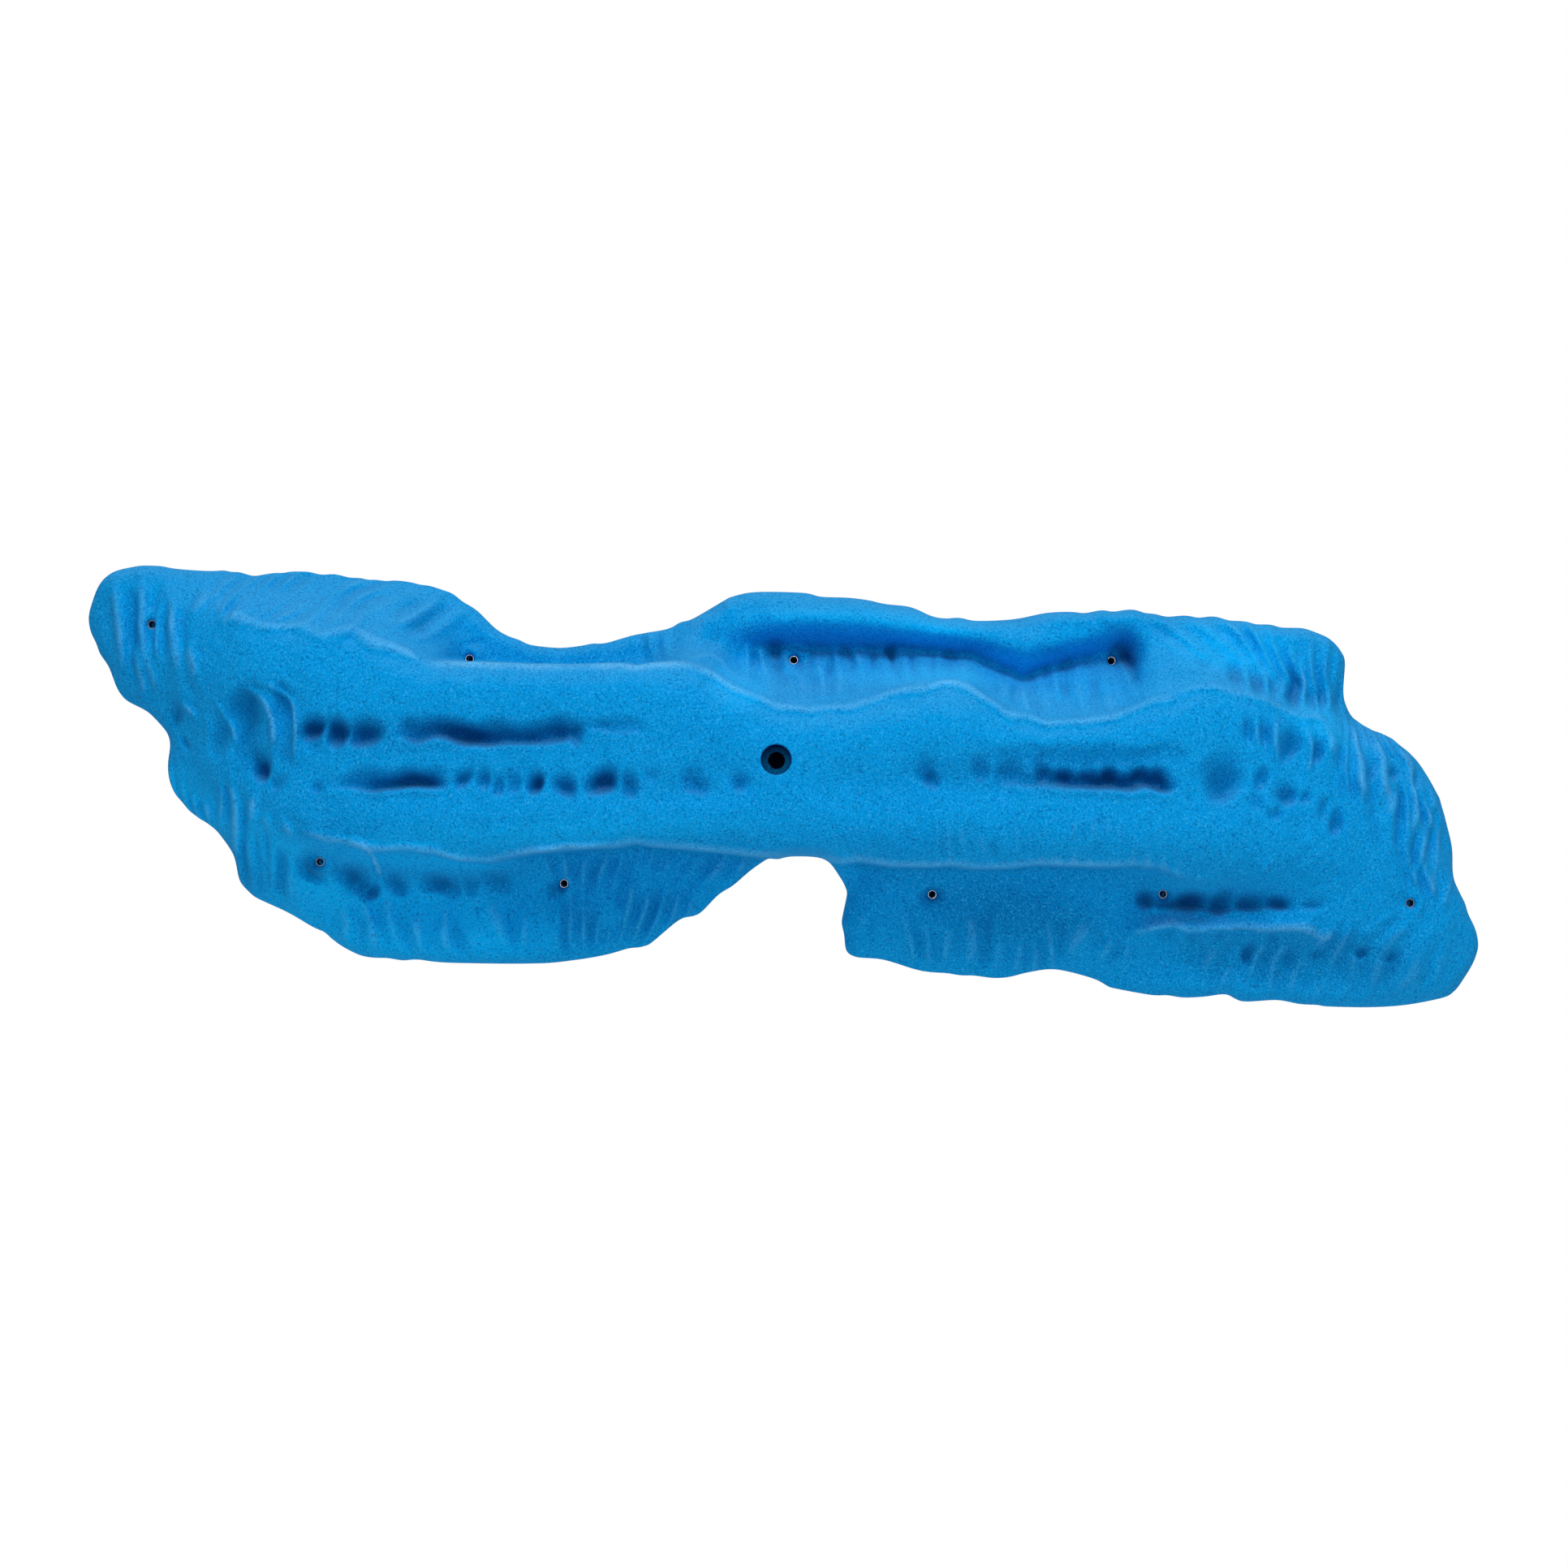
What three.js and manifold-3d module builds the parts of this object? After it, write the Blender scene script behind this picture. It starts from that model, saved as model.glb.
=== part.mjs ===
// Large bolt-on climbing hold, moulded in polyurethane.
// Millimetres. X runs along the hold, Z runs up the wall, and the flat back lies on the wall plane
// y = 0, so the hold stands out towards -Y. The origin is where the main bolt meets the wall.
import * as THREE from 'three';
import { mergeVertices } from 'three/addons/utils/BufferGeometryUtils.js';
import Module from 'manifold-3d';

// ---- driving dimensions ----
const WALL_THICKNESS = 10;        // polyurethane thickness over the hollow back
const CAVITY_REACH = 12;          // how far the hollow stays from steep faces
const BACK_RIM = 15;              // width of the flat rim that sits on the wall
const EDGE_RADIUS = 8;            // rounding of the outer edge
const EDGE_SHARE = 0.4;           // share of the local height that stands straight at the outline
const RIDGE_WALL = 4;             // run of the steep wall around the ridge
const BOLT_COUNTERBORE_D = 20;    // clears the head of an M10 socket screw
const BOLT_HOLE_D = 11.5;
const BOLT_SEAT_Y = 30;           // seat of the bolt head above the wall
const BOLT_BOSS_D = 46;
const WASHER_Y = 24;               // the washer is cast in below the seat, under 3.7 mm of polyurethane
const WASHER_D = 24;
const WASHER_HOLE_D = 11.5;
const WASHER_T = 2;
const SCREW_RECESS_D = 9.6;
const SCREW_RECESS_DEPTH = 3.2;    // below the surface at the hole's axis
const SCREW_BORE_D = 5;
const SCREW_BOSS_D = 25;
const INSERT_D = 6.8;
const INSERT_LENGTH = 12;          // shorter where the flange is thin
const UNDER_INSERT = 2;           // polyurethane left between a ferrule and the wall
const GAP = 0.3;                  // clearance between the casting and its cast-in steel
const COLUMNS = 86;               // mesh columns along the hold

// Closed outline of the casting on the wall plane, [x, z], clockwise from the left tip.
const OUTLINE = [
  [-473.4,97],[-472.5,103.5],[-468.9,113.9],[-462,125.2],[-453.8,130.5],[-434.4,134.1],[-401.6,130.9],[-379.5,130.8],[-368.6,129.5],[-359.1,127],
  [-347.3,129.1],[-322.1,130],[-313.6,128.1],[-303.8,128.4],[-280.3,124.4],[-252,122.9],[-239.1,120.5],[-221.6,114],[-206.3,103.5],[-193.7,91.2],
  [-184.2,85.6],[-171.1,80.2],[-148.2,77.6],[-117.6,80.9],[-97.6,86.5],[-74.9,90.6],[-66.1,95.2],[-57.7,97.4],[-29.6,112.9],[-13.5,115.8],
  [18.6,115.2],[30.3,112.5],[63.3,110],[91.4,105.4],[109.7,98.1],[125.1,97.9],[136.9,95.7],[162.4,96.9],[184.9,101.2],[201.5,101.8],
  [210.2,100.9],[222,102.9],[229.6,101.9],[242.7,103.5],[267.3,98.7],[280.4,99.6],[289,98.1],[300,99],[309.5,96.4],[321.4,95.6],
  [328.8,93.6],[363.8,90.4],[380,83.5],[384.2,80],[389.4,72.8],[390.6,64.2],[389,46.7],[390.7,38.1],[393.7,32.2],[396.6,28.9],
  [406.7,22.1],[422.7,15],[435.6,4.7],[443,-3.6],[454.8,-23.5],[464,-57.4],[464.1,-78.3],[480.5,-116.6],[482.5,-126.3],[481.7,-131.7],
  [478,-140.9],[468.5,-155.8],[459.9,-162.6],[434.2,-167.8],[409.1,-169.6],[378,-169],[344.3,-164.6],[323.3,-165.7],[316.9,-164.5],[309.1,-160.7],
  [279.5,-162.9],[268.7,-161.3],[257.6,-161.2],[231.7,-156.5],[212.6,-148.3],[189,-143.5],[154.5,-149.5],[105.2,-145.5],[73.5,-137],[55.9,-135.4],
  [49.9,-132.9],[47.5,-129.4],[45,-113.1],[48.2,-89.3],[43.8,-80.4],[32.4,-67.3],[10.2,-65.3],[1.1,-67.8],[-6.1,-67.4],[-29.8,-85.8],
  [-40,-92.3],[-51.6,-104.1],[-57.5,-107],[-67,-109.6],[-85.7,-125.1],[-94.9,-128.6],[-101.5,-129.1],[-118.4,-133.8],[-142.1,-137.6],[-167.4,-139.5],
  [-225,-138.9],[-246.9,-136.7],[-256.8,-137.3],[-286.2,-133.8],[-298.1,-128.1],[-311,-117.9],[-357.3,-94.7],[-367.2,-85.8],[-369.5,-80.9],[-371.6,-67.9],
  [-375.4,-60],[-386,-47.2],[-401.4,-36.7],[-414.9,-20.6],[-418.1,-9],[-416.5,9.6],[-418,18.2],[-429.7,31.4],[-446,40.6],[-450.1,44.1],
  [-454.2,50.7],[-458.9,64.2],[-465.1,73.3],[-470.9,86.3],
];
// Closed edge line of the main ridge, [x, z]: along the upper lip, then back along the lower lip.
const RIDGE_EDGE = [
  [-281.9,85.7],[-271.2,83.6],[-260.5,78.8],[-244.4,71.3],[-228.4,64],[-212.3,64.8],[-190.9,63.8],[-164.1,62.7],[-137.3,62.4],[-115.9,63],
  [-102.5,63.2],[-93.4,61.6],[-83.8,63.2],[-67.7,63.8],[-57,62.7],[-46.3,59.5],[-30.2,49.8],[-14.1,41.8],[1.9,37],[18,34.3],
  [39.4,35.9],[55.5,38],[71.6,43.4],[87.6,47.7],[103.7,50.4],[119.8,51.4],[129.4,47.7],[138.5,40.2],[151.9,32.7],[168,28.4],
  [184,25.7],[205.4,26.8],[221.5,30],[237.6,34.3],[253.6,40.7],[272.4,46.6],[291.1,47.2],[291.1,-78.2],[277.8,-77.6],[264.4,-75],
  [253.6,-70.7],[237.6,-69.1],[221.5,-70.1],[200.1,-69.6],[173.3,-68.5],[157.2,-70.7],[130.5,-71.2],[117.1,-69.1],[103.7,-70.1],[76.9,-69.6],
  [55.5,-66.4],[44.8,-67.5],[23.4,-66.4],[-3.4,-64.2],[-30.2,-61],[-57,-58.4],[-83.8,-56.2],[-94.5,-54.3],[-105.2,-56.7],[-126.6,-57.8],
  [-148,-59.4],[-161.4,-60.5],[-177.5,-63.7],[-190.9,-66.9],[-212.3,-64.8],[-228.4,-61],[-244.4,-59.4],[-268.5,-58.9],[-281.9,-55.1],
];
// Upper and lower guide lines of the mesh rows, [x, z], from left to right.
const RIDGE_TOP_LINE = [
  [-484.4,108.8],[-435.8,103.4],[-400.7,99.6],[-377.4,92.6],[-338.5,90.9],[-300.7,87.2],[-284.5,86.6],[-273.7,84.5],[-262.9,79.6],[-246.7,72],
  [-230.5,64.7],[-214.2,65.6],[-192.6,64.5],[-165.6,63.4],[-138.6,63.1],[-117,63.7],[-103.5,63.9],[-94.3,62.3],[-84.6,63.9],[-68.3,64.5],
  [-57.5,63.4],[-46.7,60.1],[-30.5,50.4],[-14.3,42.3],[1.9,37.5],[18.1,34.8],[39.7,36.4],[55.9,38.5],[72.1,43.9],[88.4,48.3],
  [104.6,51],[120.8,52],[130.5,48.3],[139.7,40.7],[153.2,33.1],[169.4,28.8],[185.6,26.1],[207.2,27.2],[223.5,30.4],[239.7,34.8],
  [255.9,41.2],[274.8,47.2],[293.7,47.7],[326.1,39.1],[353.1,27.7],[371,16.9],[401.8,-7.4],[434.2,-50.6],[482.8,-104.7],
];
const RIDGE_LOW_LINE = [
  [-484.4,79.1],[-435.8,46.6],[-400.7,-7.4],[-360.1,-53.3],[-314.2,-53.3],[-284.5,-55.5],[-271,-59.3],[-246.7,-59.8],[-230.5,-61.4],[-214.2,-65.2],
  [-192.6,-67.4],[-179.1,-64.1],[-162.9,-60.9],[-149.4,-59.8],[-127.8,-58.2],[-106.2,-57.1],[-95.4,-54.7],[-84.6,-56.6],[-57.5,-58.7],[-30.5,-61.4],
  [-3.5,-64.7],[23.5,-66.8],[45.1,-67.9],[55.9,-66.8],[77.6,-70.1],[104.6,-70.6],[118.1,-69.5],[131.6,-71.7],[158.6,-71.2],[174.8,-69],
  [201.8,-70.1],[223.5,-70.6],[239.7,-69.5],[255.9,-71.2],[266.7,-75.5],[280.2,-78.2],[293.7,-78.7],[326.1,-83],[374.8,-94.9],[423.4,-102],
  [482.8,-123.6],
];
const UPPER_GROOVE_LINE = [
  [-349.8,17.5],[-283.2,17.5],[-257.1,17],[-216.5,15.9],[-188.8,11.7],[-163.3,13.3],[-133.9,14.3],[-104.6,19.1],[-30,16.5],[289.7,16.5],
];
const LOWER_GROOVE_LINE = [
  [-349.8,-16.6],[-215,-16.6],[-30,-13.9],[162.4,-11.2],[188.5,-15.5],[257.7,-16.6],[316.4,-16.6],
];
// Stand-off of the ridge and wing surface from the wall, [x, z, height].
const RIDGE_HEIGHTS = [
  [-445.8,114.4,24],[-445.1,92.1,27],[-445.8,70.2,24],[-446.8,55,14],[-459.7,98.2,16],[-428.8,119.8,26],[-427.3,91.8,33],
  [-427.3,64.3,33],[-428.9,43.8,20],[-406.3,119.6,28],[-403.1,96.7,44],[-401.9,74.5,50],[-403.1,47.4,44],[-405.2,20.4,28],
  [-404.7,-7.2,22],[-402.4,-26.6,14],[-383.9,119.5,30],[-380.1,101.8,50],[-378.2,90.4,60],[-377.1,63,66],[-378.6,36.1,58],
  [-380.5,9.1,48],[-382.4,-18.2,38],[-385,-36,18],[-361.8,116.8,30],[-356.9,101.4,58],[-355.1,93.2,68],[-353.3,73.3,78],
  [-353,49,80],[-354.7,25,70],[-356.2,-1.9,62],[-356.9,-23.7,58],[-359,-45.6,46],[-362.2,-67.9,28],[-339.8,114,30],
  [-334.8,98.5,60],[-332.5,90.7,74],[-330.5,73,86],[-330,48.7,89],[-331.5,19.4,80],[-332.1,-7.4,76],[-332.3,-29,75],
  [-333.8,-48,66],[-337.8,-67.5,42],[-341.5,-87.5,20],[-318.1,114.1,28],[-313.1,98.5,60],[-310.1,87.8,79],[-308.1,67.3,92],
  [-307.6,45.9,95],[-308.4,8.6,90],[-309,-28.9,86],[-310.6,-50.5,76],[-314.6,-67.3,50],[-317.8,-89.9,30],[-319.9,-102.6,16],
  [-295.4,111.1,32],[-291.4,98.5,60],[-288,86.5,83],[-286.1,64.5,96],[-285.8,40.4,98],[-286.3,3.2,95],[-286.8,-34.2,91],
  [-288.4,-53.1,80],[-292.8,-70.1,50],[-295.4,-89.8,32],[-297.5,-112.5,18],[276.1,47.9,80],[274.7,32.6,91],[274.3,-2.2,94],
  [273.9,-34.2,97],[274.5,-60.9,92],[276.5,-77.4,77],[298.1,47,77],[296.6,30,87],[296.5,-2.1,88],[295.9,-34.2,92],
  [296.5,-61,88],[298.5,-77.5,74],[325.8,39.6,72],[324.5,24.8,80],[324.2,-7.4,82],[323.7,-34.3,85],[324.2,-61.2,82],
  [326.4,-80.4,68],[329.6,-96.3,48],[354.2,29.5,64],[353.1,19.6,70],[352.5,-7.4,74],[351.9,-34.4,77],[352.5,-66.7,74],
  [355.9,-97.2,54],[377.1,17.1,57],[375.7,-7.4,65],[374.9,-34.4,69],[375.3,-66.9,67],[377.3,-97.1,56],[379.1,-120.5,46],
  [408.8,9.3,34],[406.1,-7.3,48],[404.3,-34.5,57],[404.1,-67.1,58],[405.3,-97.3,52],[406.9,-122.2,44],[409.6,-145,30],
  [433.3,-7.2,22],[430.4,-23.7,36],[428.5,-45.6,45],[428.1,-67.4,47],[428.5,-96.5,45],[429.2,-122.3,42],[431.2,-144.9,32],
  [434.1,-157.9,18],[455.2,-57.1,18],[448.8,-78.8,32],[452.8,-100.7,34],[452.8,-122.7,34],[455,-145.4,24],[469.1,-126.2,20],
  [-266.3,81,85],[-264.5,61.8,98],[-264.1,35,101],[-264.4,0.5,99],[-264.9,-34.2,95],[-266.7,-58.5,82],[-244.4,70.7,88],
  [-242.9,56.4,100],[-242.7,29.7,102],[-242.8,0.5,101],[-243.2,-34.2,98],[-244.9,-59.5,84],[-217.7,63.2,88],[-216.3,55.3,100],
  [-216,29.7,103],[-216.1,0.4,102],[-216.4,-34.2,99],[-217.2,-52.9,92],[-218.5,-64.4,80],[-190.7,63.1,90],[-189.6,55.3,101],
  [-189.3,29.6,104],[-189.4,0.4,103],[-189.6,-34.1,101],[-190.4,-55.6,93],[-191.7,-66.6,80],[-163.8,62.6,91],[-162.9,54.7,102],
  [-162.8,29.6,104],[-162.8,0.4,104],[-162.9,-34.1,102],[-163.6,-53.4,94],[-164.4,-62.2,84],[-137,62,92],[-136.3,54.2,102],
  [-136.1,29.6,105],[-136.2,0.4,104],[-136.3,-34.1,103],[-136.7,-50.2,97],[-137.3,-58.4,88],[-110.3,62.5,92],[-109.7,54.1,103],
  [-109.5,29.6,106],[-109.6,0.4,105],[-109.7,-34.1,103],[-110,-49.1,97],[-110.5,-56.7,88],[-83.6,63.1,92],[-83.1,54.1,103],
  [-82.9,29.6,107],[-83,0.4,106],[-83.1,-34.1,104],[-83.4,-48.6,97],[-83.8,-56.2,88],[-56.9,61.5,92],[-56.5,49.8,104],
  [-56.4,29.6,108],[-56.4,0.4,108],[-56.5,-34.1,105],[-56.7,-50.2,97],[-57,-58.9,88],[-30.1,49.7,93],[-29.9,37.6,105],
  [-29.8,0.4,109],[-29.9,-34.1,106],[-30,-52.8,97],[-30.2,-61.6,87],[0.3,36.8,93],[0.4,25.9,105],[0.4,-0.7,110],
  [0.4,-34.1,107],[0.3,-55.5,97],[0.3,-64.8,86],[34,35.3,92],[33.8,24.3,105],[33.8,-2.3,109],[33.8,-34.1,107],
  [33.9,-57.1,97],[34.1,-66.4,86],[66.1,40.6,91],[65.7,29.6,104],[65.6,-2.3,109],[65.6,-34.1,107],[65.9,-59.2,97],
  [66.3,-68,86],[103.6,50.3,90],[103,39.2,103],[102.7,-2.3,108],[102.8,-34.1,107],[103.2,-60.8,97],[103.8,-70.2,86],
  [130.3,44.9,91],[129.5,33.9,103],[129.3,-2.2,107],[129.3,-34.1,107],[129.9,-61.4,97],[130.6,-71.3,86],[156.9,30.5,92],
  [156.2,20.1,102],[156,-2.2,105],[155.9,-34.1,106],[156.6,-60.8,97],[157.3,-70.7,87],[183.8,25.7,91],[183,15.9,100],
  [182.8,-2.2,102],[182.5,-34.1,105],[183.2,-60.8,97],[184,-69.1,88],[210.6,26.8,90],[209.7,17.5,99],[209.5,-2.2,101],
  [209.3,-34.1,103],[210,-60.9,96],[210.9,-70.2,87],[237.7,34.3,87],[236.5,23.4,97],[236.3,-2.2,99],[236,-34.1,102],
  [236.8,-60.9,95],[237.7,-69.1,87],[256.8,41.4,84],[255.6,29.9,94],[255.1,-2.2,98],[254.8,-34.1,100],[255.6,-60.9,94],
  [256.8,-71.9,84],
];
// Stand-off of the flange, pocket and wing surface from the wall, [x, z, height].
const FLANGE_HEIGHTS = [
  [-445.8,114.4,24],[-445.1,92.1,27],[-445.8,70.2,24],[-446.8,55,14],[-459.7,98.2,16],[-428.8,119.8,26],[-427.3,91.8,33],
  [-427.3,64.3,33],[-428.9,43.8,20],[-406.3,119.6,28],[-403.1,96.7,44],[-401.9,74.5,50],[-403.1,47.4,44],[-405.2,20.4,28],
  [-404.7,-7.2,22],[-402.4,-26.6,14],[-383.9,119.5,30],[-380.1,101.8,50],[-378.2,90.4,60],[-377.1,63,66],[-378.6,36.1,58],
  [-380.5,9.1,48],[-382.4,-18.2,38],[-385,-36,18],[-361.8,116.8,30],[-356.9,101.4,58],[-355.1,93.2,68],[-353.3,73.3,78],
  [-353,49,80],[-354.7,25,70],[-356.2,-1.9,62],[-356.9,-23.7,58],[-359,-45.6,46],[-362.2,-67.9,28],[-339.8,114,30],
  [-334.8,98.5,60],[-332.5,90.7,74],[-330.5,73,86],[-330,48.7,89],[-331.5,19.4,80],[-332.1,-7.4,76],[-332.3,-29,75],
  [-333.8,-48,66],[-337.8,-67.5,42],[-341.5,-87.5,20],[-318.1,114.1,28],[-313.1,98.5,60],[-310.1,87.8,79],[-308.1,67.3,92],
  [-307.6,45.9,95],[-308.4,8.6,90],[-309,-28.9,86],[-310.6,-50.5,76],[-314.6,-67.3,50],[-317.8,-89.9,30],[-319.9,-102.6,16],
  [-295.4,111.1,32],[-291.4,98.5,60],[-288,86.5,83],[-286.1,64.5,96],[-285.8,40.4,98],[-286.3,3.2,95],[-286.8,-34.2,91],
  [-288.4,-53.1,80],[-292.8,-70.1,50],[-295.4,-89.8,32],[-297.5,-112.5,18],[276.1,47.9,80],[274.7,32.6,91],[274.3,-2.2,94],
  [273.9,-34.2,97],[274.5,-60.9,92],[276.5,-77.4,77],[298.1,47,77],[296.6,30,87],[296.5,-2.1,88],[295.9,-34.2,92],
  [296.5,-61,88],[298.5,-77.5,74],[325.8,39.6,72],[324.5,24.8,80],[324.2,-7.4,82],[323.7,-34.3,85],[324.2,-61.2,82],
  [326.4,-80.4,68],[329.6,-96.3,48],[354.2,29.5,64],[353.1,19.6,70],[352.5,-7.4,74],[351.9,-34.4,77],[352.5,-66.7,74],
  [355.9,-97.2,54],[377.1,17.1,57],[375.7,-7.4,65],[374.9,-34.4,69],[375.3,-66.9,67],[377.3,-97.1,56],[379.1,-120.5,46],
  [408.8,9.3,34],[406.1,-7.3,48],[404.3,-34.5,57],[404.1,-67.1,58],[405.3,-97.3,52],[406.9,-122.2,44],[409.6,-145,30],
  [433.3,-7.2,22],[430.4,-23.7,36],[428.5,-45.6,45],[428.1,-67.4,47],[428.5,-96.5,45],[429.2,-122.3,42],[431.2,-144.9,32],
  [434.1,-157.9,18],[455.2,-57.1,18],[448.8,-78.8,32],[452.8,-100.7,34],[452.8,-122.7,34],[455,-145.4,24],[469.1,-126.2,20],
  [-273.1,108.2,34],[-269.1,92.9,64],[-266.4,82.2,84],[-251.4,105.6,32],[-247.7,87.6,62],[-244.7,73,86],[-235.8,103.3,24],
  [-233.5,85.8,44],[-230.5,71,70],[-227.5,64,82],[-219.9,95.4,18],[-218.9,81.1,27],[-218.1,68.6,34],[-198.1,84.5,14],
  [-197.8,69.3,17],[-170.3,73.4,14],[-170.2,66.7,15],[-142.6,71.7,14],[-142.5,66.1,15],[-109.2,74.5,14],[-109.1,67.2,16],
  [-86.9,78.8,16],[-86.8,67.6,20],[-70.2,84.2,20],[-69.7,73.6,34],[-64.3,65.3,62],[-59,84,24],[-58.5,75.1,38],
  [-57.9,68.8,58],[-57.3,63.6,78],[-42.2,92,30],[-42.2,78,34],[-41.6,67.7,56],[-41,56.9,84],[-25.7,100.1,32],
  [-25.7,83.7,29],[-25.8,75.7,24],[-25.5,63.9,44],[-24.8,48.8,88],[0.2,105.5,34],[0.2,96.9,41],[0.2,86.2,34],
  [0.1,77.8,13],[0.2,69.4,16],[0.2,55.9,38],[0.3,43.9,72],[0.3,36.9,91],[34.8,103.8,34],[34.7,95.7,43],
  [34.8,86.2,35],[35.2,77.9,11],[35.1,69.4,15],[34.8,54.1,40],[34.3,42.7,74],[34,35.3,91],[67.8,100,34],
  [67.5,92.3,45],[67.7,83.9,37],[68.5,76.8,12],[68.3,68.8,18],[67.5,55.6,46],[66.5,45.3,78],[66.1,40.7,90],
  [106.2,90.5,36],[105.9,85.3,42],[106.3,80.2,34],[107.3,74.4,15],[106.6,66.7,28],[104.9,56.6,64],[103.7,50.4,88],
  [133.5,87,40],[133.1,77.5,45],[134.6,69.7,22],[133.8,61.5,34],[131.8,52.2,66],[130.4,45,89],[160.6,84.7,44],
  [160.2,73.5,49],[161,65.2,38],[165.2,57.6,20],[163.6,47.6,40],[161.2,36.9,72],[159.8,30,90],[193.6,88.6,42],
  [193.5,77.6,43],[196.1,67.2,15],[195.1,53.5,26],[192.1,38.9,58],[189.2,25.7,90],[215.7,88.7,40],[216,81.2,37],
  [218.5,72.8,13],[217.6,59.2,22],[214.9,40.8,48],[210.8,27.3,88],[229.6,88.8,38],[230.7,81,28],[232.5,69.6,12],
  [233.7,53.5,26],[229.7,38.7,62],[227,30.6,87],[244.7,88.9,36],[244.6,75.1,37],[244,58.5,42],[241.2,44.1,66],
  [238.9,34.4,86],[265.8,89,34],[264.1,71.9,48],[262.3,57.7,62],[259.8,43,82],[282.3,86.2,34],[280.2,71.8,50],
  [277.8,57.5,68],[304.3,80.7,34],[302.4,63.7,47],[300.1,53.4,63],[332.1,78.1,32],[330.7,61.2,41],[327.7,46.9,60],
  [354.5,72.7,30],[353.5,53.2,36],[350.8,37.9,52],[378,70.2,22],[376.9,50.7,28],[374,32.1,44],[393.4,26,22],
  [-271.2,-72.9,48],[-273.4,-87.1,32],[-274.5,-112.2,24],[-275.8,-126.5,14],[-248.9,-70.6,52],[-251.4,-84.3,32],[-252.4,-112.2,24],
  [-253.6,-129.3,14],[-221.9,-73.9,50],[-224.1,-85.5,30],[-225,-112.3,22],[-226,-130.5,13],[-195.4,-75.2,42],[-196.8,-87.2,27],
  [-197.5,-112.4,20],[-198.2,-132.2,13],[-173.6,-70.9,40],[-174.9,-83.4,25],[-175.4,-112.4,19],[-176,-132.2,12],[-141.7,-65.2,26],
  [-142.1,-84.7,20],[-142.3,-112.5,18],[-142.7,-129.4,12],[-108.7,-62.5,24],[-109,-84.8,18],[-109.2,-107.1,15],[-109.5,-124,10],
  [-75.7,-62.6,20],[-75.9,-84.9,15],[-76,-106.1,11],[-42.6,-67.1,16],[-42.7,-82.2,12],[-14.9,-70,10],[49.6,-80.5,14],
  [58.3,-74.7,20],[58.4,-95.9,17],[58.4,-118.2,14],[79.2,-76.3,24],[79.3,-95.8,20],[79.5,-118.1,16],[79.7,-130.6,11],
  [106.7,-76.2,26],[107,-93,20],[107.2,-118.1,17],[107.4,-137.8,12],[134.3,-77.3,27],[134.6,-95.7,21],[134.9,-118.1,17],
  [135.2,-139.4,12],[161.8,-77.3,28],[162.2,-95.7,22],[162.5,-118,18],[162.9,-139.4,13],[189.2,-76.1,30],[189.7,-95.6,24],
  [190.1,-117.9,20],[190.7,-134.9,13],[216.3,-77.1,34],[217.1,-95.5,26],[217.3,-117.7,24],[218.3,-140.4,15],[247.9,-78.4,46],
  [249.9,-95.4,29],[249.4,-114.5,33],[250.7,-128.9,22],[251.8,-150.5,13],[267.7,-80.1,62],[270.9,-96.2,37],[270.4,-113.1,41],
  [272.2,-125.9,27],[273.6,-149.7,16],[302.6,-95.9,46],[302.6,-113.9,46],[304.9,-126.8,30],[306.6,-149.6,18],[329.8,-113.9,47],
  [332.3,-126.7,31],[334.2,-151.2,19],[356.9,-116.5,48],[359.7,-129.4,32],[361.7,-153.9,20],[381.7,-134.9,32],[383.9,-156.7,20],
  [412.5,-161.5,15],
];
// Finger grooves and folds: points along the deepest line [x, z, depth], and the reach on each side.
const GROOVES = [
  { left: 9.0, right: 8.0, path: [[-283.3,17.6,-11],[-275.2,15.9,-11],[-265.5,14.9,-11],[-256.8,17.5,-11]] },
  { left: 9.0, right: 8.0, path: [[-250.9,15.9,-7],[-232.2,15.9,-11],[-216.1,16.4,-13],[-200.1,14.3,-16],[-188.4,11.6,-16],[-177.7,12.7,-8]] },
  { left: 9.0, right: 8.0, path: [[-178.8,13.2,-7],[-162.8,13.7,-9],[-153.3,15.3,-8],[-141.5,16.4,-10],[-133.6,14.2,-10],[-126.6,12.1,-9],[-120.2,14.2,-3]] },
  { left: 9.0, right: 8.0, path: [[-302.1,-17.1,-3],[-286.5,-16.6,-8],[-275.5,-16.6,-11],[-253.7,-16,-13],[-237.6,-16.6,-15],[-224.2,-16,-12],[-214.6,-14.4,-5]] },
  { left: 9.5, right: 8.0, path: [[162.4,-10.2,-3],[174.7,-13.4,-9],[188,-15.5,-13],[204.1,-15,-12],[215.9,-17.1,-15],[233.6,-16,-14],[247,-15.5,-14],[257.8,-16.6,-14],[262.7,-15,-5]] },
  { left: 9.0, right: 8.0, path: [[-334.3,41.9,-3],[-326.9,30.1,-5],[-324.6,16.7,-6],[-323.8,2.2,-5]] },
  { left: 9.0, right: 8.0, path: [[-362.5,42.3,-4],[-358.5,31.5,-8],[-354.5,19.7,-10],[-349.8,7.8,-9],[-346.5,-6.3,-12]] },
  { left: 9.0, right: 8.0, path: [[348.5,68.7,-4],[349,52,-8],[347.5,35,-4]] },
  { left: 9.0, right: 8.0, path: [[340.2,28.3,-4],[341.5,16.8,-6],[343.4,4.4,-4]] },
  { left: 9.0, right: 8.0, path: [[245.4,-94.3,-3],[250.9,-97,-6],[262.5,-99.1,-6],[281,-98.7,-7],[300.9,-98.1,-6],[321.3,-97.4,-6],[340,-97.8,-5],[357,-99.9,-3],[372,-99.9,-1]] },
];
// Round thumb dish: [x, z, depth, radius].
const THUMB_DISH = [294.9,-4.3,-8,16.8];
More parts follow.
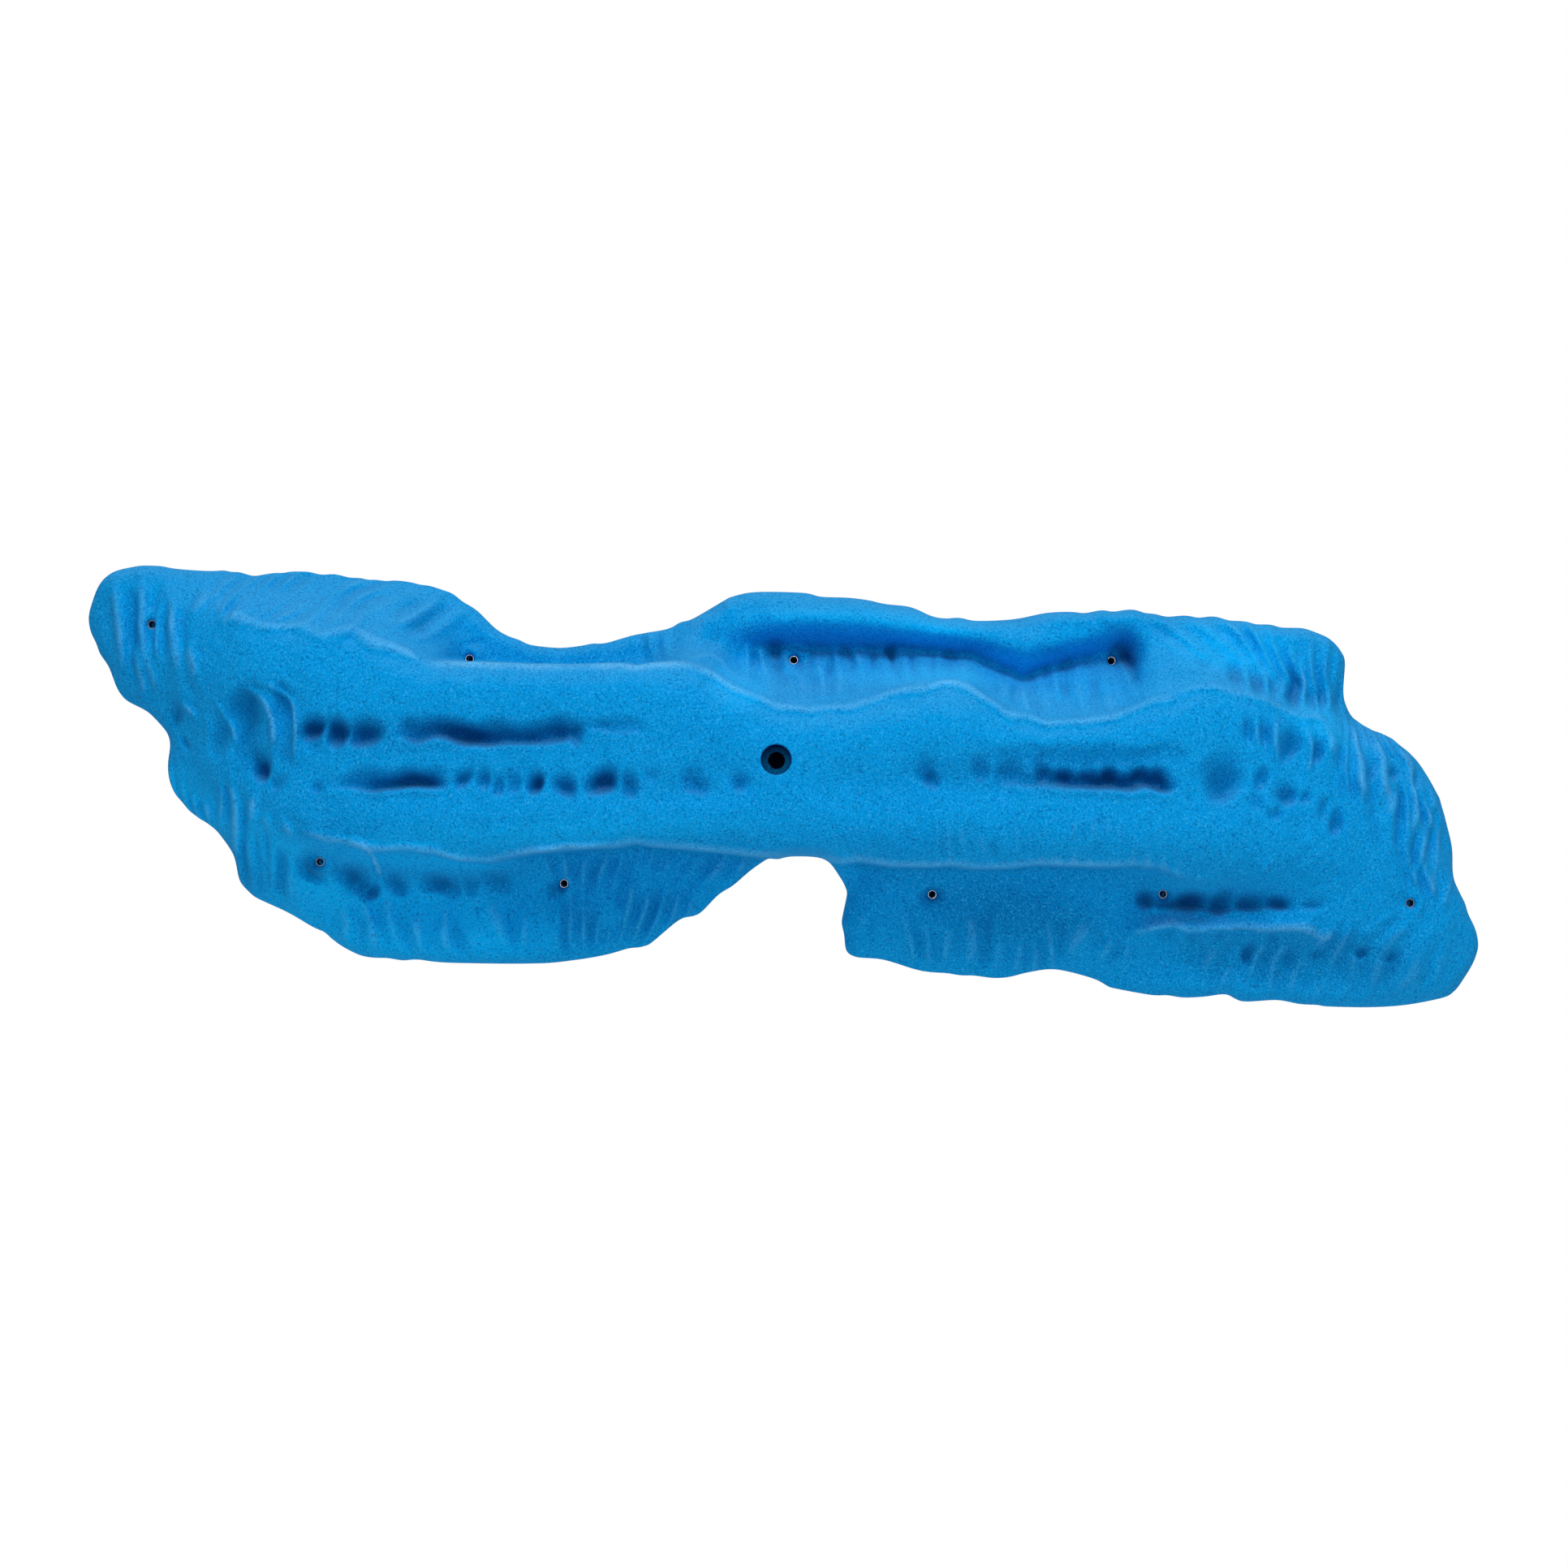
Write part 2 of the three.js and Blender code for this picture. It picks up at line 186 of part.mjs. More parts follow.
// Small fixing screws, [x, z].
const SCREWS = [[-423.5,92.2],[-209.4,69.4],[11.8,68.8],[229.8,68.5],[-307.1,-68.4],[-145.1,-84.1],[106.4,-91.6],[261.6,-90.6],[427.6,-96.4]];

// ---- height field ----
function fitPlate(points, smoothing) {
  // thin-plate spline through scattered heights, with a little smoothing
  const n = points.length, m = n + 3;
  const a = Array.from({ length: m }, () => new Float64Array(m + 1));
  for (let i = 0; i < n; i++) {
    for (let j = 0; j < n; j++) {
      if (i === j) { a[i][j] = smoothing; continue; }
      const dx = points[i][0] - points[j][0], dz = points[i][1] - points[j][1];
      const d2 = (dx * dx + dz * dz) / 1e4;
      a[i][j] = 0.5 * d2 * Math.log(d2 + 1e-12);
    }
    a[i][n] = 1; a[i][n + 1] = points[i][0] / 100; a[i][n + 2] = points[i][1] / 100;
    a[n][i] = 1; a[n + 1][i] = points[i][0] / 100; a[n + 2][i] = points[i][1] / 100;
    a[i][m] = points[i][2];
  }
  for (let c = 0; c < m; c++) {
    let p = c;
    for (let r = c + 1; r < m; r++) if (Math.abs(a[r][c]) > Math.abs(a[p][c])) p = r;
    [a[c], a[p]] = [a[p], a[c]];
    for (let r = c + 1; r < m; r++) {
      const f = a[r][c] / a[c][c];
      if (f === 0) continue;
      for (let k = c; k <= m; k++) a[r][k] -= f * a[c][k];
    }
  }
  const w = new Float64Array(m);
  for (let r = m - 1; r >= 0; r--) {
    let s = a[r][m];
    for (let k = r + 1; k < m; k++) s -= a[r][k] * w[k];
    w[r] = s / a[r][r];
  }
  return (x, z) => {
    let s = w[n] + w[n + 1] * x / 100 + w[n + 2] * z / 100;
    for (let i = 0; i < n; i++) {
      const dx = x - points[i][0], dz = z - points[i][1];
      const d2 = (dx * dx + dz * dz) / 1e4;
      s += w[i] * 0.5 * d2 * Math.log(d2 + 1e-12);
    }
    return s;
  };
}
const ridgeHeight = fitPlate(RIDGE_HEIGHTS, 0.004);
const flangeHeight = fitPlate(FLANGE_HEIGHTS, 0.002);

function nearest(x, z, path, closed) {
  let best = { d: Infinity, i: 0, t: 0, side: 0 };
  const n = path.length;
  for (let i = 0; i < (closed ? n : n - 1); i++) {
    const a = path[i], b = path[(i + 1) % n];
    const ux = b[0] - a[0], uz = b[1] - a[1], vx = x - a[0], vz = z - a[1];
    const t = Math.min(1, Math.max(0, (vx * ux + vz * uz) / (ux * ux + uz * uz)));
    const d = Math.hypot(vx - t * ux, vz - t * uz);
    if (d < best.d) best = { d, i, t, side: ux * vz - uz * vx };
  }
  return best;
}
function inside(x, z, loop) {
  let r = false;
  for (let i = 0, j = loop.length - 1; i < loop.length; j = i++) {
    const [xi, zi] = loop[i], [xj, zj] = loop[j];
    if ((zi > z) !== (zj > z) && x < ((xj - xi) * (z - zi)) / (zj - zi) + xi) r = !r;
  }
  return r;
}
const depthInside = (x, z, loop) => nearest(x, z, loop, true).d * (inside(x, z, loop) ? 1 : -1);
const smooth = (t) => { t = Math.min(1, Math.max(0, t)); return t * t * (3 - 2 * t); };

function bodyHeight(x, z) {
  const share = smooth((depthInside(x, z, RIDGE_EDGE) + RIDGE_WALL) / RIDGE_WALL);
  const f = flangeHeight(x, z);
  return share > 0 ? f + (ridgeHeight(x, z) - f) * share : f;
}
function surfaceHeight(x, z) {
  let h = bodyHeight(x, z);
  for (const g of GROOVES) {
    const q = nearest(x, z, g.path, false);
    const reach = q.side > 0 ? g.left : g.right;
    if (q.d < reach) {
      const a = g.path[q.i][2] * (1 - q.t) + g.path[q.i + 1][2] * q.t;
      h += a * 0.5 * (1 + Math.cos(Math.PI * q.d / reach));
    }
  }
  const [dx, dz, depth, radius] = THUMB_DISH;
  h += depth * (1 - smooth(Math.hypot(x - dx, z - dz) / radius));
  const t = Math.min(1, Math.max(0, depthInside(x, z, OUTLINE) / EDGE_RADIUS));
  return Math.max(h, 6) * (EDGE_SHARE + (1 - EDGE_SHARE) * Math.sqrt(1 - (1 - t) ** 2));
}

// ---- mesh helpers ----
const wasm = await Module();
wasm.setup();
function solid(geometry) {
  const g = geometry.index ? geometry.clone() : geometry.clone();
  g.deleteAttribute('normal');
  if (g.attributes.uv) g.deleteAttribute('uv');
  const m = mergeVertices(g, 1e-5);
  return new wasm.Manifold(new wasm.Mesh({
    numProp: 3,
    vertProperties: new Float32Array(m.attributes.position.array),
    triVerts: new Uint32Array(m.index.array),
  }));
}
function geometryOf(manifold) {
  const m = manifold.getMesh();
  const g = new THREE.BufferGeometry();
  g.setAttribute('position', new THREE.BufferAttribute(new Float32Array(m.vertProperties), 3));
  g.setIndex(new THREE.BufferAttribute(new Uint32Array(m.triVerts), 1));
  g.computeVertexNormals();
  return g;
}
// Round bar along Y between two distances from the wall.
function bar(diameter, from, to, x, z, sides) {
  const g = new THREE.CylinderGeometry(diameter / 2, diameter / 2, to - from, sides);
  g.translate(x, -(from + to) / 2, z);
  return solid(g);
}
// Closed block between the wall side y = back and the height field over a grid of [x, z].
function block(grid, heights, back) {
  const nx = grid.length, nz = grid[0].length, n = nx * nz;
  const pos = new Float32Array(n * 6), idx = [];
  const at = (i, j) => i * nz + j;
  for (let i = 0; i < nx; i++) for (let j = 0; j < nz; j++) {
    const k = at(i, j), [x, z] = grid[i][j];
    pos.set([x, -heights[i][j], z], 3 * k);
    pos.set([x, back, z], 3 * (n + k));
  }
  for (let i = 0; i + 1 < nx; i++) for (let j = 0; j + 1 < nz; j++) {
    const a = at(i, j), b = at(i + 1, j), c = at(i + 1, j + 1), d = at(i, j + 1);
    const flat = Math.abs(heights[i][j] - heights[i + 1][j + 1]) < Math.abs(heights[i + 1][j] - heights[i][j + 1]);
    if (flat) idx.push(a, b, c, a, c, d); else idx.push(a, b, d, b, c, d);
    idx.push(n + a, n + c, n + b, n + a, n + d, n + c);
  }
  const rim = [];
  for (let i = 0; i < nx; i++) rim.push(at(i, 0));
  for (let j = 1; j < nz; j++) rim.push(at(nx - 1, j));
  for (let i = nx - 2; i >= 0; i--) rim.push(at(i, nz - 1));
  for (let j = nz - 2; j >= 1; j--) rim.push(at(0, j));
  for (let k = 0; k < rim.length; k++) {
    const a = rim[k], b = rim[(k + 1) % rim.length];
    idx.push(a, n + a, n + b, a, n + b, b);
  }
  const g = new THREE.BufferGeometry();
  g.setAttribute('position', new THREE.BufferAttribute(pos, 3));
  g.setIndex(idx);
  return solid(g);
}
const lineAt = (line, x) => {
  let i = 0;
  while (i < line.length - 2 && line[i + 1][0] < x) i++;
  const t = Math.min(1, Math.max(0, (x - line[i][0]) / (line[i + 1][0] - line[i][0] || 1e-9)));
  return line[i][1] + (line[i + 1][1] - line[i][1]) * t;
};
function span(x) {
  // lowest and highest point of the outline at x
  let lo = Infinity, hi = -Infinity;
  for (let i = 0; i < OUTLINE.length; i++) {
    const a = OUTLINE[i], b = OUTLINE[(i + 1) % OUTLINE.length];
    if ((a[0] - x) * (b[0] - x) > 0 || a[0] === b[0]) continue;
    const z = a[1] + (b[1] - a[1]) * (x - a[0]) / (b[0] - a[0]);
    lo = Math.min(lo, z); hi = Math.max(hi, z);
  }
  return [lo, hi];
}

// ---- outer shape ----
const xs = OUTLINE.map((p) => p[0]);
const xMin = Math.min(...xs), xMax = Math.max(...xs);
const grid = [], heights = [];
for (let i = 0; i <= COLUMNS; i++) {
  const x = xMin - 3 + (xMax - xMin + 6) * i / COLUMNS;
  const near = Math.min(xMax - 1, Math.max(xMin + 1, x));
  let [lo, hi] = span(near);
  lo -= 7; hi += 5;
  const room = hi - lo;
  const top = Math.min(hi - 0.16 * room, Math.max(lo + 0.45 * room, lineAt(RIDGE_TOP_LINE, x)));
  const low = Math.max(lo + 6.5, Math.min(top - 0.2 * room, lineAt(RIDGE_LOW_LINE, x)));
  // between the lips the rows follow the two lines of finger grooves, and fan out evenly on the wings
  const from0 = low + 4, width0 = top - 4 - from0;
  const on = smooth((x + 335) / 30) * smooth((325 - x) / 30);
  const g2 = lineAt(LOWER_GROOVE_LINE, x), g1 = lineAt(UPPER_GROOVE_LINE, x);
  const follow = [g2 - 8, g2, g2 + 8, g1 - 9, g1, g1 + 9].map((z, k) =>
    Math.min(0.93, Math.max(0.02, on * (z - from0) / width0 + (1 - on) * [0.3, 0.38, 0.46, 0.56, 0.65, 0.74][k])));
  const mids = follow.map((f) => [from0 + f * width0, 1]);
  mids[0][1] = 2;
  const stops = [[lo, 0], [low - 5.5, 5], [low - 0.5, 2], [low + 4, 1], ...mids, [top - 4, 3], [top + 0.5, 1], [top + 5, 1], [hi, 7]];
  const col = [[x, lo]];
  for (let k = 1; k < stops.length; k++) {
    const from = stops[k - 1][0], to = Math.max(stops[k][0], from + 0.5), n = stops[k][1];
    stops[k][0] = to;
    for (let s = 1; s <= n; s++) col.push([x, from + (to - from) * s / n]);
  }
  grid.push(col);
  heights.push(col.map(([px, pz]) => surfaceHeight(px, pz)));
}
const outlineShape = new THREE.Shape(OUTLINE.map(([x, z]) => new THREE.Vector2(x, z)));
const prism = new THREE.ExtrudeGeometry(outlineShape, { depth: 200, bevelEnabled: false });
prism.rotateX(Math.PI / 2);
let shell = block(grid, heights, 4).intersect(solid(prism));

// ---- hollow back ----
const cavityGrid = [], cavityHeights = [];
for (let i = 0; i <= 48; i++) {
  const x = xMin + (xMax - xMin) * i / 48;
  const near = Math.min(xMax - 1, Math.max(xMin + 1, x));
  const [lo, hi] = span(near);
  const col = [];
  for (let j = 0; j <= 12; j++) col.push([x, lo + (hi - lo) * j / 12]);
  cavityGrid.push(col);
  cavityHeights.push(col.map(([px, pz]) => {
    if (depthInside(px, pz, OUTLINE) < BACK_RIM + 6) return -2;
    let h = bodyHeight(px, pz);
    for (let k = 0; k < 10; k++) {
      const a = 2 * Math.PI * k / 10;
      h = Math.min(h, bodyHeight(px + CAVITY_REACH * Math.cos(a), pz + CAVITY_REACH * Math.sin(a)));
    }
    for (const g of GROOVES) if (nearest(px, pz, g.path, false).d < 14) h = Math.min(h, bodyHeight(px, pz) - 14);
    h -= WALL_THICKNESS;
    return h < 9 ? Math.max(-2, 2 * h - 9) : h;
  }));
}
let cavity = block(cavityGrid, cavityHeights, 6);
cavity = cavity.subtract(bar(BOLT_BOSS_D, -20, 160, 0, 0, 32));
for (const [x, z] of SCREWS) cavity = cavity.subtract(bar(SCREW_BOSS_D, -20, 160, x, z, 20));
shell = shell.subtract(cavity);

// ---- main bolt hole with its cast-in washer ----
shell = shell.subtract(bar(BOLT_HOLE_D, -5, BOLT_SEAT_Y + 1, 0, 0, 32));
shell = shell.subtract(bar(WASHER_D + 2 * GAP, WASHER_Y - GAP, WASHER_Y + WASHER_T + GAP, 0, 0, 32));
shell = shell.subtract(bar(BOLT_COUNTERBORE_D, BOLT_SEAT_Y, 180, 0, 0, 32));

function tube(outer, inner, from, to, sides) {
  const r0 = inner / 2, r1 = outer / 2;
  const profile = [[r0, from], [r1, from], [r1, to], [r0, to], [r0, from]];
  const g = new THREE.LatheGeometry(profile.map(([r, y]) => new THREE.Vector2(r, -y)).reverse(), sides);
  return solid(g);
}

// ---- screw holes with steel ferrules ----
const inserts = [];
for (const [x, z] of SCREWS) {
  const floor = surfaceHeight(x, z) - SCREW_RECESS_DEPTH;
  const length = Math.min(INSERT_LENGTH, floor - UNDER_INSERT - GAP);
  shell = shell.subtract(bar(SCREW_BORE_D, -5, floor, x, z, 20));
  shell = shell.subtract(bar(INSERT_D + 2 * GAP, floor - length - GAP, floor + 1, x, z, 20));
  shell = shell.subtract(bar(SCREW_RECESS_D, floor, 180, x, z, 20));
  inserts.push([x, z, floor, length]);
}

const polyurethane = (name) => new THREE.MeshStandardMaterial({ name, color: 0x0a86d8, roughness: 0.82, metalness: 0 });
const steel = (name) => new THREE.MeshStandardMaterial({ name, color: 0xb9bdc1, roughness: 0.35, metalness: 1 });

const hold = new THREE.Group();
const shellMesh = new THREE.Mesh(geometryOf(shell), polyurethane('polyurethane'));
shellMesh.name = 'hold_shell';
hold.add(shellMesh);

const washer = new THREE.Mesh(
  geometryOf(tube(WASHER_D, WASHER_HOLE_D, 0, WASHER_T, 32)), steel('washer_steel'));
washer.name = 'bolt_washer';
washer.position.set(0, -WASHER_Y, 0);
hold.add(washer);

inserts.forEach(([x, z, floor, length], i) => {
  const m = new THREE.Mesh(
    geometryOf(tube(INSERT_D, SCREW_BORE_D, 0, length, 20)), steel(`insert_steel_${i + 1}`));
  m.name = `screw_insert_${i + 1}`;
  m.position.set(x, -(floor - length), z);
  hold.add(m);
});

export default hold;
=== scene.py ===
# Looks for the bolt-on climbing hold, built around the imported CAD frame.
# Metres in the scene; the tables below are in millimetres in the part's own frame.
import math
import bpy
import numpy as np
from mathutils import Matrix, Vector
from mathutils.geometry import delaunay_2d_cdt
from mathutils.kdtree import KDTree


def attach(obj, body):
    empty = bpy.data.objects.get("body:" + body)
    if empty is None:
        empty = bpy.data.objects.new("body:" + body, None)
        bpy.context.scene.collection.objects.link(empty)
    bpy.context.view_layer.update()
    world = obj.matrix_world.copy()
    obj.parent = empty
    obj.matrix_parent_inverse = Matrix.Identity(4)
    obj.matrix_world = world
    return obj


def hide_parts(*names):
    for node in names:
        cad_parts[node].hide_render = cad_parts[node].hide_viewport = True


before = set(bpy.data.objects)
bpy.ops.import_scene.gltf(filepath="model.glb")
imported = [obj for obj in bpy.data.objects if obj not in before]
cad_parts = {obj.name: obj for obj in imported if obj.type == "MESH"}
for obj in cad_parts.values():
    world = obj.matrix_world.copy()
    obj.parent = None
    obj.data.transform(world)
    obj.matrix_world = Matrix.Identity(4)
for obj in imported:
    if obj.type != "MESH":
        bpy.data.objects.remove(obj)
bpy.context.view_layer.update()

# outline on the wall plane, [x, z]
OUTLINE = [
    [-473.4, 97], [-472.5, 103.5], [-468.9, 113.9], [-466.5, 118.9], [-462, 125.2], [-453.8, 130.5], [-441, 133.4], [-434.4, 134.1], [-422.3, 133.6], [-414.7, 132.1],
    [-401.6, 130.9], [-388.3, 130.3], [-379.5, 130.8], [-375.3, 129.8], [-368.6, 129.5], [-359.1, 127], [-347.3, 129.1], [-339.5, 129.2], [-334.1, 130.2], [-322.1, 130],
    [-313.6, 128.1], [-303.8, 128.4], [-294.2, 126.1], [-286.7, 125.8], [-280.3, 124.4], [-276, 124.6], [-268.4, 123.6], [-262.9, 124.1], [-252, 122.9], [-244.6, 121],
    [-239.1, 120.5], [-225.5, 116.1], [-221.6, 114], [-215.6, 109.2], [-206.3, 103.5], [-193.7, 91.2], [-184.2, 85.6], [-176.9, 83.1], [-171.1, 80.2], [-162.5, 78.6],
    [-148.2, 77.6], [-134, 79.1], [-126.5, 80.6], [-117.6, 80.9], [-97.6, 86.5], [-74.9, 90.6], [-66.1, 95.2], [-57.7, 97.4], [-37.6, 109], [-29.6, 112.9],
    [-13.5, 115.8], [18.6, 115.2], [30.3, 112.5], [49.1, 111.8], [63.3, 110], [73.9, 107.5], [91.4, 105.4], [104.5, 99.7], [109.7, 98.1], [116.3, 97.4],
    [125.1, 97.9], [136.9, 95.7], [162.4, 96.9], [184.9, 101.2], [201.5, 101.8], [210.2, 100.9], [222, 102.9], [229.6, 101.9], [242.7, 103.5], [252.2, 101.1],
    [258.8, 100.6], [267.3, 98.7], [280.4, 99.6], [289, 98.1], [300, 99], [309.5, 96.4], [321.4, 95.6], [328.8, 93.6], [338.8, 93.4], [346.2, 91.4],
    [358.4, 91.2], [363.8, 90.4], [375.2, 86.2], [380, 83.5], [384.2, 80], [389.4, 72.8], [390.5, 69.7], [390.6, 64.2], [389, 46.7], [390.7, 38.1],
    [393.7, 32.2], [396.6, 28.9], [406.7, 22.1], [416.9, 18.2], [422.7, 15], [435.6, 4.7], [443, -3.6], [454.8, -23.5], [456.8, -28.6], [464, -57.4],
    [464.1, -78.3], [468.5, -89.6], [472.5, -97.4], [474.8, -104.7], [480.5, -116.6], [482.5, -126.3], [481.7, -131.7], [478, -140.9], [468.5, -155.8], [465.4, -158.9],
    [459.9, -162.6], [434.2, -167.8], [409.1, -169.6], [378, -169], [372.6, -168], [359.4, -167.3], [344.3, -164.6], [323.3, -165.7], [316.9, -164.5], [311.2, -161.2],
    [309.1, -160.7], [304.6, -160.7], [293.8, -162.3], [279.5, -162.9], [268.7, -161.3], [257.6, -161.2], [231.7, -156.5], [227.6, -155], [220.9, -151.1], [212.6, -148.3],
    [200.9, -145.2], [189, -143.5], [174.8, -145.3], [161, -148.7], [154.5, -149.5], [147.8, -149.5], [135.8, -147.9], [127, -147.8], [117.3, -146.3], [105.2, -145.5],
    [94.5, -143.4], [73.5, -137], [55.9, -135.4], [49.9, -132.9], [47.5, -129.4], [46.5, -119.5], [45, -113.1], [45.1, -108.7], [48.2, -93.7], [48.2, -89.3],
    [43.8, -80.4], [32.4, -67.3], [10.2, -65.3], [1.1, -67.8], [-4.1, -67.1], [-6.1, -67.4], [-18, -75.7], [-29.8, -85.8], [-40, -92.3], [-51.6, -104.1],
    [-57.5, -107], [-67, -109.6], [-85.7, -125.1], [-89.6, -127.2], [-94.9, -128.6], [-101.5, -129.1], [-118.4, -133.8], [-142.1, -137.6], [-167.4, -139.5], [-225, -138.9],
    [-246.9, -136.7], [-256.8, -137.3], [-267.6, -135.7], [-276.5, -135.5], [-286.2, -133.8], [-298.1, -128.1], [-306.2, -122.3], [-311, -117.9], [-319.1, -114.4], [-336.3, -104.4],
    [-357.3, -94.7], [-361.7, -91.4], [-367.2, -85.8], [-369.5, -80.9], [-371.6, -67.9], [-375.4, -60], [-386, -47.2], [-401.4, -36.7], [-410.5, -26.9], [-414.9, -20.6],
    [-417.2, -14.4], [-418.1, -9], [-418.1, -1.2], [-416.5, 9.6], [-416.7, 14.1], [-418, 18.2], [-421.2, 22.6], [-429.7, 31.4], [-435.1, 35.2], [-446, 40.6],
    [-450.1, 44.1], [-454.2, 50.7], [-458.9, 64.2], [-465.1, 73.3], [-467.8, 80.5], [-470.9, 86.3], [-472.4, 90.5],
]
# edge line of the main ridge, [x, z]
RIDGE_EDGE = [
    [-281.9, 85.7], [-271.2, 83.6], [-260.5, 78.8], [-244.4, 71.3], [-228.4, 64], [-212.3, 64.8], [-190.9, 63.8], [-164.1, 62.7], [-137.3, 62.4], [-115.9, 63],
    [-102.5, 63.2], [-93.4, 61.6], [-83.8, 63.2], [-67.7, 63.8], [-57, 62.7], [-46.3, 59.5], [-30.2, 49.8], [-14.1, 41.8], [1.9, 37], [18, 34.3],
    [39.4, 35.9], [55.5, 38], [71.6, 43.4], [87.6, 47.7], [103.7, 50.4], [119.8, 51.4], [129.4, 47.7], [138.5, 40.2], [151.9, 32.7], [168, 28.4],
    [184, 25.7], [205.4, 26.8], [221.5, 30], [237.6, 34.3], [253.6, 40.7], [272.4, 46.6], [291.1, 47.2], [291.1, -78.2], [277.8, -77.6], [264.4, -75],
    [253.6, -70.7], [237.6, -69.1], [221.5, -70.1], [200.1, -69.6], [173.3, -68.5], [157.2, -70.7], [130.5, -71.2], [117.1, -69.1], [103.7, -70.1], [76.9, -69.6],
    [55.5, -66.4], [44.8, -67.5], [23.4, -66.4], [-3.4, -64.2], [-30.2, -61], [-57, -58.4], [-83.8, -56.2], [-94.5, -54.3], [-105.2, -56.7], [-126.6, -57.8],
    [-148, -59.4], [-161.4, -60.5], [-177.5, -63.7], [-190.9, -66.9], [-212.3, -64.8], [-228.4, -61], [-244.4, -59.4], [-268.5, -58.9], [-281.9, -55.1],
]
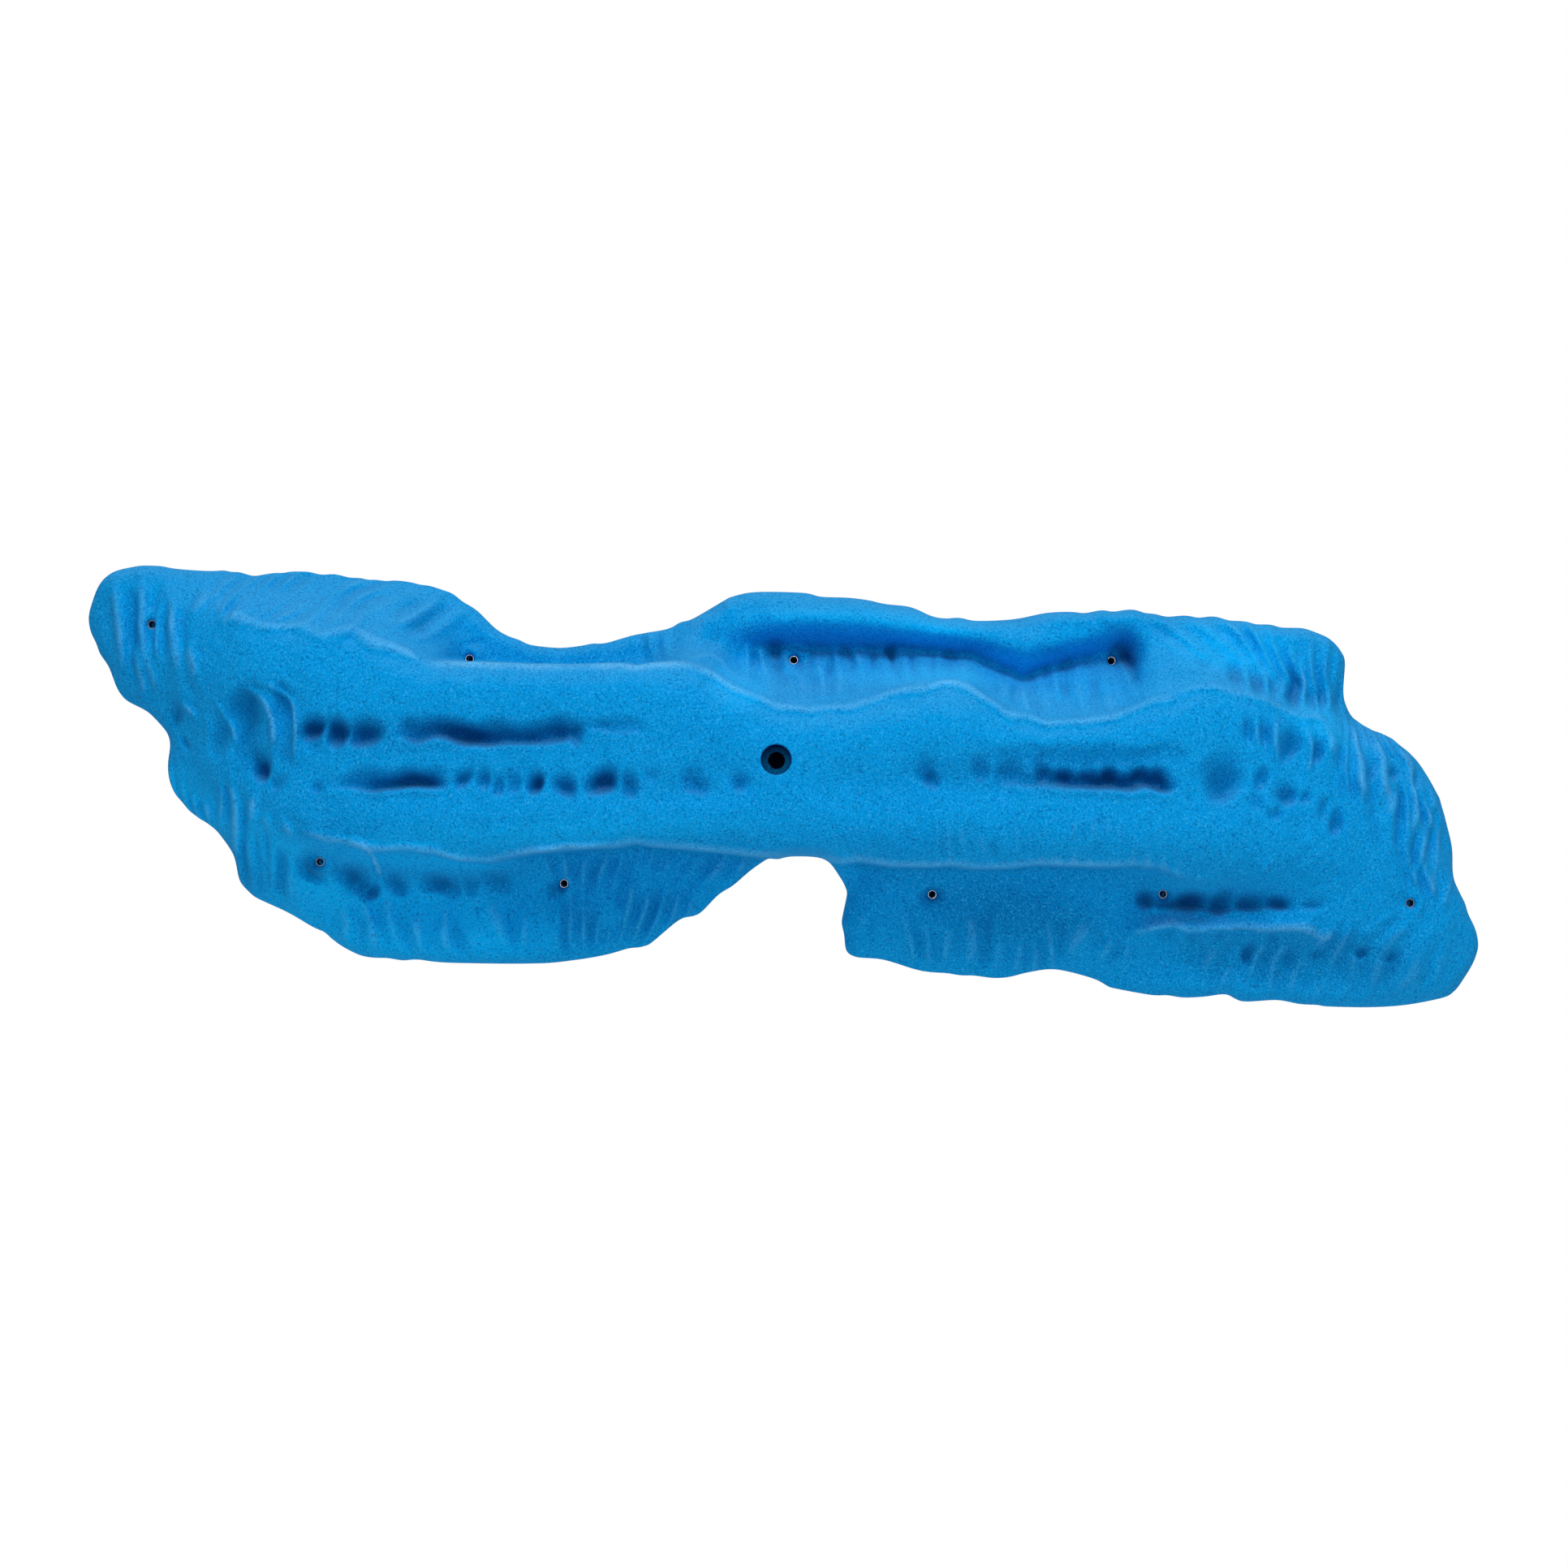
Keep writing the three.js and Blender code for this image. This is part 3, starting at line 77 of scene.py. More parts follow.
# stand-off of the ridge and wings, [x, z, height]
RIDGE_HEIGHTS = [
    [-445.8, 114.4, 24], [-445.1, 92.1, 27], [-445.8, 70.2, 24], [-446.8, 55, 14], [-459.7, 98.2, 16], [-428.8, 119.8, 26], [-427.3, 91.8, 33], [-427.3, 64.3, 33],
    [-428.9, 43.8, 20], [-406.3, 119.6, 28], [-403.1, 96.7, 44], [-401.9, 74.5, 50], [-403.1, 47.4, 44], [-405.2, 20.4, 28], [-404.7, -7.2, 22], [-402.4, -26.6, 14],
    [-383.9, 119.5, 30], [-380.1, 101.8, 50], [-378.2, 90.4, 60], [-377.1, 63, 66], [-378.6, 36.1, 58], [-380.5, 9.1, 48], [-382.4, -18.2, 38], [-385, -36, 18],
    [-361.8, 116.8, 30], [-356.9, 101.4, 58], [-355.1, 93.2, 68], [-353.3, 73.3, 78], [-353, 49, 80], [-354.7, 25, 70], [-356.2, -1.9, 62], [-356.9, -23.7, 58],
    [-359, -45.6, 46], [-362.2, -67.9, 28], [-339.8, 114, 30], [-334.8, 98.5, 60], [-332.5, 90.7, 74], [-330.5, 73, 86], [-330, 48.7, 89], [-331.5, 19.4, 80],
    [-332.1, -7.4, 76], [-332.3, -29, 75], [-333.8, -48, 66], [-337.8, -67.5, 42], [-341.5, -87.5, 20], [-318.1, 114.1, 28], [-313.1, 98.5, 60], [-310.1, 87.8, 79],
    [-308.1, 67.3, 92], [-307.6, 45.9, 95], [-308.4, 8.6, 90], [-309, -28.9, 86], [-310.6, -50.5, 76], [-314.6, -67.3, 50], [-317.8, -89.9, 30], [-319.9, -102.6, 16],
    [-295.4, 111.1, 32], [-291.4, 98.5, 60], [-288, 86.5, 83], [-286.1, 64.5, 96], [-285.8, 40.4, 98], [-286.3, 3.2, 95], [-286.8, -34.2, 91], [-288.4, -53.1, 80],
    [-292.8, -70.1, 50], [-295.4, -89.8, 32], [-297.5, -112.5, 18], [276.1, 47.9, 80], [274.7, 32.6, 91], [274.3, -2.2, 94], [273.9, -34.2, 97], [274.5, -60.9, 92],
    [276.5, -77.4, 77], [298.1, 47, 77], [296.6, 30, 87], [296.5, -2.1, 88], [295.9, -34.2, 92], [296.5, -61, 88], [298.5, -77.5, 74], [325.8, 39.6, 72],
    [324.5, 24.8, 80], [324.2, -7.4, 82], [323.7, -34.3, 85], [324.2, -61.2, 82], [326.4, -80.4, 68], [329.6, -96.3, 48], [354.2, 29.5, 64], [353.1, 19.6, 70],
    [352.5, -7.4, 74], [351.9, -34.4, 77], [352.5, -66.7, 74], [355.9, -97.2, 54], [377.1, 17.1, 57], [375.7, -7.4, 65], [374.9, -34.4, 69], [375.3, -66.9, 67],
    [377.3, -97.1, 56], [379.1, -120.5, 46], [408.8, 9.3, 34], [406.1, -7.3, 48], [404.3, -34.5, 57], [404.1, -67.1, 58], [405.3, -97.3, 52], [406.9, -122.2, 44],
    [409.6, -145, 30], [433.3, -7.2, 22], [430.4, -23.7, 36], [428.5, -45.6, 45], [428.1, -67.4, 47], [428.5, -96.5, 45], [429.2, -122.3, 42], [431.2, -144.9, 32],
    [434.1, -157.9, 18], [455.2, -57.1, 18], [448.8, -78.8, 32], [452.8, -100.7, 34], [452.8, -122.7, 34], [455, -145.4, 24], [469.1, -126.2, 20], [-266.3, 81, 85],
    [-264.5, 61.8, 98], [-264.1, 35, 101], [-264.4, 0.5, 99], [-264.9, -34.2, 95], [-266.7, -58.5, 82], [-244.4, 70.7, 88], [-242.9, 56.4, 100], [-242.7, 29.7, 102],
    [-242.8, 0.5, 101], [-243.2, -34.2, 98], [-244.9, -59.5, 84], [-217.7, 63.2, 88], [-216.3, 55.3, 100], [-216, 29.7, 103], [-216.1, 0.4, 102], [-216.4, -34.2, 99],
    [-217.2, -52.9, 92], [-218.5, -64.4, 80], [-190.7, 63.1, 90], [-189.6, 55.3, 101], [-189.3, 29.6, 104], [-189.4, 0.4, 103], [-189.6, -34.1, 101], [-190.4, -55.6, 93],
    [-191.7, -66.6, 80], [-163.8, 62.6, 91], [-162.9, 54.7, 102], [-162.8, 29.6, 104], [-162.8, 0.4, 104], [-162.9, -34.1, 102], [-163.6, -53.4, 94], [-164.4, -62.2, 84],
    [-137, 62, 92], [-136.3, 54.2, 102], [-136.1, 29.6, 105], [-136.2, 0.4, 104], [-136.3, -34.1, 103], [-136.7, -50.2, 97], [-137.3, -58.4, 88], [-110.3, 62.5, 92],
    [-109.7, 54.1, 103], [-109.5, 29.6, 106], [-109.6, 0.4, 105], [-109.7, -34.1, 103], [-110, -49.1, 97], [-110.5, -56.7, 88], [-83.6, 63.1, 92], [-83.1, 54.1, 103],
    [-82.9, 29.6, 107], [-83, 0.4, 106], [-83.1, -34.1, 104], [-83.4, -48.6, 97], [-83.8, -56.2, 88], [-56.9, 61.5, 92], [-56.5, 49.8, 104], [-56.4, 29.6, 108],
    [-56.4, 0.4, 108], [-56.5, -34.1, 105], [-56.7, -50.2, 97], [-57, -58.9, 88], [-30.1, 49.7, 93], [-29.9, 37.6, 105], [-29.8, 0.4, 109], [-29.9, -34.1, 106],
    [-30, -52.8, 97], [-30.2, -61.6, 87], [0.3, 36.8, 93], [0.4, 25.9, 105], [0.4, -0.7, 110], [0.4, -34.1, 107], [0.3, -55.5, 97], [0.3, -64.8, 86],
    [34, 35.3, 92], [33.8, 24.3, 105], [33.8, -2.3, 109], [33.8, -34.1, 107], [33.9, -57.1, 97], [34.1, -66.4, 86], [66.1, 40.6, 91], [65.7, 29.6, 104],
    [65.6, -2.3, 109], [65.6, -34.1, 107], [65.9, -59.2, 97], [66.3, -68, 86], [103.6, 50.3, 90], [103, 39.2, 103], [102.7, -2.3, 108], [102.8, -34.1, 107],
    [103.2, -60.8, 97], [103.8, -70.2, 86], [130.3, 44.9, 91], [129.5, 33.9, 103], [129.3, -2.2, 107], [129.3, -34.1, 107], [129.9, -61.4, 97], [130.6, -71.3, 86],
    [156.9, 30.5, 92], [156.2, 20.1, 102], [156, -2.2, 105], [155.9, -34.1, 106], [156.6, -60.8, 97], [157.3, -70.7, 87], [183.8, 25.7, 91], [183, 15.9, 100],
    [182.8, -2.2, 102], [182.5, -34.1, 105], [183.2, -60.8, 97], [184, -69.1, 88], [210.6, 26.8, 90], [209.7, 17.5, 99], [209.5, -2.2, 101], [209.3, -34.1, 103],
    [210, -60.9, 96], [210.9, -70.2, 87], [237.7, 34.3, 87], [236.5, 23.4, 97], [236.3, -2.2, 99], [236, -34.1, 102], [236.8, -60.9, 95], [237.7, -69.1, 87],
    [256.8, 41.4, 84], [255.6, 29.9, 94], [255.1, -2.2, 98], [254.8, -34.1, 100], [255.6, -60.9, 94], [256.8, -71.9, 84], [-265, -19.2, 94.5], [-232.7, -19.2, 97],
    [-200.5, -19.2, 98.5], [-168.5, -19.2, 99.5], [-136.5, -19.2, 100], [-104.5, -19.2, 100.5], [-72.5, -19.2, 101.5], [-45.9, -19.2, 102.5], [-19.3, -19.2, 103.5], [28.5, -19.2, 104],
    [55.1, -19.2, 104], [87, -19.2, 103.5], [118.9, -19.2, 103], [150.9, -19.2, 102],
]
# stand-off of the flanges, pocket and wings, [x, z, height]
FLANGE_HEIGHTS = [
    [-445.8, 114.4, 24], [-445.1, 92.1, 27], [-445.8, 70.2, 24], [-446.8, 55, 14], [-459.7, 98.2, 16], [-428.8, 119.8, 26], [-427.3, 91.8, 33], [-427.3, 64.3, 33],
    [-428.9, 43.8, 20], [-406.3, 119.6, 28], [-403.1, 96.7, 44], [-401.9, 74.5, 50], [-403.1, 47.4, 44], [-405.2, 20.4, 28], [-404.7, -7.2, 22], [-402.4, -26.6, 14],
    [-383.9, 119.5, 30], [-380.1, 101.8, 50], [-378.2, 90.4, 60], [-377.1, 63, 66], [-378.6, 36.1, 58], [-380.5, 9.1, 48], [-382.4, -18.2, 38], [-385, -36, 18],
    [-361.8, 116.8, 30], [-356.9, 101.4, 58], [-355.1, 93.2, 68], [-353.3, 73.3, 78], [-353, 49, 80], [-354.7, 25, 70], [-356.2, -1.9, 62], [-356.9, -23.7, 58],
    [-359, -45.6, 46], [-362.2, -67.9, 28], [-339.8, 114, 30], [-334.8, 98.5, 60], [-332.5, 90.7, 74], [-330.5, 73, 86], [-330, 48.7, 89], [-331.5, 19.4, 80],
    [-332.1, -7.4, 76], [-332.3, -29, 75], [-333.8, -48, 66], [-337.8, -67.5, 42], [-341.5, -87.5, 20], [-318.1, 114.1, 28], [-313.1, 98.5, 60], [-310.1, 87.8, 79],
    [-308.1, 67.3, 92], [-307.6, 45.9, 95], [-308.4, 8.6, 90], [-309, -28.9, 86], [-310.6, -50.5, 76], [-314.6, -67.3, 50], [-317.8, -89.9, 30], [-319.9, -102.6, 16],
    [-295.4, 111.1, 32], [-291.4, 98.5, 60], [-288, 86.5, 83], [-286.1, 64.5, 96], [-285.8, 40.4, 98], [-286.3, 3.2, 95], [-286.8, -34.2, 91], [-288.4, -53.1, 80],
    [-292.8, -70.1, 50], [-295.4, -89.8, 32], [-297.5, -112.5, 18], [276.1, 47.9, 80], [274.7, 32.6, 91], [274.3, -2.2, 94], [273.9, -34.2, 97], [274.5, -60.9, 92],
    [276.5, -77.4, 77], [298.1, 47, 77], [296.6, 30, 87], [296.5, -2.1, 88], [295.9, -34.2, 92], [296.5, -61, 88], [298.5, -77.5, 74], [325.8, 39.6, 72],
    [324.5, 24.8, 80], [324.2, -7.4, 82], [323.7, -34.3, 85], [324.2, -61.2, 82], [326.4, -80.4, 68], [329.6, -96.3, 48], [354.2, 29.5, 64], [353.1, 19.6, 70],
    [352.5, -7.4, 74], [351.9, -34.4, 77], [352.5, -66.7, 74], [355.9, -97.2, 54], [377.1, 17.1, 57], [375.7, -7.4, 65], [374.9, -34.4, 69], [375.3, -66.9, 67],
    [377.3, -97.1, 56], [379.1, -120.5, 46], [408.8, 9.3, 34], [406.1, -7.3, 48], [404.3, -34.5, 57], [404.1, -67.1, 58], [405.3, -97.3, 52], [406.9, -122.2, 44],
    [409.6, -145, 30], [433.3, -7.2, 22], [430.4, -23.7, 36], [428.5, -45.6, 45], [428.1, -67.4, 47], [428.5, -96.5, 45], [429.2, -122.3, 42], [431.2, -144.9, 32],
    [434.1, -157.9, 18], [455.2, -57.1, 18], [448.8, -78.8, 32], [452.8, -100.7, 34], [452.8, -122.7, 34], [455, -145.4, 24], [469.1, -126.2, 20], [-273.1, 108.2, 34],
    [-269.1, 92.9, 64], [-266.4, 82.2, 84], [-251.4, 105.6, 32], [-247.7, 87.6, 62], [-244.7, 73, 86], [-235.8, 103.3, 24], [-233.5, 85.8, 44], [-230.5, 71, 70],
    [-227.5, 64, 82], [-219.9, 95.4, 18], [-218.9, 81.1, 27], [-218.1, 68.6, 34], [-198.1, 84.5, 14], [-197.8, 69.3, 17], [-170.3, 73.4, 14], [-170.2, 66.7, 15],
    [-142.6, 71.7, 14], [-142.5, 66.1, 15], [-109.2, 74.5, 14], [-109.1, 67.2, 16], [-86.9, 78.8, 16], [-86.8, 67.6, 20], [-70.2, 84.2, 20], [-69.7, 73.6, 34],
    [-64.3, 65.3, 62], [-59, 84, 24], [-58.5, 75.1, 38], [-57.9, 68.8, 58], [-57.3, 63.6, 78], [-42.2, 92, 30], [-42.2, 78, 34], [-41.6, 67.7, 56],
    [-41, 56.9, 84], [265.8, 89, 34], [264.1, 71.9, 48], [262.3, 57.7, 62], [259.8, 43, 82], [282.3, 86.2, 34], [280.2, 71.8, 50], [277.8, 57.5, 68],
    [304.3, 80.7, 34], [302.4, 63.7, 47], [300.1, 53.4, 63], [332.1, 78.1, 32], [330.7, 61.2, 41], [327.7, 46.9, 60], [354.5, 72.7, 30], [353.5, 53.2, 36],
    [350.8, 37.9, 52], [378, 70.2, 22], [376.9, 50.7, 28], [374, 32.1, 44], [393.4, 26, 22], [-271.2, -72.9, 48], [-273.7, -87.1, 30], [-274.3, -112.1, 25.5],
    [-275.2, -126.3, 19], [-248.9, -70.6, 52], [-251.6, -84.4, 30], [-252.2, -112.1, 25.5], [-253, -129, 19], [-221.9, -73.9, 50], [-224.3, -85.5, 28], [-224.8, -112.2, 23.5],
    [-225.4, -130.2, 18], [-195.4, -75.2, 42], [-197, -87.3, 25], [-197.4, -112.3, 21.5], [-197.7, -131.9, 18], [-173.6, -70.9, 40], [-175.1, -83.5, 23], [-175.3, -112.4, 20.5],
    [-175.6, -131.9, 17], [-141.7, -65.2, 26], [-142.1, -84.7, 20], [-142.3, -112.5, 18], [-142.7, -129.4, 12], [-108.7, -62.5, 24], [-109, -84.8, 18], [-109.2, -107.1, 15],
    [-109.5, -124, 10], [-75.7, -62.6, 20], [-75.9, -84.9, 15], [-76, -106.1, 11], [-42.6, -67.1, 16], [-42.7, -82.2, 12], [-14.9, -70, 10], [49.6, -80.5, 14],
    [58.3, -74.7, 20], [58.4, -95.9, 17], [58.4, -118.2, 14], [79.1, -76.2, 28], [79.2, -95.7, 23], [79.4, -118.1, 17], [79.8, -130.8, 8], [106.5, -76.1, 30],
    [106.9, -92.9, 23], [107.1, -118, 18], [107.6, -137.9, 9], [134, -77.2, 31], [134.5, -95.6, 24], [134.8, -118, 18], [135.4, -139.6, 9], [161.5, -77.1, 32],
    [162, -95.6, 25], [162.5, -118, 19], [163.1, -139.6, 10], [188.8, -76, 34], [189.4, -95.5, 27], [190, -117.9, 21], [191, -135.1, 10], [215.9, -77, 38],
    [216.8, -95.4, 29], [217.2, -117.7, 25], [218.6, -140.5, 12], [247.9, -78.4, 46], [249.9, -95.4, 29], [249.4, -114.5, 33], [250.7, -128.9, 22], [251.8, -150.5, 13],
    [267.7, -80.1, 62], [270.9, -96.2, 37], [270.4, -113.1, 41], [272.2, -125.9, 27], [273.6, -149.7, 16], [302.6, -95.9, 46], [302.6, -113.9, 46], [304.9, -126.8, 30],
    [306.6, -149.6, 18], [329.8, -113.9, 47], [332.3, -126.7, 31], [334.2, -151.2, 19], [356.9, -116.5, 48], [359.7, -129.4, 32], [361.7, -153.9, 20], [381.7, -134.9, 32],
    [383.9, -156.7, 20], [412.5, -161.5, 15], [-28.5, 99.1, 30], [-28.4, 91.9, 32], [-28.5, 85.3, 31], [-28.5, 80, 27], [-28.5, 68.8, 30], [-28.1, 58.1, 52],
    [-27.5, 48.2, 90], [-18.8, 101, 31], [-18.8, 93.4, 34], [-18.8, 86.1, 30.5], [-18.9, 79.3, 24], [-18.9, 69, 26.5], [-18.6, 55.9, 51.5], [-18.1, 44.4, 90.5],
    [-9.2, 102.9, 32], [-9.1, 94.9, 36], [-9.2, 87, 30], [-9.2, 78.6, 21], [-9.2, 69.1, 23], [-9, 53.8, 51], [-8.8, 40.6, 91], [0.5, 103.7, 32.5],
    [0.5, 95.7, 37.5], [0.5, 87, 30], [0.4, 78.1, 18.5], [0.4, 68.3, 22.5], [0.5, 52.6, 52], [0.6, 38.2, 91], [10.1, 104.5, 33], [10.1, 96.4, 39],
    [10.1, 87, 30], [10.1, 77.7, 16], [10.1, 67.5, 22], [10, 51.5, 53], [10, 35.8, 91], [18.3, 104.3, 33.3], [18.3, 96.2, 39.7], [18.4, 86.8, 30.3],
    [18.5, 77.6, 15.3], [18.4, 67.7, 21.7], [18.2, 51.5, 53], [18, 35.7, 91], [26.6, 104, 33.7], [26.5, 96, 40.3], [26.6, 86.6, 30.7], [26.8, 77.4, 14.7],
    [26.7, 67.9, 21.3], [26.4, 51.5, 53], [26, 35.5, 91], [34.8, 103.8, 34], [34.7, 95.8, 41], [34.9, 86.4, 31], [35.1, 77.2, 14], [35, 68.1, 21],
    [34.6, 51.5, 53], [34, 35.3, 91], [45.8, 103.3, 34.5], [45.7, 94.9, 41.5], [45.9, 85.8, 31.5], [46.2, 76.7, 14.5], [46.1, 67.8, 22], [45.5, 52.1, 53],
    [44.7, 36.9, 91], [56.8, 102.7, 35], [56.6, 94.1, 42], [56.9, 85.2, 32], [57.3, 76.1, 15], [57.1, 67.4, 23], [56.4, 52.6, 53], [55.4, 38.5, 91],
    [67.8, 100.7, 35.5], [67.6, 92.7, 42], [67.9, 84.4, 32.5], [68.4, 76.1, 15], [68.1, 67.7, 24], [67.3, 54.2, 53], [66.1, 40.9, 90.5], [78.8, 98.8, 36],
    [78.6, 91.3, 42], [78.9, 83.5, 33], [79.5, 76.1, 15], [79.2, 67.9, 25], [78.2, 55.9, 53], [76.8, 43.3, 90], [87.9, 96.7, 36.3], [87.7, 89.7, 41.7],
    [88.1, 82.6, 32.7], [88.7, 75.5, 16], [88.3, 67.9, 26.3], [87.2, 56.9, 53.7], [85.8, 45.5, 89.7], [97, 94.7, 36.7], [96.8, 88.1, 41.3], [97.2, 81.8, 32.3],
    [97.9, 74.9, 17], [97.4, 67.8, 27.7], [96.2, 58, 54.3], [94.7, 47.6, 89.3], [106.2, 92.7, 37], [106, 86.4, 41], [106.4, 80.8, 32], [107.1, 74.3, 18],
    [106.6, 67.8, 29], [105.3, 59.1, 55], [103.6, 49.8, 89], [117.1, 91, 38], [116.9, 84.8, 41.5], [117.4, 79.1, 33], [118.1, 73.1, 19.5], [117.5, 66.6, 30.5],
    [116.1, 58.2, 56.5], [114.3, 49.3, 89], [128, 89.3, 39], [127.9, 83.1, 42], [128.3, 77.4, 34], [129.1, 71.9, 21], [128.5, 65.4, 32], [126.9, 57.3, 58],
    [125.1, 48.7, 89], [141.6, 88.1, 41], [141.4, 79.2, 44], [142.2, 72.6, 32], [142.8, 66.9, 23], [141.9, 59.7, 37], [140.2, 49.6, 63], [138.4, 40.2, 89],
    [155.2, 86.9, 42], [155, 74.7, 46], [155.8, 67.5, 34], [156.6, 60.8, 23], [155.5, 53.1, 39], [153.6, 43, 65], [151.8, 32.7, 89], [167.3, 86.4, 42],
    [167, 71.4, 46], [167.9, 63.1, 34], [168.8, 56.4, 23], [167.5, 48.7, 39], [165.5, 39.2, 65], [163.5, 28.9, 90], [175, 86.9, 42], [174.8, 73.1, 44.5],
    [175.8, 65.7, 32.5], [176.7, 59.5, 21.5], [175.5, 50.4, 36], [173.3, 39.3, 62], [171, 27.8, 90], [182.6, 87.5, 42], [182.6, 74.9, 43], [183.6, 68.2, 31],
    [184.5, 62.6, 20], [183.4, 52.2, 33], [181.2, 39.4, 59], [178.5, 26.8, 90], [190.9, 88.1, 41.5], [190.9, 77.1, 41.5], [191.9, 71.3, 30.5], [193, 65.1, 18.5],
    [191.8, 53.9, 31], [189.4, 39.9, 58], [186.5, 26, 90], [199.2, 88.6, 41], [199.3, 79.4, 40], [200.2, 74.3, 30], [201.4, 67.7, 17], [200.3, 55.6, 29],
    [197.7, 40.5, 57], [194.5, 25.2, 90], [207.4, 88.7, 40.5], [207.7, 80.3, 38], [208.7, 76.1, 28], [209.8, 70.2, 16.5], [208.7, 57.3, 28], [206, 41.7, 55],
    [202.7, 26, 89], [215.7, 88.7, 40], [216.1, 81.2, 36], [217.1, 77.8, 26], [218.2, 72.7, 16], [217, 59, 27], [214.4, 42.8, 53], [210.8, 26.8, 88],
    [224, 88.7, 39], [224.6, 82.1, 33.5], [225.7, 78.8, 23], [226.5, 73.6, 15.5], [225.3, 59, 27.5], [222.6, 43.3, 53], [218.9, 28.7, 87.5], [232.4, 88.8, 38],
    [233.2, 83.1, 31], [234.4, 79.7, 20], [234.9, 74.4, 15], [233.5, 59, 28], [230.7, 43.9, 53], [227, 30.6, 87], [244.7, 88.9, 36], [244.8, 81.8, 35],
    [245, 77.5, 33], [244.3, 70.6, 39], [243.4, 58.3, 47], [241.3, 45.7, 65], [238.9, 34.4, 86], [260.7, -105.3, 31], [260.9, -123, 29], [287.5, -105, 36],
    [286.4, -114.6, 44], [288.4, -122.9, 30], [314.3, -104.8, 41], [315.6, -122.8, 32],
]
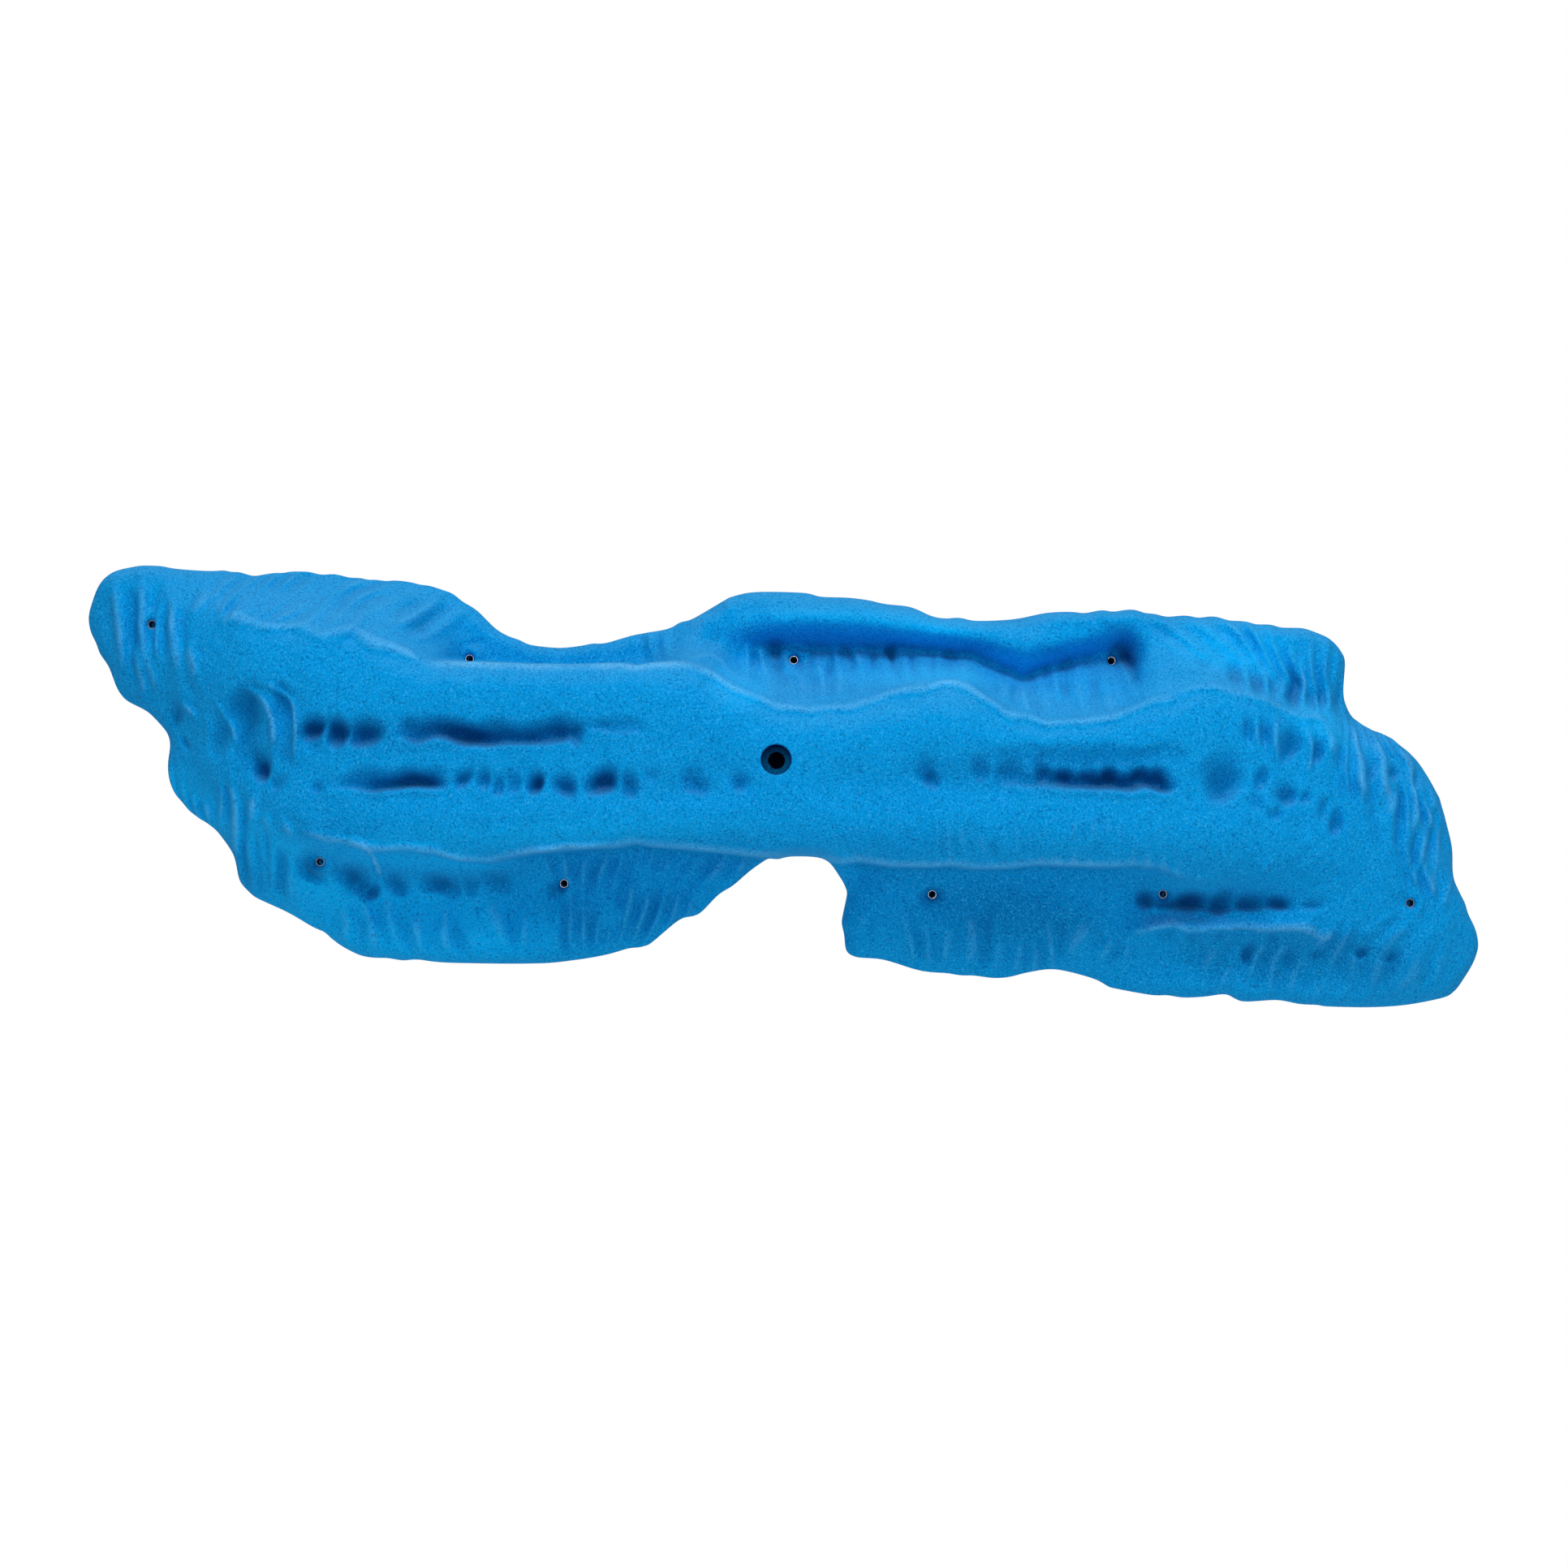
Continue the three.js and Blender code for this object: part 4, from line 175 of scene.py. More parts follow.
# grooves, folds and ripples: name, reach left and right of travel, [x, z, height]
STROKES = [
    ("r4", 5.0, 8.0, [[-398.5, 85.4, 1.6], [-394.4, 74.3, 3.5], [-389.6, 59, 3.2], [-385.1, 49.2, 1.6]]),
    ("t1", 5.3, 6.4, [[-452.6, 124.7, 3], [-448.2, 97.7, 3], [-445.8, 75.6, 3], [-445.7, 56, 3]]),
    ("t2", 5.3, 5.3, [[-437, 82, 3], [-432.9, 64.4, 3], [-432.6, 48.1, 3], [-430, 37.7, 3]]),
    ("t3", 5.3, 6.4, [[-434, 126.6, 3], [-429.1, 97.3, 3], [-426.1, 75.1, 3], [-423.9, 58.8, 3], [-423.4, 38.1, 3]]),
    ("t1v", 6.4, 6.4, [[-441.8, 124.5, -2.3], [-438.4, 97.5, -2.3], [-437.7, 75.4, -2.3], [-438, 51, -2.3]]),
    ("t4", 6.4, 6.4, [[-411, 121.9, 2.9], [-407.9, 96.8, 2.9], [-403.1, 74.6, 2.9], [-401.3, 52.8, 2.9]]),
    ("t5", 7.4, 7.4, [[-383.2, 121.9, 3.4], [-389.1, 106.6, 3.4], [-394.7, 92, 3.4]]),
    ("t6", 7.4, 7.4, [[-369.4, 122.1, 3.4], [-373.9, 105.2, 3.4], [-381.4, 91.6, 3.4]]),
    ("m1", 5.3, 5.3, [[-371.9, -10, 3], [-376.3, -29.2, 3], [-381.3, -44.8, 3]]),
    ("m2", 5.3, 5.3, [[-363.8, -10.1, 3.9], [-364.5, -34.6, 3.9], [-366.8, -54, 3.9], [-366.1, -69.1, 3.9]]),
    ("m3", 6.4, 6.4, [[-350.3, -17.1, 3.9], [-350.6, -34.5, 3.9], [-349.4, -47.6, 3.9]]),
    ("m4", 5.3, 5.3, [[-340.5, -34.4, 3.3], [-337.8, -49.7, 3.3]]),
    ("m5", 5.3, 6.4, [[-332.2, -37.6, 3.9], [-325.7, -45.2, 3.9], [-322, -54.5, 3.9]]),
    ("m0", 5.3, 5.3, [[-386.6, -26.5, 2.7], [-387.9, -41.6, 2.7]]),
    ("mv1", 5.3, 5.3, [[-368.3, -12.8, -2.7], [-372.6, -43, -2.7]]),
    ("mv2", 6.4, 6.4, [[-356.1, -20.9, -3.3], [-359.1, -56.6, -3.3], [-362.6, -82, -3.3]]),
    ("mv3", 7.4, 7.4, [[-344, -39.9, -3.3], [-346.6, -67.6, -3.3], [-352.1, -88.2, -3.3]]),
    ("mv4", 8.5, 7.4, [[-331.8, -53.5, -5.1], [-335.7, -76, -5.1], [-340.3, -97.1, -5.1]]),
    ("mv5", 8.5, 8.5, [[-340.1, -61.9, 2.4], [-344.8, -87.5, 2.4]]),
    ("mv6", 8.5, 8.5, [[-324.8, -61.8, 2.4], [-328.4, -90, 2.4], [-327.8, -101.5, 2.4]]),
    ("uL", 4.2, 8.4, [[-379.4, 90.4, 1.3], [-361.6, 97.3, 3.9], [-353.6, 93.8, 3.9], [-338.1, 90.8, 3.9], [-318.9, 90.2, 3.4], [-301.5, 84.9, 3.1], [-288.1, 86.5, 3.9], [-277.4, 85.5, 3.9], [-260.8, 78.3, 3.9], [-244.5, 70.7, 3.9], [-229.2, 63.7, 1.9]]),
    ("ul1", 6.0, 6.0, [[-326.2, 129, 1.1], [-333.9, 116.5, 1.1], [-338.5, 105.2, 1.1]]),
    ("ul2", 6.0, 6.0, [[-311.6, 127.8, 1.4], [-320.1, 114, 1.4], [-325.9, 101.6, 1.4]]),
    ("ul3", 6.0, 6.0, [[-293.8, 126.7, 1.5], [-303.4, 112.9, 1.5], [-307.4, 97.9, 1.5]]),
    ("ul4", 6.0, 6.0, [[-274.5, 124.3, 1.5], [-284.4, 111.1, 1.5], [-291.5, 95.5, 1.5]]),
    ("ul5", 6.0, 6.0, [[-253, 123.3, 1.7], [-265, 105.9, 1.7], [-274.4, 89.7, 1.7]]),
    ("ul6", 6.0, 6.0, [[-228, 116.7, 1.7], [-240.7, 103, 1.7], [-249, 84.5, 1.7]]),
    ("ul7", 6.0, 6.0, [[-211.2, 107.7, 1.5], [-227.6, 97.3, 1.5], [-242.9, 82.5, 1.5]]),
    ("ul8", 6.0, 6.0, [[-196.2, 94.1, 1.1], [-214.3, 88.7, 1.1], [-231.3, 78.7, 1.1]]),
    ("ul0", 6.0, 6.0, [[-343.1, 127.5, 1], [-349.8, 116.2, 1], [-352.6, 105, 1]]),
    ("ulv2", 6.0, 6.0, [[-318.9, 128.4, -1.1], [-327, 115.3, -1.1], [-332, 103.4, -1.1]]),
    ("ulv3", 6.0, 6.0, [[-302.7, 127.3, -1.3], [-311.7, 113.5, -1.3], [-316.7, 99.8, -1.3]]),
    ("ulv4", 6.0, 6.0, [[-284.1, 125.5, -1.3], [-293.8, 111.7, -1.3], [-299.4, 96.7, -1.3]]),
    ("ulv5", 6.0, 6.0, [[-263.3, 123.2, -1.3], [-274.6, 108.2, -1.3], [-282.8, 92.5, -1.3]]),
    ("ulv6", 7.0, 7.0, [[-240.6, 119.9, -1.4], [-252.6, 104.3, -1.4], [-261.4, 87, -1.4]]),
    ("ulv7", 6.0, 6.0, [[-220.1, 112.2, -1.3], [-233.8, 99.8, -1.3], [-245.9, 83.5, -1.3]]),
    ("ulv8", 6.0, 6.0, [[-203.7, 100.9, -1.1], [-220.6, 92.4, -1.1], [-236.8, 79.4, -1.1]]),
    ("pkc1", 5.0, 5.0, [[30.1, 72.7, 1.4], [29.5, 45.6, 1.4]]),
    ("pkc2", 5.0, 5.0, [[44, 72.7, 1.4], [43, 45.6, 1.4]]),
    ("pkc3", 5.0, 5.0, [[59.5, 72.7, 1.4], [58.1, 46.6, 1.4]]),
    ("pkc4", 4.2, 4.2, [[72.8, 72.6, 1.4], [71.1, 49.4, 1.4]]),
    ("pkc5", 4.2, 4.2, [[86, 72.6, 1.4], [84.8, 53.3, 1.4]]),
    ("pkc6", 4.2, 4.2, [[100.3, 71.4, 1.4], [98.8, 55.5, 1.4]]),
    ("pq1", 3.9, 3.9, [[168.6, 55.7, -2], [168, 40.4, -2]]),
    ("pq2", 3.9, 3.9, [[180.1, 55.7, -2.8], [177.7, 33.6, -2.8]]),
    ("pq3", 4.7, 4.7, [[195.7, 58, -3.4], [193.6, 31.3, -3.4]]),
    ("pq4", 4.7, 4.7, [[215, 63.7, -3.4], [215.1, 34.7, -3.4]]),
    ("pq5", 3.9, 3.9, [[149.2, 57.6, -3], [149.6, 40, -3]]),
    ("pqe", 5.0, 5.6, [[233.8, 81.2, -3], [238.4, 72.4, -5], [240.7, 58.5, -5], [240.2, 42.3, -3]]),
    ("pqc1", 5.0, 5.0, [[188.6, 58, 1.6], [185.2, 30.2, 1.6]]),
    ("pqc2", 5.9, 5.9, [[206.5, 61.4, 1.6], [204.3, 31.3, 1.6]]),
    ("pqc3", 5.9, 5.9, [[225.3, 59, 1.6], [225.8, 35.8, 1.6]]),
    ("mid1", 2.8, 4.5, [[-67, 65.3, 1], [-56.8, 68.7, 3], [-46, 70, 3], [-38.5, 68, 3], [-30.9, 60.9, 3], [-18.8, 53.5, 2.4], [-4.6, 46, 1]]),
    ("rimR", 3.9, 6.7, [[259.7, 43, 1.5], [279, 48.5, 2.6], [298.3, 47, 2.6], [312.3, 43.9, 2.8], [325.8, 39, 2.8], [348.8, 30.6, 2.8], [365, 27.4, 3], [372, 17.1, 2.4]]),
    ("fc1", 3.6, 3.6, [[314.7, 57, 2.8], [313.1, 45, 2.8]]),
    ("fc2", 3.6, 3.6, [[329.2, 59.5, 2.8], [327.7, 44.7, 2.8]]),
    ("fc3", 3.6, 3.6, [[341.6, 51.8, 2.2], [340.6, 37.1, 2.2]]),
    ("fc4", 3.6, 3.6, [[359.2, 76.6, 4.2], [356.8, 53.2, 4.2], [351.9, 34, 4.2]]),
    ("fc5", 2.7, 2.7, [[364.7, 46.5, 2.8], [361.3, 30.7, 2.8]]),
    ("fc6", 2.7, 2.7, [[375, 46.7, 2.8], [372.4, 28.7, 2.8]]),
    ("fc7", 4.5, 4.5, [[371, 76.8, 2.2], [370.9, 54.5, 2.2]]),
    ("hc1", 4.5, 4.5, [[306.3, 32.3, 2.4], [307.5, 12.9, 2.4]]),
    ("hc2", 4.5, 4.5, [[317.4, 30.2, 3], [318.7, 11.9, 3], [322.6, 4.4, 3]]),
    ("hc3", 4.5, 4.5, [[331.2, 33.6, 3.6], [331.6, 11.4, 3.6], [334.9, -3.1, 3.6]]),
    ("hc4", 4.5, 4.5, [[354, 23.4, 3.6], [354.8, 3.4, 3.6], [354.1, -15, 3.6]]),
    ("hc5", 4.5, 4.5, [[371.9, 23.7, 3.6], [371, -0.9, 3.6]]),
    ("hc6", 4.5, 4.5, [[380.3, 10.1, 2.7], [378.9, -17.1, 2.7]]),
    ("hc7", 5.4, 5.4, [[388.9, 28.1, 4.2], [391.9, 3.6, 4.2], [393.1, -15.5, 4.2], [396.7, -30.2, 4.2]]),
    ("hc8", 5.4, 5.4, [[403, 20.4, 4.2], [408.4, 0.9, 4.2], [410.5, -21, 4.2], [410, -41.1, 4.2]]),
    ("hc9", 5.4, 5.4, [[421.2, 12.7, 4.2], [431.5, -7.2, 4.2], [432.6, -26.5, 4.2], [426.9, -57.6, 4.2]]),
    ("hc10", 4.5, 4.5, [[444.7, -9.9, 3], [445.6, -29.3, 3], [438.5, -51.2, 3], [434.5, -68.6, 3], [428.3, -88.2, 3]]),
    ("hc11", 5.4, 5.4, [[457, -37.7, 3.3], [449.6, -56.9, 3.3], [445.3, -78.7, 3.3], [440.4, -96.1, 3.3]]),
    ("hc12", 5.4, 5.4, [[464.1, -71.5, 3], [454.4, -89.8, 3], [451.3, -105, 3]]),
    ("hc13", 5.4, 5.4, [[380.7, -38.8, 2.4], [383, -57.2, 2.4]]),
    ("hv1", 5.9, 5.9, [[403.6, -12.8, -2.9], [401.7, -39.9, -2.9], [404.1, -67.1, -2.9]]),
    ("hv2", 5.9, 5.9, [[421.4, -10, -2.9], [420.7, -34.6, -2.9], [418.2, -64.5, -2.9]]),
    ("hv3", 5.0, 5.0, [[437.8, -29.3, -2.6], [432.1, -56.6, -2.6], [424.5, -81, -2.6]]),
    ("hv4", 5.0, 5.0, [[448.3, -40.4, -2.6], [441.4, -64.9, -2.6]]),
    ("tr1", 6.0, 6.0, [[259.4, 97.3, 1.8], [269.2, 83.9, 1.8], [275.5, 73.5, 1.8]]),
    ("tr2", 6.0, 6.0, [[283.7, 96.5, 1.8], [292.6, 83.4, 1.8], [298.3, 72.7, 1.8]]),
    ("tr3", 6.0, 6.0, [[305, 96.6, 1.8], [313.6, 84.8, 1.8], [319.6, 75.8, 1.8]]),
    ("tr4", 6.0, 6.0, [[322.5, 92.1, 1.6], [327.9, 82, 1.6], [332.4, 74.1, 1.6]]),
    ("tr0", 7.0, 7.0, [[234.9, 100.2, 1.3], [242.5, 88.9, 1.3], [247.9, 77.9, 1.3]]),
    ("trv1", 6.0, 6.0, [[271.8, 96.4, -1.4], [281.5, 80.5, -1.4]]),
    ("trv2", 6.0, 6.0, [[295.4, 95.4, -1.4], [305.2, 79, -1.4]]),
    ("trv3", 6.0, 6.0, [[314.2, 93.2, -1.4], [323.1, 77.5, -1.4]]),
    ("trv0", 7.0, 7.0, [[248, 98.8, -1.1], [257.5, 82.7, -1.1]]),
    ("sc1", 2.2, 2.8, [[260.1, -74.1, 1], [267.5, -77.6, 2], [273.2, -83.3, 1]]),
    ("sc2", 2.2, 2.8, [[274.4, -82.1, 1], [277.8, -78, 2.2], [284.3, -78, 2.2], [290.8, -82, 1]]),
    ("sc3", 2.2, 2.8, [[292.7, -80.9, 1], [297.7, -78.7, 2], [306.9, -79.9, 1]]),
    ("sc4", 3.4, 3.4, [[315.9, -81, 1.5], [321.5, -76.5, 2.4], [325.9, -67.7, 2.4], [332, -60.1, 1]]),
    ("lr1", 6.0, 6.0, [[280.2, -129.8, 1], [273.9, -142.9, 1], [268.4, -157.1, 1]]),
    ("lr2", 6.0, 6.0, [[299.8, -144.5, 1.3], [291.1, -160.4, 1.3]]),
    ("lr3", 6.0, 6.0, [[314, -143.3, 1.3], [304.9, -161.5, 1.3]]),
    ("lr4", 6.0, 6.0, [[405.7, -148.5, 1.3], [401.6, -166, 1.3]]),
    ("lr5", 6.0, 6.0, [[431.7, -129, 1.6], [421.2, -143.7, 1.6], [413.8, -163.7, 1.6]]),
    ("lr6", 6.0, 6.0, [[439.1, -140.3, 1.3], [431.2, -161.4, 1.3]]),
    ("lr7", 6.0, 6.0, [[339.1, -142.7, 1], [332.6, -163.7, 1]]),
    ("lr8", 6.0, 6.0, [[360.9, -142.6, 1], [356.9, -165.9, 1]]),
    ("lr9", 6.0, 6.0, [[380, -145.2, 1], [377, -167, 1]]),
    ("lrv1", 6.0, 6.0, [[306.4, -145.6, -1], [298.2, -160.4, -1]]),
    ("lrv2", 7.0, 7.0, [[421.3, -131.2, -1], [410.4, -150.8, -1]]),
    ("ll1", 5.0, 5.0, [[-309.7, -102.4, 1.8], [-307.7, -117.2, 1.8]]),
    ("ll2", 5.0, 5.0, [[-292.5, -110.1, 1.8], [-297.7, -126.1, 1.8]]),
    ("ll3", 6.0, 6.0, [[-253.3, -93.3, 0.8], [-247.2, -109.4, 2.1], [-240.1, -127.9, 1.9]]),
    ("ll4", 7.0, 7.0, [[-300.2, -94.3, -1.3], [-302, -119.3, -1.3]]),
    ("ll5", 8.0, 8.0, [[-265.3, -94.4, -1.4], [-257.6, -112.1, -1.4], [-250.9, -133.5, -1.4]]),
    ("ll6", 8.0, 8.0, [[-227, -94.5, -1.3], [-219.3, -112.2, -1.3], [-215.5, -134.7, -1.3]]),
    ("ll7", 8.0, 8.0, [[-180.7, -89.1, -1.3], [-183.6, -112.3, -1.3], [-183.8, -132.4, -1.3]]),
    ("ll8", 7.0, 7.0, [[-167.2, -68.7, -1.3], [-172.5, -87.4, -1.3]]),
    ("ll9", 6.0, 6.0, [[-152.6, -90.2, -0.8], [-147.8, -112.4, -1.8], [-140, -136.2, -1.8]]),
    ("ll10", 7.0, 7.0, [[-162.1, -94.7, 1.3], [-155.6, -118, 1.3], [-149.4, -136.1, 1.3]]),
    ("ll11", 8.0, 8.0, [[-122, -66.9, -1.3], [-127.3, -95.8, -1.3], [-122.7, -123.8, -1.3]]),
    ("ll12", 7.0, 7.0, [[-104.8, -61.3, -1.6], [-107.9, -84.7, -1.6], [-109.1, -105.9, -1.6]]),
    ("ll13", 7.0, 7.0, [[-77.5, -73.7, -1.6], [-80.4, -96, -1.6], [-88.3, -119.5, -1.6]]),
    ("ll14", 7.0, 7.0, [[-61.9, -71.5, -1.3], [-63.8, -100.6, -1.3]]),
    ("ll15", 8.0, 8.0, [[-117, -68, 1.1], [-119.4, -123.9, 1.1]]),
    ("ll16", 8.0, 8.0, [[-92.2, -63.6, 1.1], [-95.4, -112.7, 1.1]]),
    ("ll17", 8.0, 8.0, [[-202.8, -95.7, 1.1], [-200.4, -132.4, 1.1]]),
    ("ll18", 7.0, 7.0, [[-45.3, -69.3, -1.1], [-49.4, -96.2, -1.1]]),
    ("lm1", 7.0, 7.0, [[58.4, -104.2, -1.1], [57.5, -130.7, -1.1]]),
    ("lm2", 7.0, 7.0, [[79.2, -101.2, -1], [78.7, -133, -1]]),
    ("lm3", 8.0, 8.0, [[101.4, -101.2, -1.1], [99.8, -137.4, -1.1]]),
    ("lm4", 8.0, 8.0, [[141.6, -96.7, -1.3], [142.7, -123.6, -1.3], [139.9, -143, -1.3]]),
    ("lm5", 8.0, 8.0, [[158.2, -98.4, -1.3], [157.2, -129.2, -1.3]]),
    ("lm6", 8.0, 8.0, [[175.7, -95.5, -1.1], [175.3, -137.8, -1.1]]),
    ("lm7", 8.0, 8.0, [[194.9, -95.5, -1], [194.2, -135, -1]]),
    ("lm8", 8.0, 8.0, [[149.9, -95.6, 1], [150.3, -140.7, 1]]),
    ("lm9", 9.1, 9.1, [[90.3, -95.6, 1], [89.8, -135.2, 1]]),
    ("lm10", 9.1, 9.1, [[120.7, -98.4, 1], [119.8, -140.7, 1]]),
    ("lm11", 9.1, 9.1, [[211.4, -101, 1], [207.6, -140.6, 1]]),
    ("lm12", 8.0, 8.0, [[230.6, -103.7, -1], [225.3, -146.2, -1]]),
    ("lf1", 5.9, 5.9, [[108.3, -50.1, -1.4], [109.1, -69.6, -1.4]]),
    ("lf2", 5.9, 5.9, [[122.6, -50.1, -1.4], [123, -69.6, -1.4]]),
    ("lf3", 5.9, 5.9, [[143.3, -49, -1.6], [143.9, -70.7, -1.6]]),
    ("lf4", 6.7, 6.7, [[166.8, -49, -1.6], [167.9, -68.5, -1.6]]),
    ("lf5", 6.7, 6.7, [[193.4, -49, -1.4], [195.9, -69.6, -1.4]]),
    ("lf6", 6.7, 6.7, [[210.6, -50.1, -1.4], [212, -69.6, -1.4]]),
    ("bl1", 8.0, 8.0, [[79, 108.6, -1.3], [83.2, 99.3, -1.3]]),
    ("bl2", 7.2, 7.2, [[136.2, 90.3, -1], [136.8, 79.4, -1]]),
    ("bl3", 8.0, 8.0, [[95.4, 101.8, 1.1], [117, 90.4, 1.1], [133.4, 81.5, 1.1]]),
    ("bl4", 7.2, 7.2, [[188.5, 98.1, -1.1], [190.2, 85.8, -1.1]]),
    ("bl5", 7.2, 7.2, [[199.3, 98.6, 1], [201.3, 84.8, 1]]),
    ("bl6", 7.2, 7.2, [[212.9, 98.5, -1], [216.8, 86, -1]]),
    ("bl7", 7.2, 7.2, [[224.3, 99.6, 1], [229.2, 87.2, 1]]),
    ("rt1", 3.9, 3.9, [[349.5, 85.5, -1], [349.8, 72.1, -1]]),
    ("g1", 15.1, 5.0, [[-254.6, 17.5, -1], [-242.8, 16.4, -7], [-226.8, 15.9, -10], [-210.8, 14.3, -14], [-197.4, 12.7, -16], [-187.8, 12.1, -14], [-179.8, 13.2, -11], [-168.1, 13.7, -10.5], [-157.5, 13.2, -11.5], [-144.2, 14.2, -8], [-129.8, 15.8, -3]]),
    ("g1e", 8.9, 5.6, [[-127.6, 22.7, -5], [-112.2, 21.1, -4.5], [-96.2, 20.1, -3.5], [-79.8, 20.6, -1.5]]),
    ("g1l", 1.7, 5.0, [[-242.8, 11.1, 1.6], [-221.4, 10.6, 1.6], [-202.8, 8.4, 1.6]]),
    ("g2", 14.0, 4.5, [[-306.1, -17.1, -1], [-289.3, -17.1, -3], [-275.8, -17.1, -7], [-254.1, -17.1, -11], [-238, -17.1, -13], [-224.6, -16.6, -10], [-211.2, -15.5, -2]]),
    ("g2l", 1.7, 4.5, [[-278, -20.3, 2.2], [-254.1, -21.4, 2.2], [-232.7, -21.4, 2.2], [-215.5, -19.2, 2.2]]),
    ("g3", 13.4, 4.5, [[148.2, -11.8, -0.5], [162.5, -13.4, -4], [174.7, -15, -7], [188.1, -16, -10], [204.1, -16.6, -11], [215.9, -17.1, -14], [233.5, -17.1, -13], [247, -17.1, -13], [257.8, -16.6, -10], [267.7, -15, -2]]),
    ("g3l", 1.7, 5.0, [[166.7, -20.8, 2.2], [198.7, -21.4, 2.2], [236.2, -21.9, 2.2], [262.1, -20.8, 2.2]]),
    ("g3s", 10.1, 10.1, [[123.9, 3, -1], [145.3, 3.1, -3], [182.8, 2.6, -4.5], [236.3, 2.6, -4.5], [279.8, 3.2, -2]]),
    ("foldBc", 2.2, 3.9, [[-346, 50.5, 1.5], [-335.7, 49.9, 3], [-326.7, 46, 4], [-320.1, 39.6, 4.6], [-317.1, 30, 4.6], [-317, 16.7, 4.6], [-317.4, -4.8, 2.5]]),
    ("foldAc", 3.4, 5.0, [[-362.2, 48.1, 1.5], [-352, 47.4, 3], [-344, 43, 4], [-337.5, 36.6, 4.4], [-334.6, 27.5, 4.4], [-332.8, 16.8, 4.4], [-332.6, 2.3, 3]]),
    ("foldZc", 3.4, 3.9, [[-379, 46.9, 1], [-368.8, 32.7, 3], [-362.5, 18.7, 4.2], [-359.6, 3.5, 3]]),
    ("fZ2", 2.8, 2.8, [[-387.4, 37.4, 2], [-383.5, 22.7, 2], [-383.1, 6.4, 2]]),
    ("cresc", 2.2, 3.4, [[-405, 42.1, 1.5], [-397.7, 37.6, 4], [-393.2, 31, 3.6], [-391.9, 24.5, 2]]),
    ("creso", 2.8, 3.9, [[-402.5, 17, -5], [-398.9, 7.1, -5]]),
    ("rimL", 6.7, 2.2, [[-321.3, -50.6, 1.5], [-305.1, -51.1, 3.5], [-288.7, -53.7, 4], [-275.8, -58.6, 4], [-261.3, -59, 3], [-245, -59.5, 3.4], [-229.3, -61.7, 3.4], [-213.8, -65.6, 3.4], [-192.3, -67.8, 1.5]]),
    ("thc", 5.6, 1.7, [[-286.3, -55.4, 1.5], [-273.6, -58, 4], [-269, -64.9, 5], [-267.7, -74, 5], [-269, -85.4, 2]]),
    ("thd", 4.5, 2.2, [[-251.1, -70.6, 1], [-248.1, -77.4, 2], [-248.9, -85.5, 1]]),
    ("rimM", 4.5, 2.2, [[-177.7, -61.1, 1.5], [-170, -62.8, 3], [-161.9, -61.2, 3], [-142.7, -58.9, 3], [-126.6, -57.3, 2.5], [-105.2, -56.8, 1.5]]),
    ("rimP", 2.8, 6.1, [[-61.2, 62.6, 1.5], [-46.2, 58.8, 3], [-30.1, 49.1, 3.4], [-14.1, 41.1, 3.4], [1.9, 36.3, 3.4], [18, 33.6, 3.4], [39.3, 35.3, 3.4], [55.4, 37.4, 3.4], [71.5, 42.8, 3.4], [87.5, 47.1, 3.4], [103.6, 49.8, 3.4], [119.8, 50.9, 3.4], [129.4, 47.7, 3.4], [138.2, 39.5, 3.4], [151.5, 32, 3.4], [167.7, 27.8, 3.4], [183.7, 25.1, 3.4], [205.2, 26.2, 3.4], [221.4, 29.5, 3.4], [237.7, 33.8, 3.4], [254.1, 40.3, 2.8], [270.5, 45.2, 1.5]]),
    ("uc", 7.8, 3.9, [[-25.8, 80, -1], [-14.8, 79, -2], [-6.5, 77.5, -3], [10.1, 77.1, -3], [35.1, 76.1, -3], [57.3, 75.5, -3], [79.5, 75.5, -3], [107, 73.6, -4], [129, 71.3, -4], [142.6, 66.8, -4], [156.4, 60.7, -4], [168.6, 56.3, -4], [184.4, 62, -4], [201.3, 67.1, -4], [218.1, 72.1, -3], [224.7, 73.8, -2]]),
    ("pk1", 2.8, 2.8, [[25.7, 77.7, -3.6], [25.5, 61, -3.6]]),
    ("pk2", 2.2, 3.4, [[34.5, 78.8, -4], [36.1, 67.5, -5], [34.1, 52.7, -3]]),
    ("pk3", 2.2, 3.4, [[50.6, 77.6, -4], [53.2, 67.4, -5], [50.5, 55, -3]]),
    ("pk4", 2.8, 2.8, [[65.5, 77.6, -3.2], [64.9, 58.5, -3.2]]),
    ("pk5", 3.9, 2.8, [[73.8, 77.6, -6], [78.3, 72.6, -6], [78.8, 57.1, -3]]),
    ("pk6", 2.8, 2.8, [[92.1, 75.9, -3.4], [91.8, 54.4, -3.4]]),
    ("pk7", 2.8, 2.8, [[105.8, 75.8, -3.4], [106.7, 57.8, -3.4]]),
    ("pk8", 2.8, 2.8, [[121.2, 74, -2.6], [123.3, 61.7, -2.6]]),
    ("pk9", 5.0, 3.9, [[-3.7, 78.1, -7], [-0.4, 73.7, -6], [0.8, 56.2, -2]]),
    ("pk10", 3.4, 3.4, [[-12.6, 78, -2.6], [-13.6, 64.4, -2.6]]),
    ("pk0", 4.5, 5.0, [[10.7, 76, -4], [15.7, 69.2, -4], [18.2, 52.7, -3]]),
    ("gr4", 14.5, 3.9, [[243.2, -95.4, -3], [251, -97.1, -6], [262.7, -99.1, -7], [281.6, -99.4, -7], [301.2, -98.7, -5], [321.7, -98, -5], [339.9, -98.4, -5], [350.5, -98.9, -2], [363.9, -99.3, -2], [377.3, -98.2, -0.5]]),
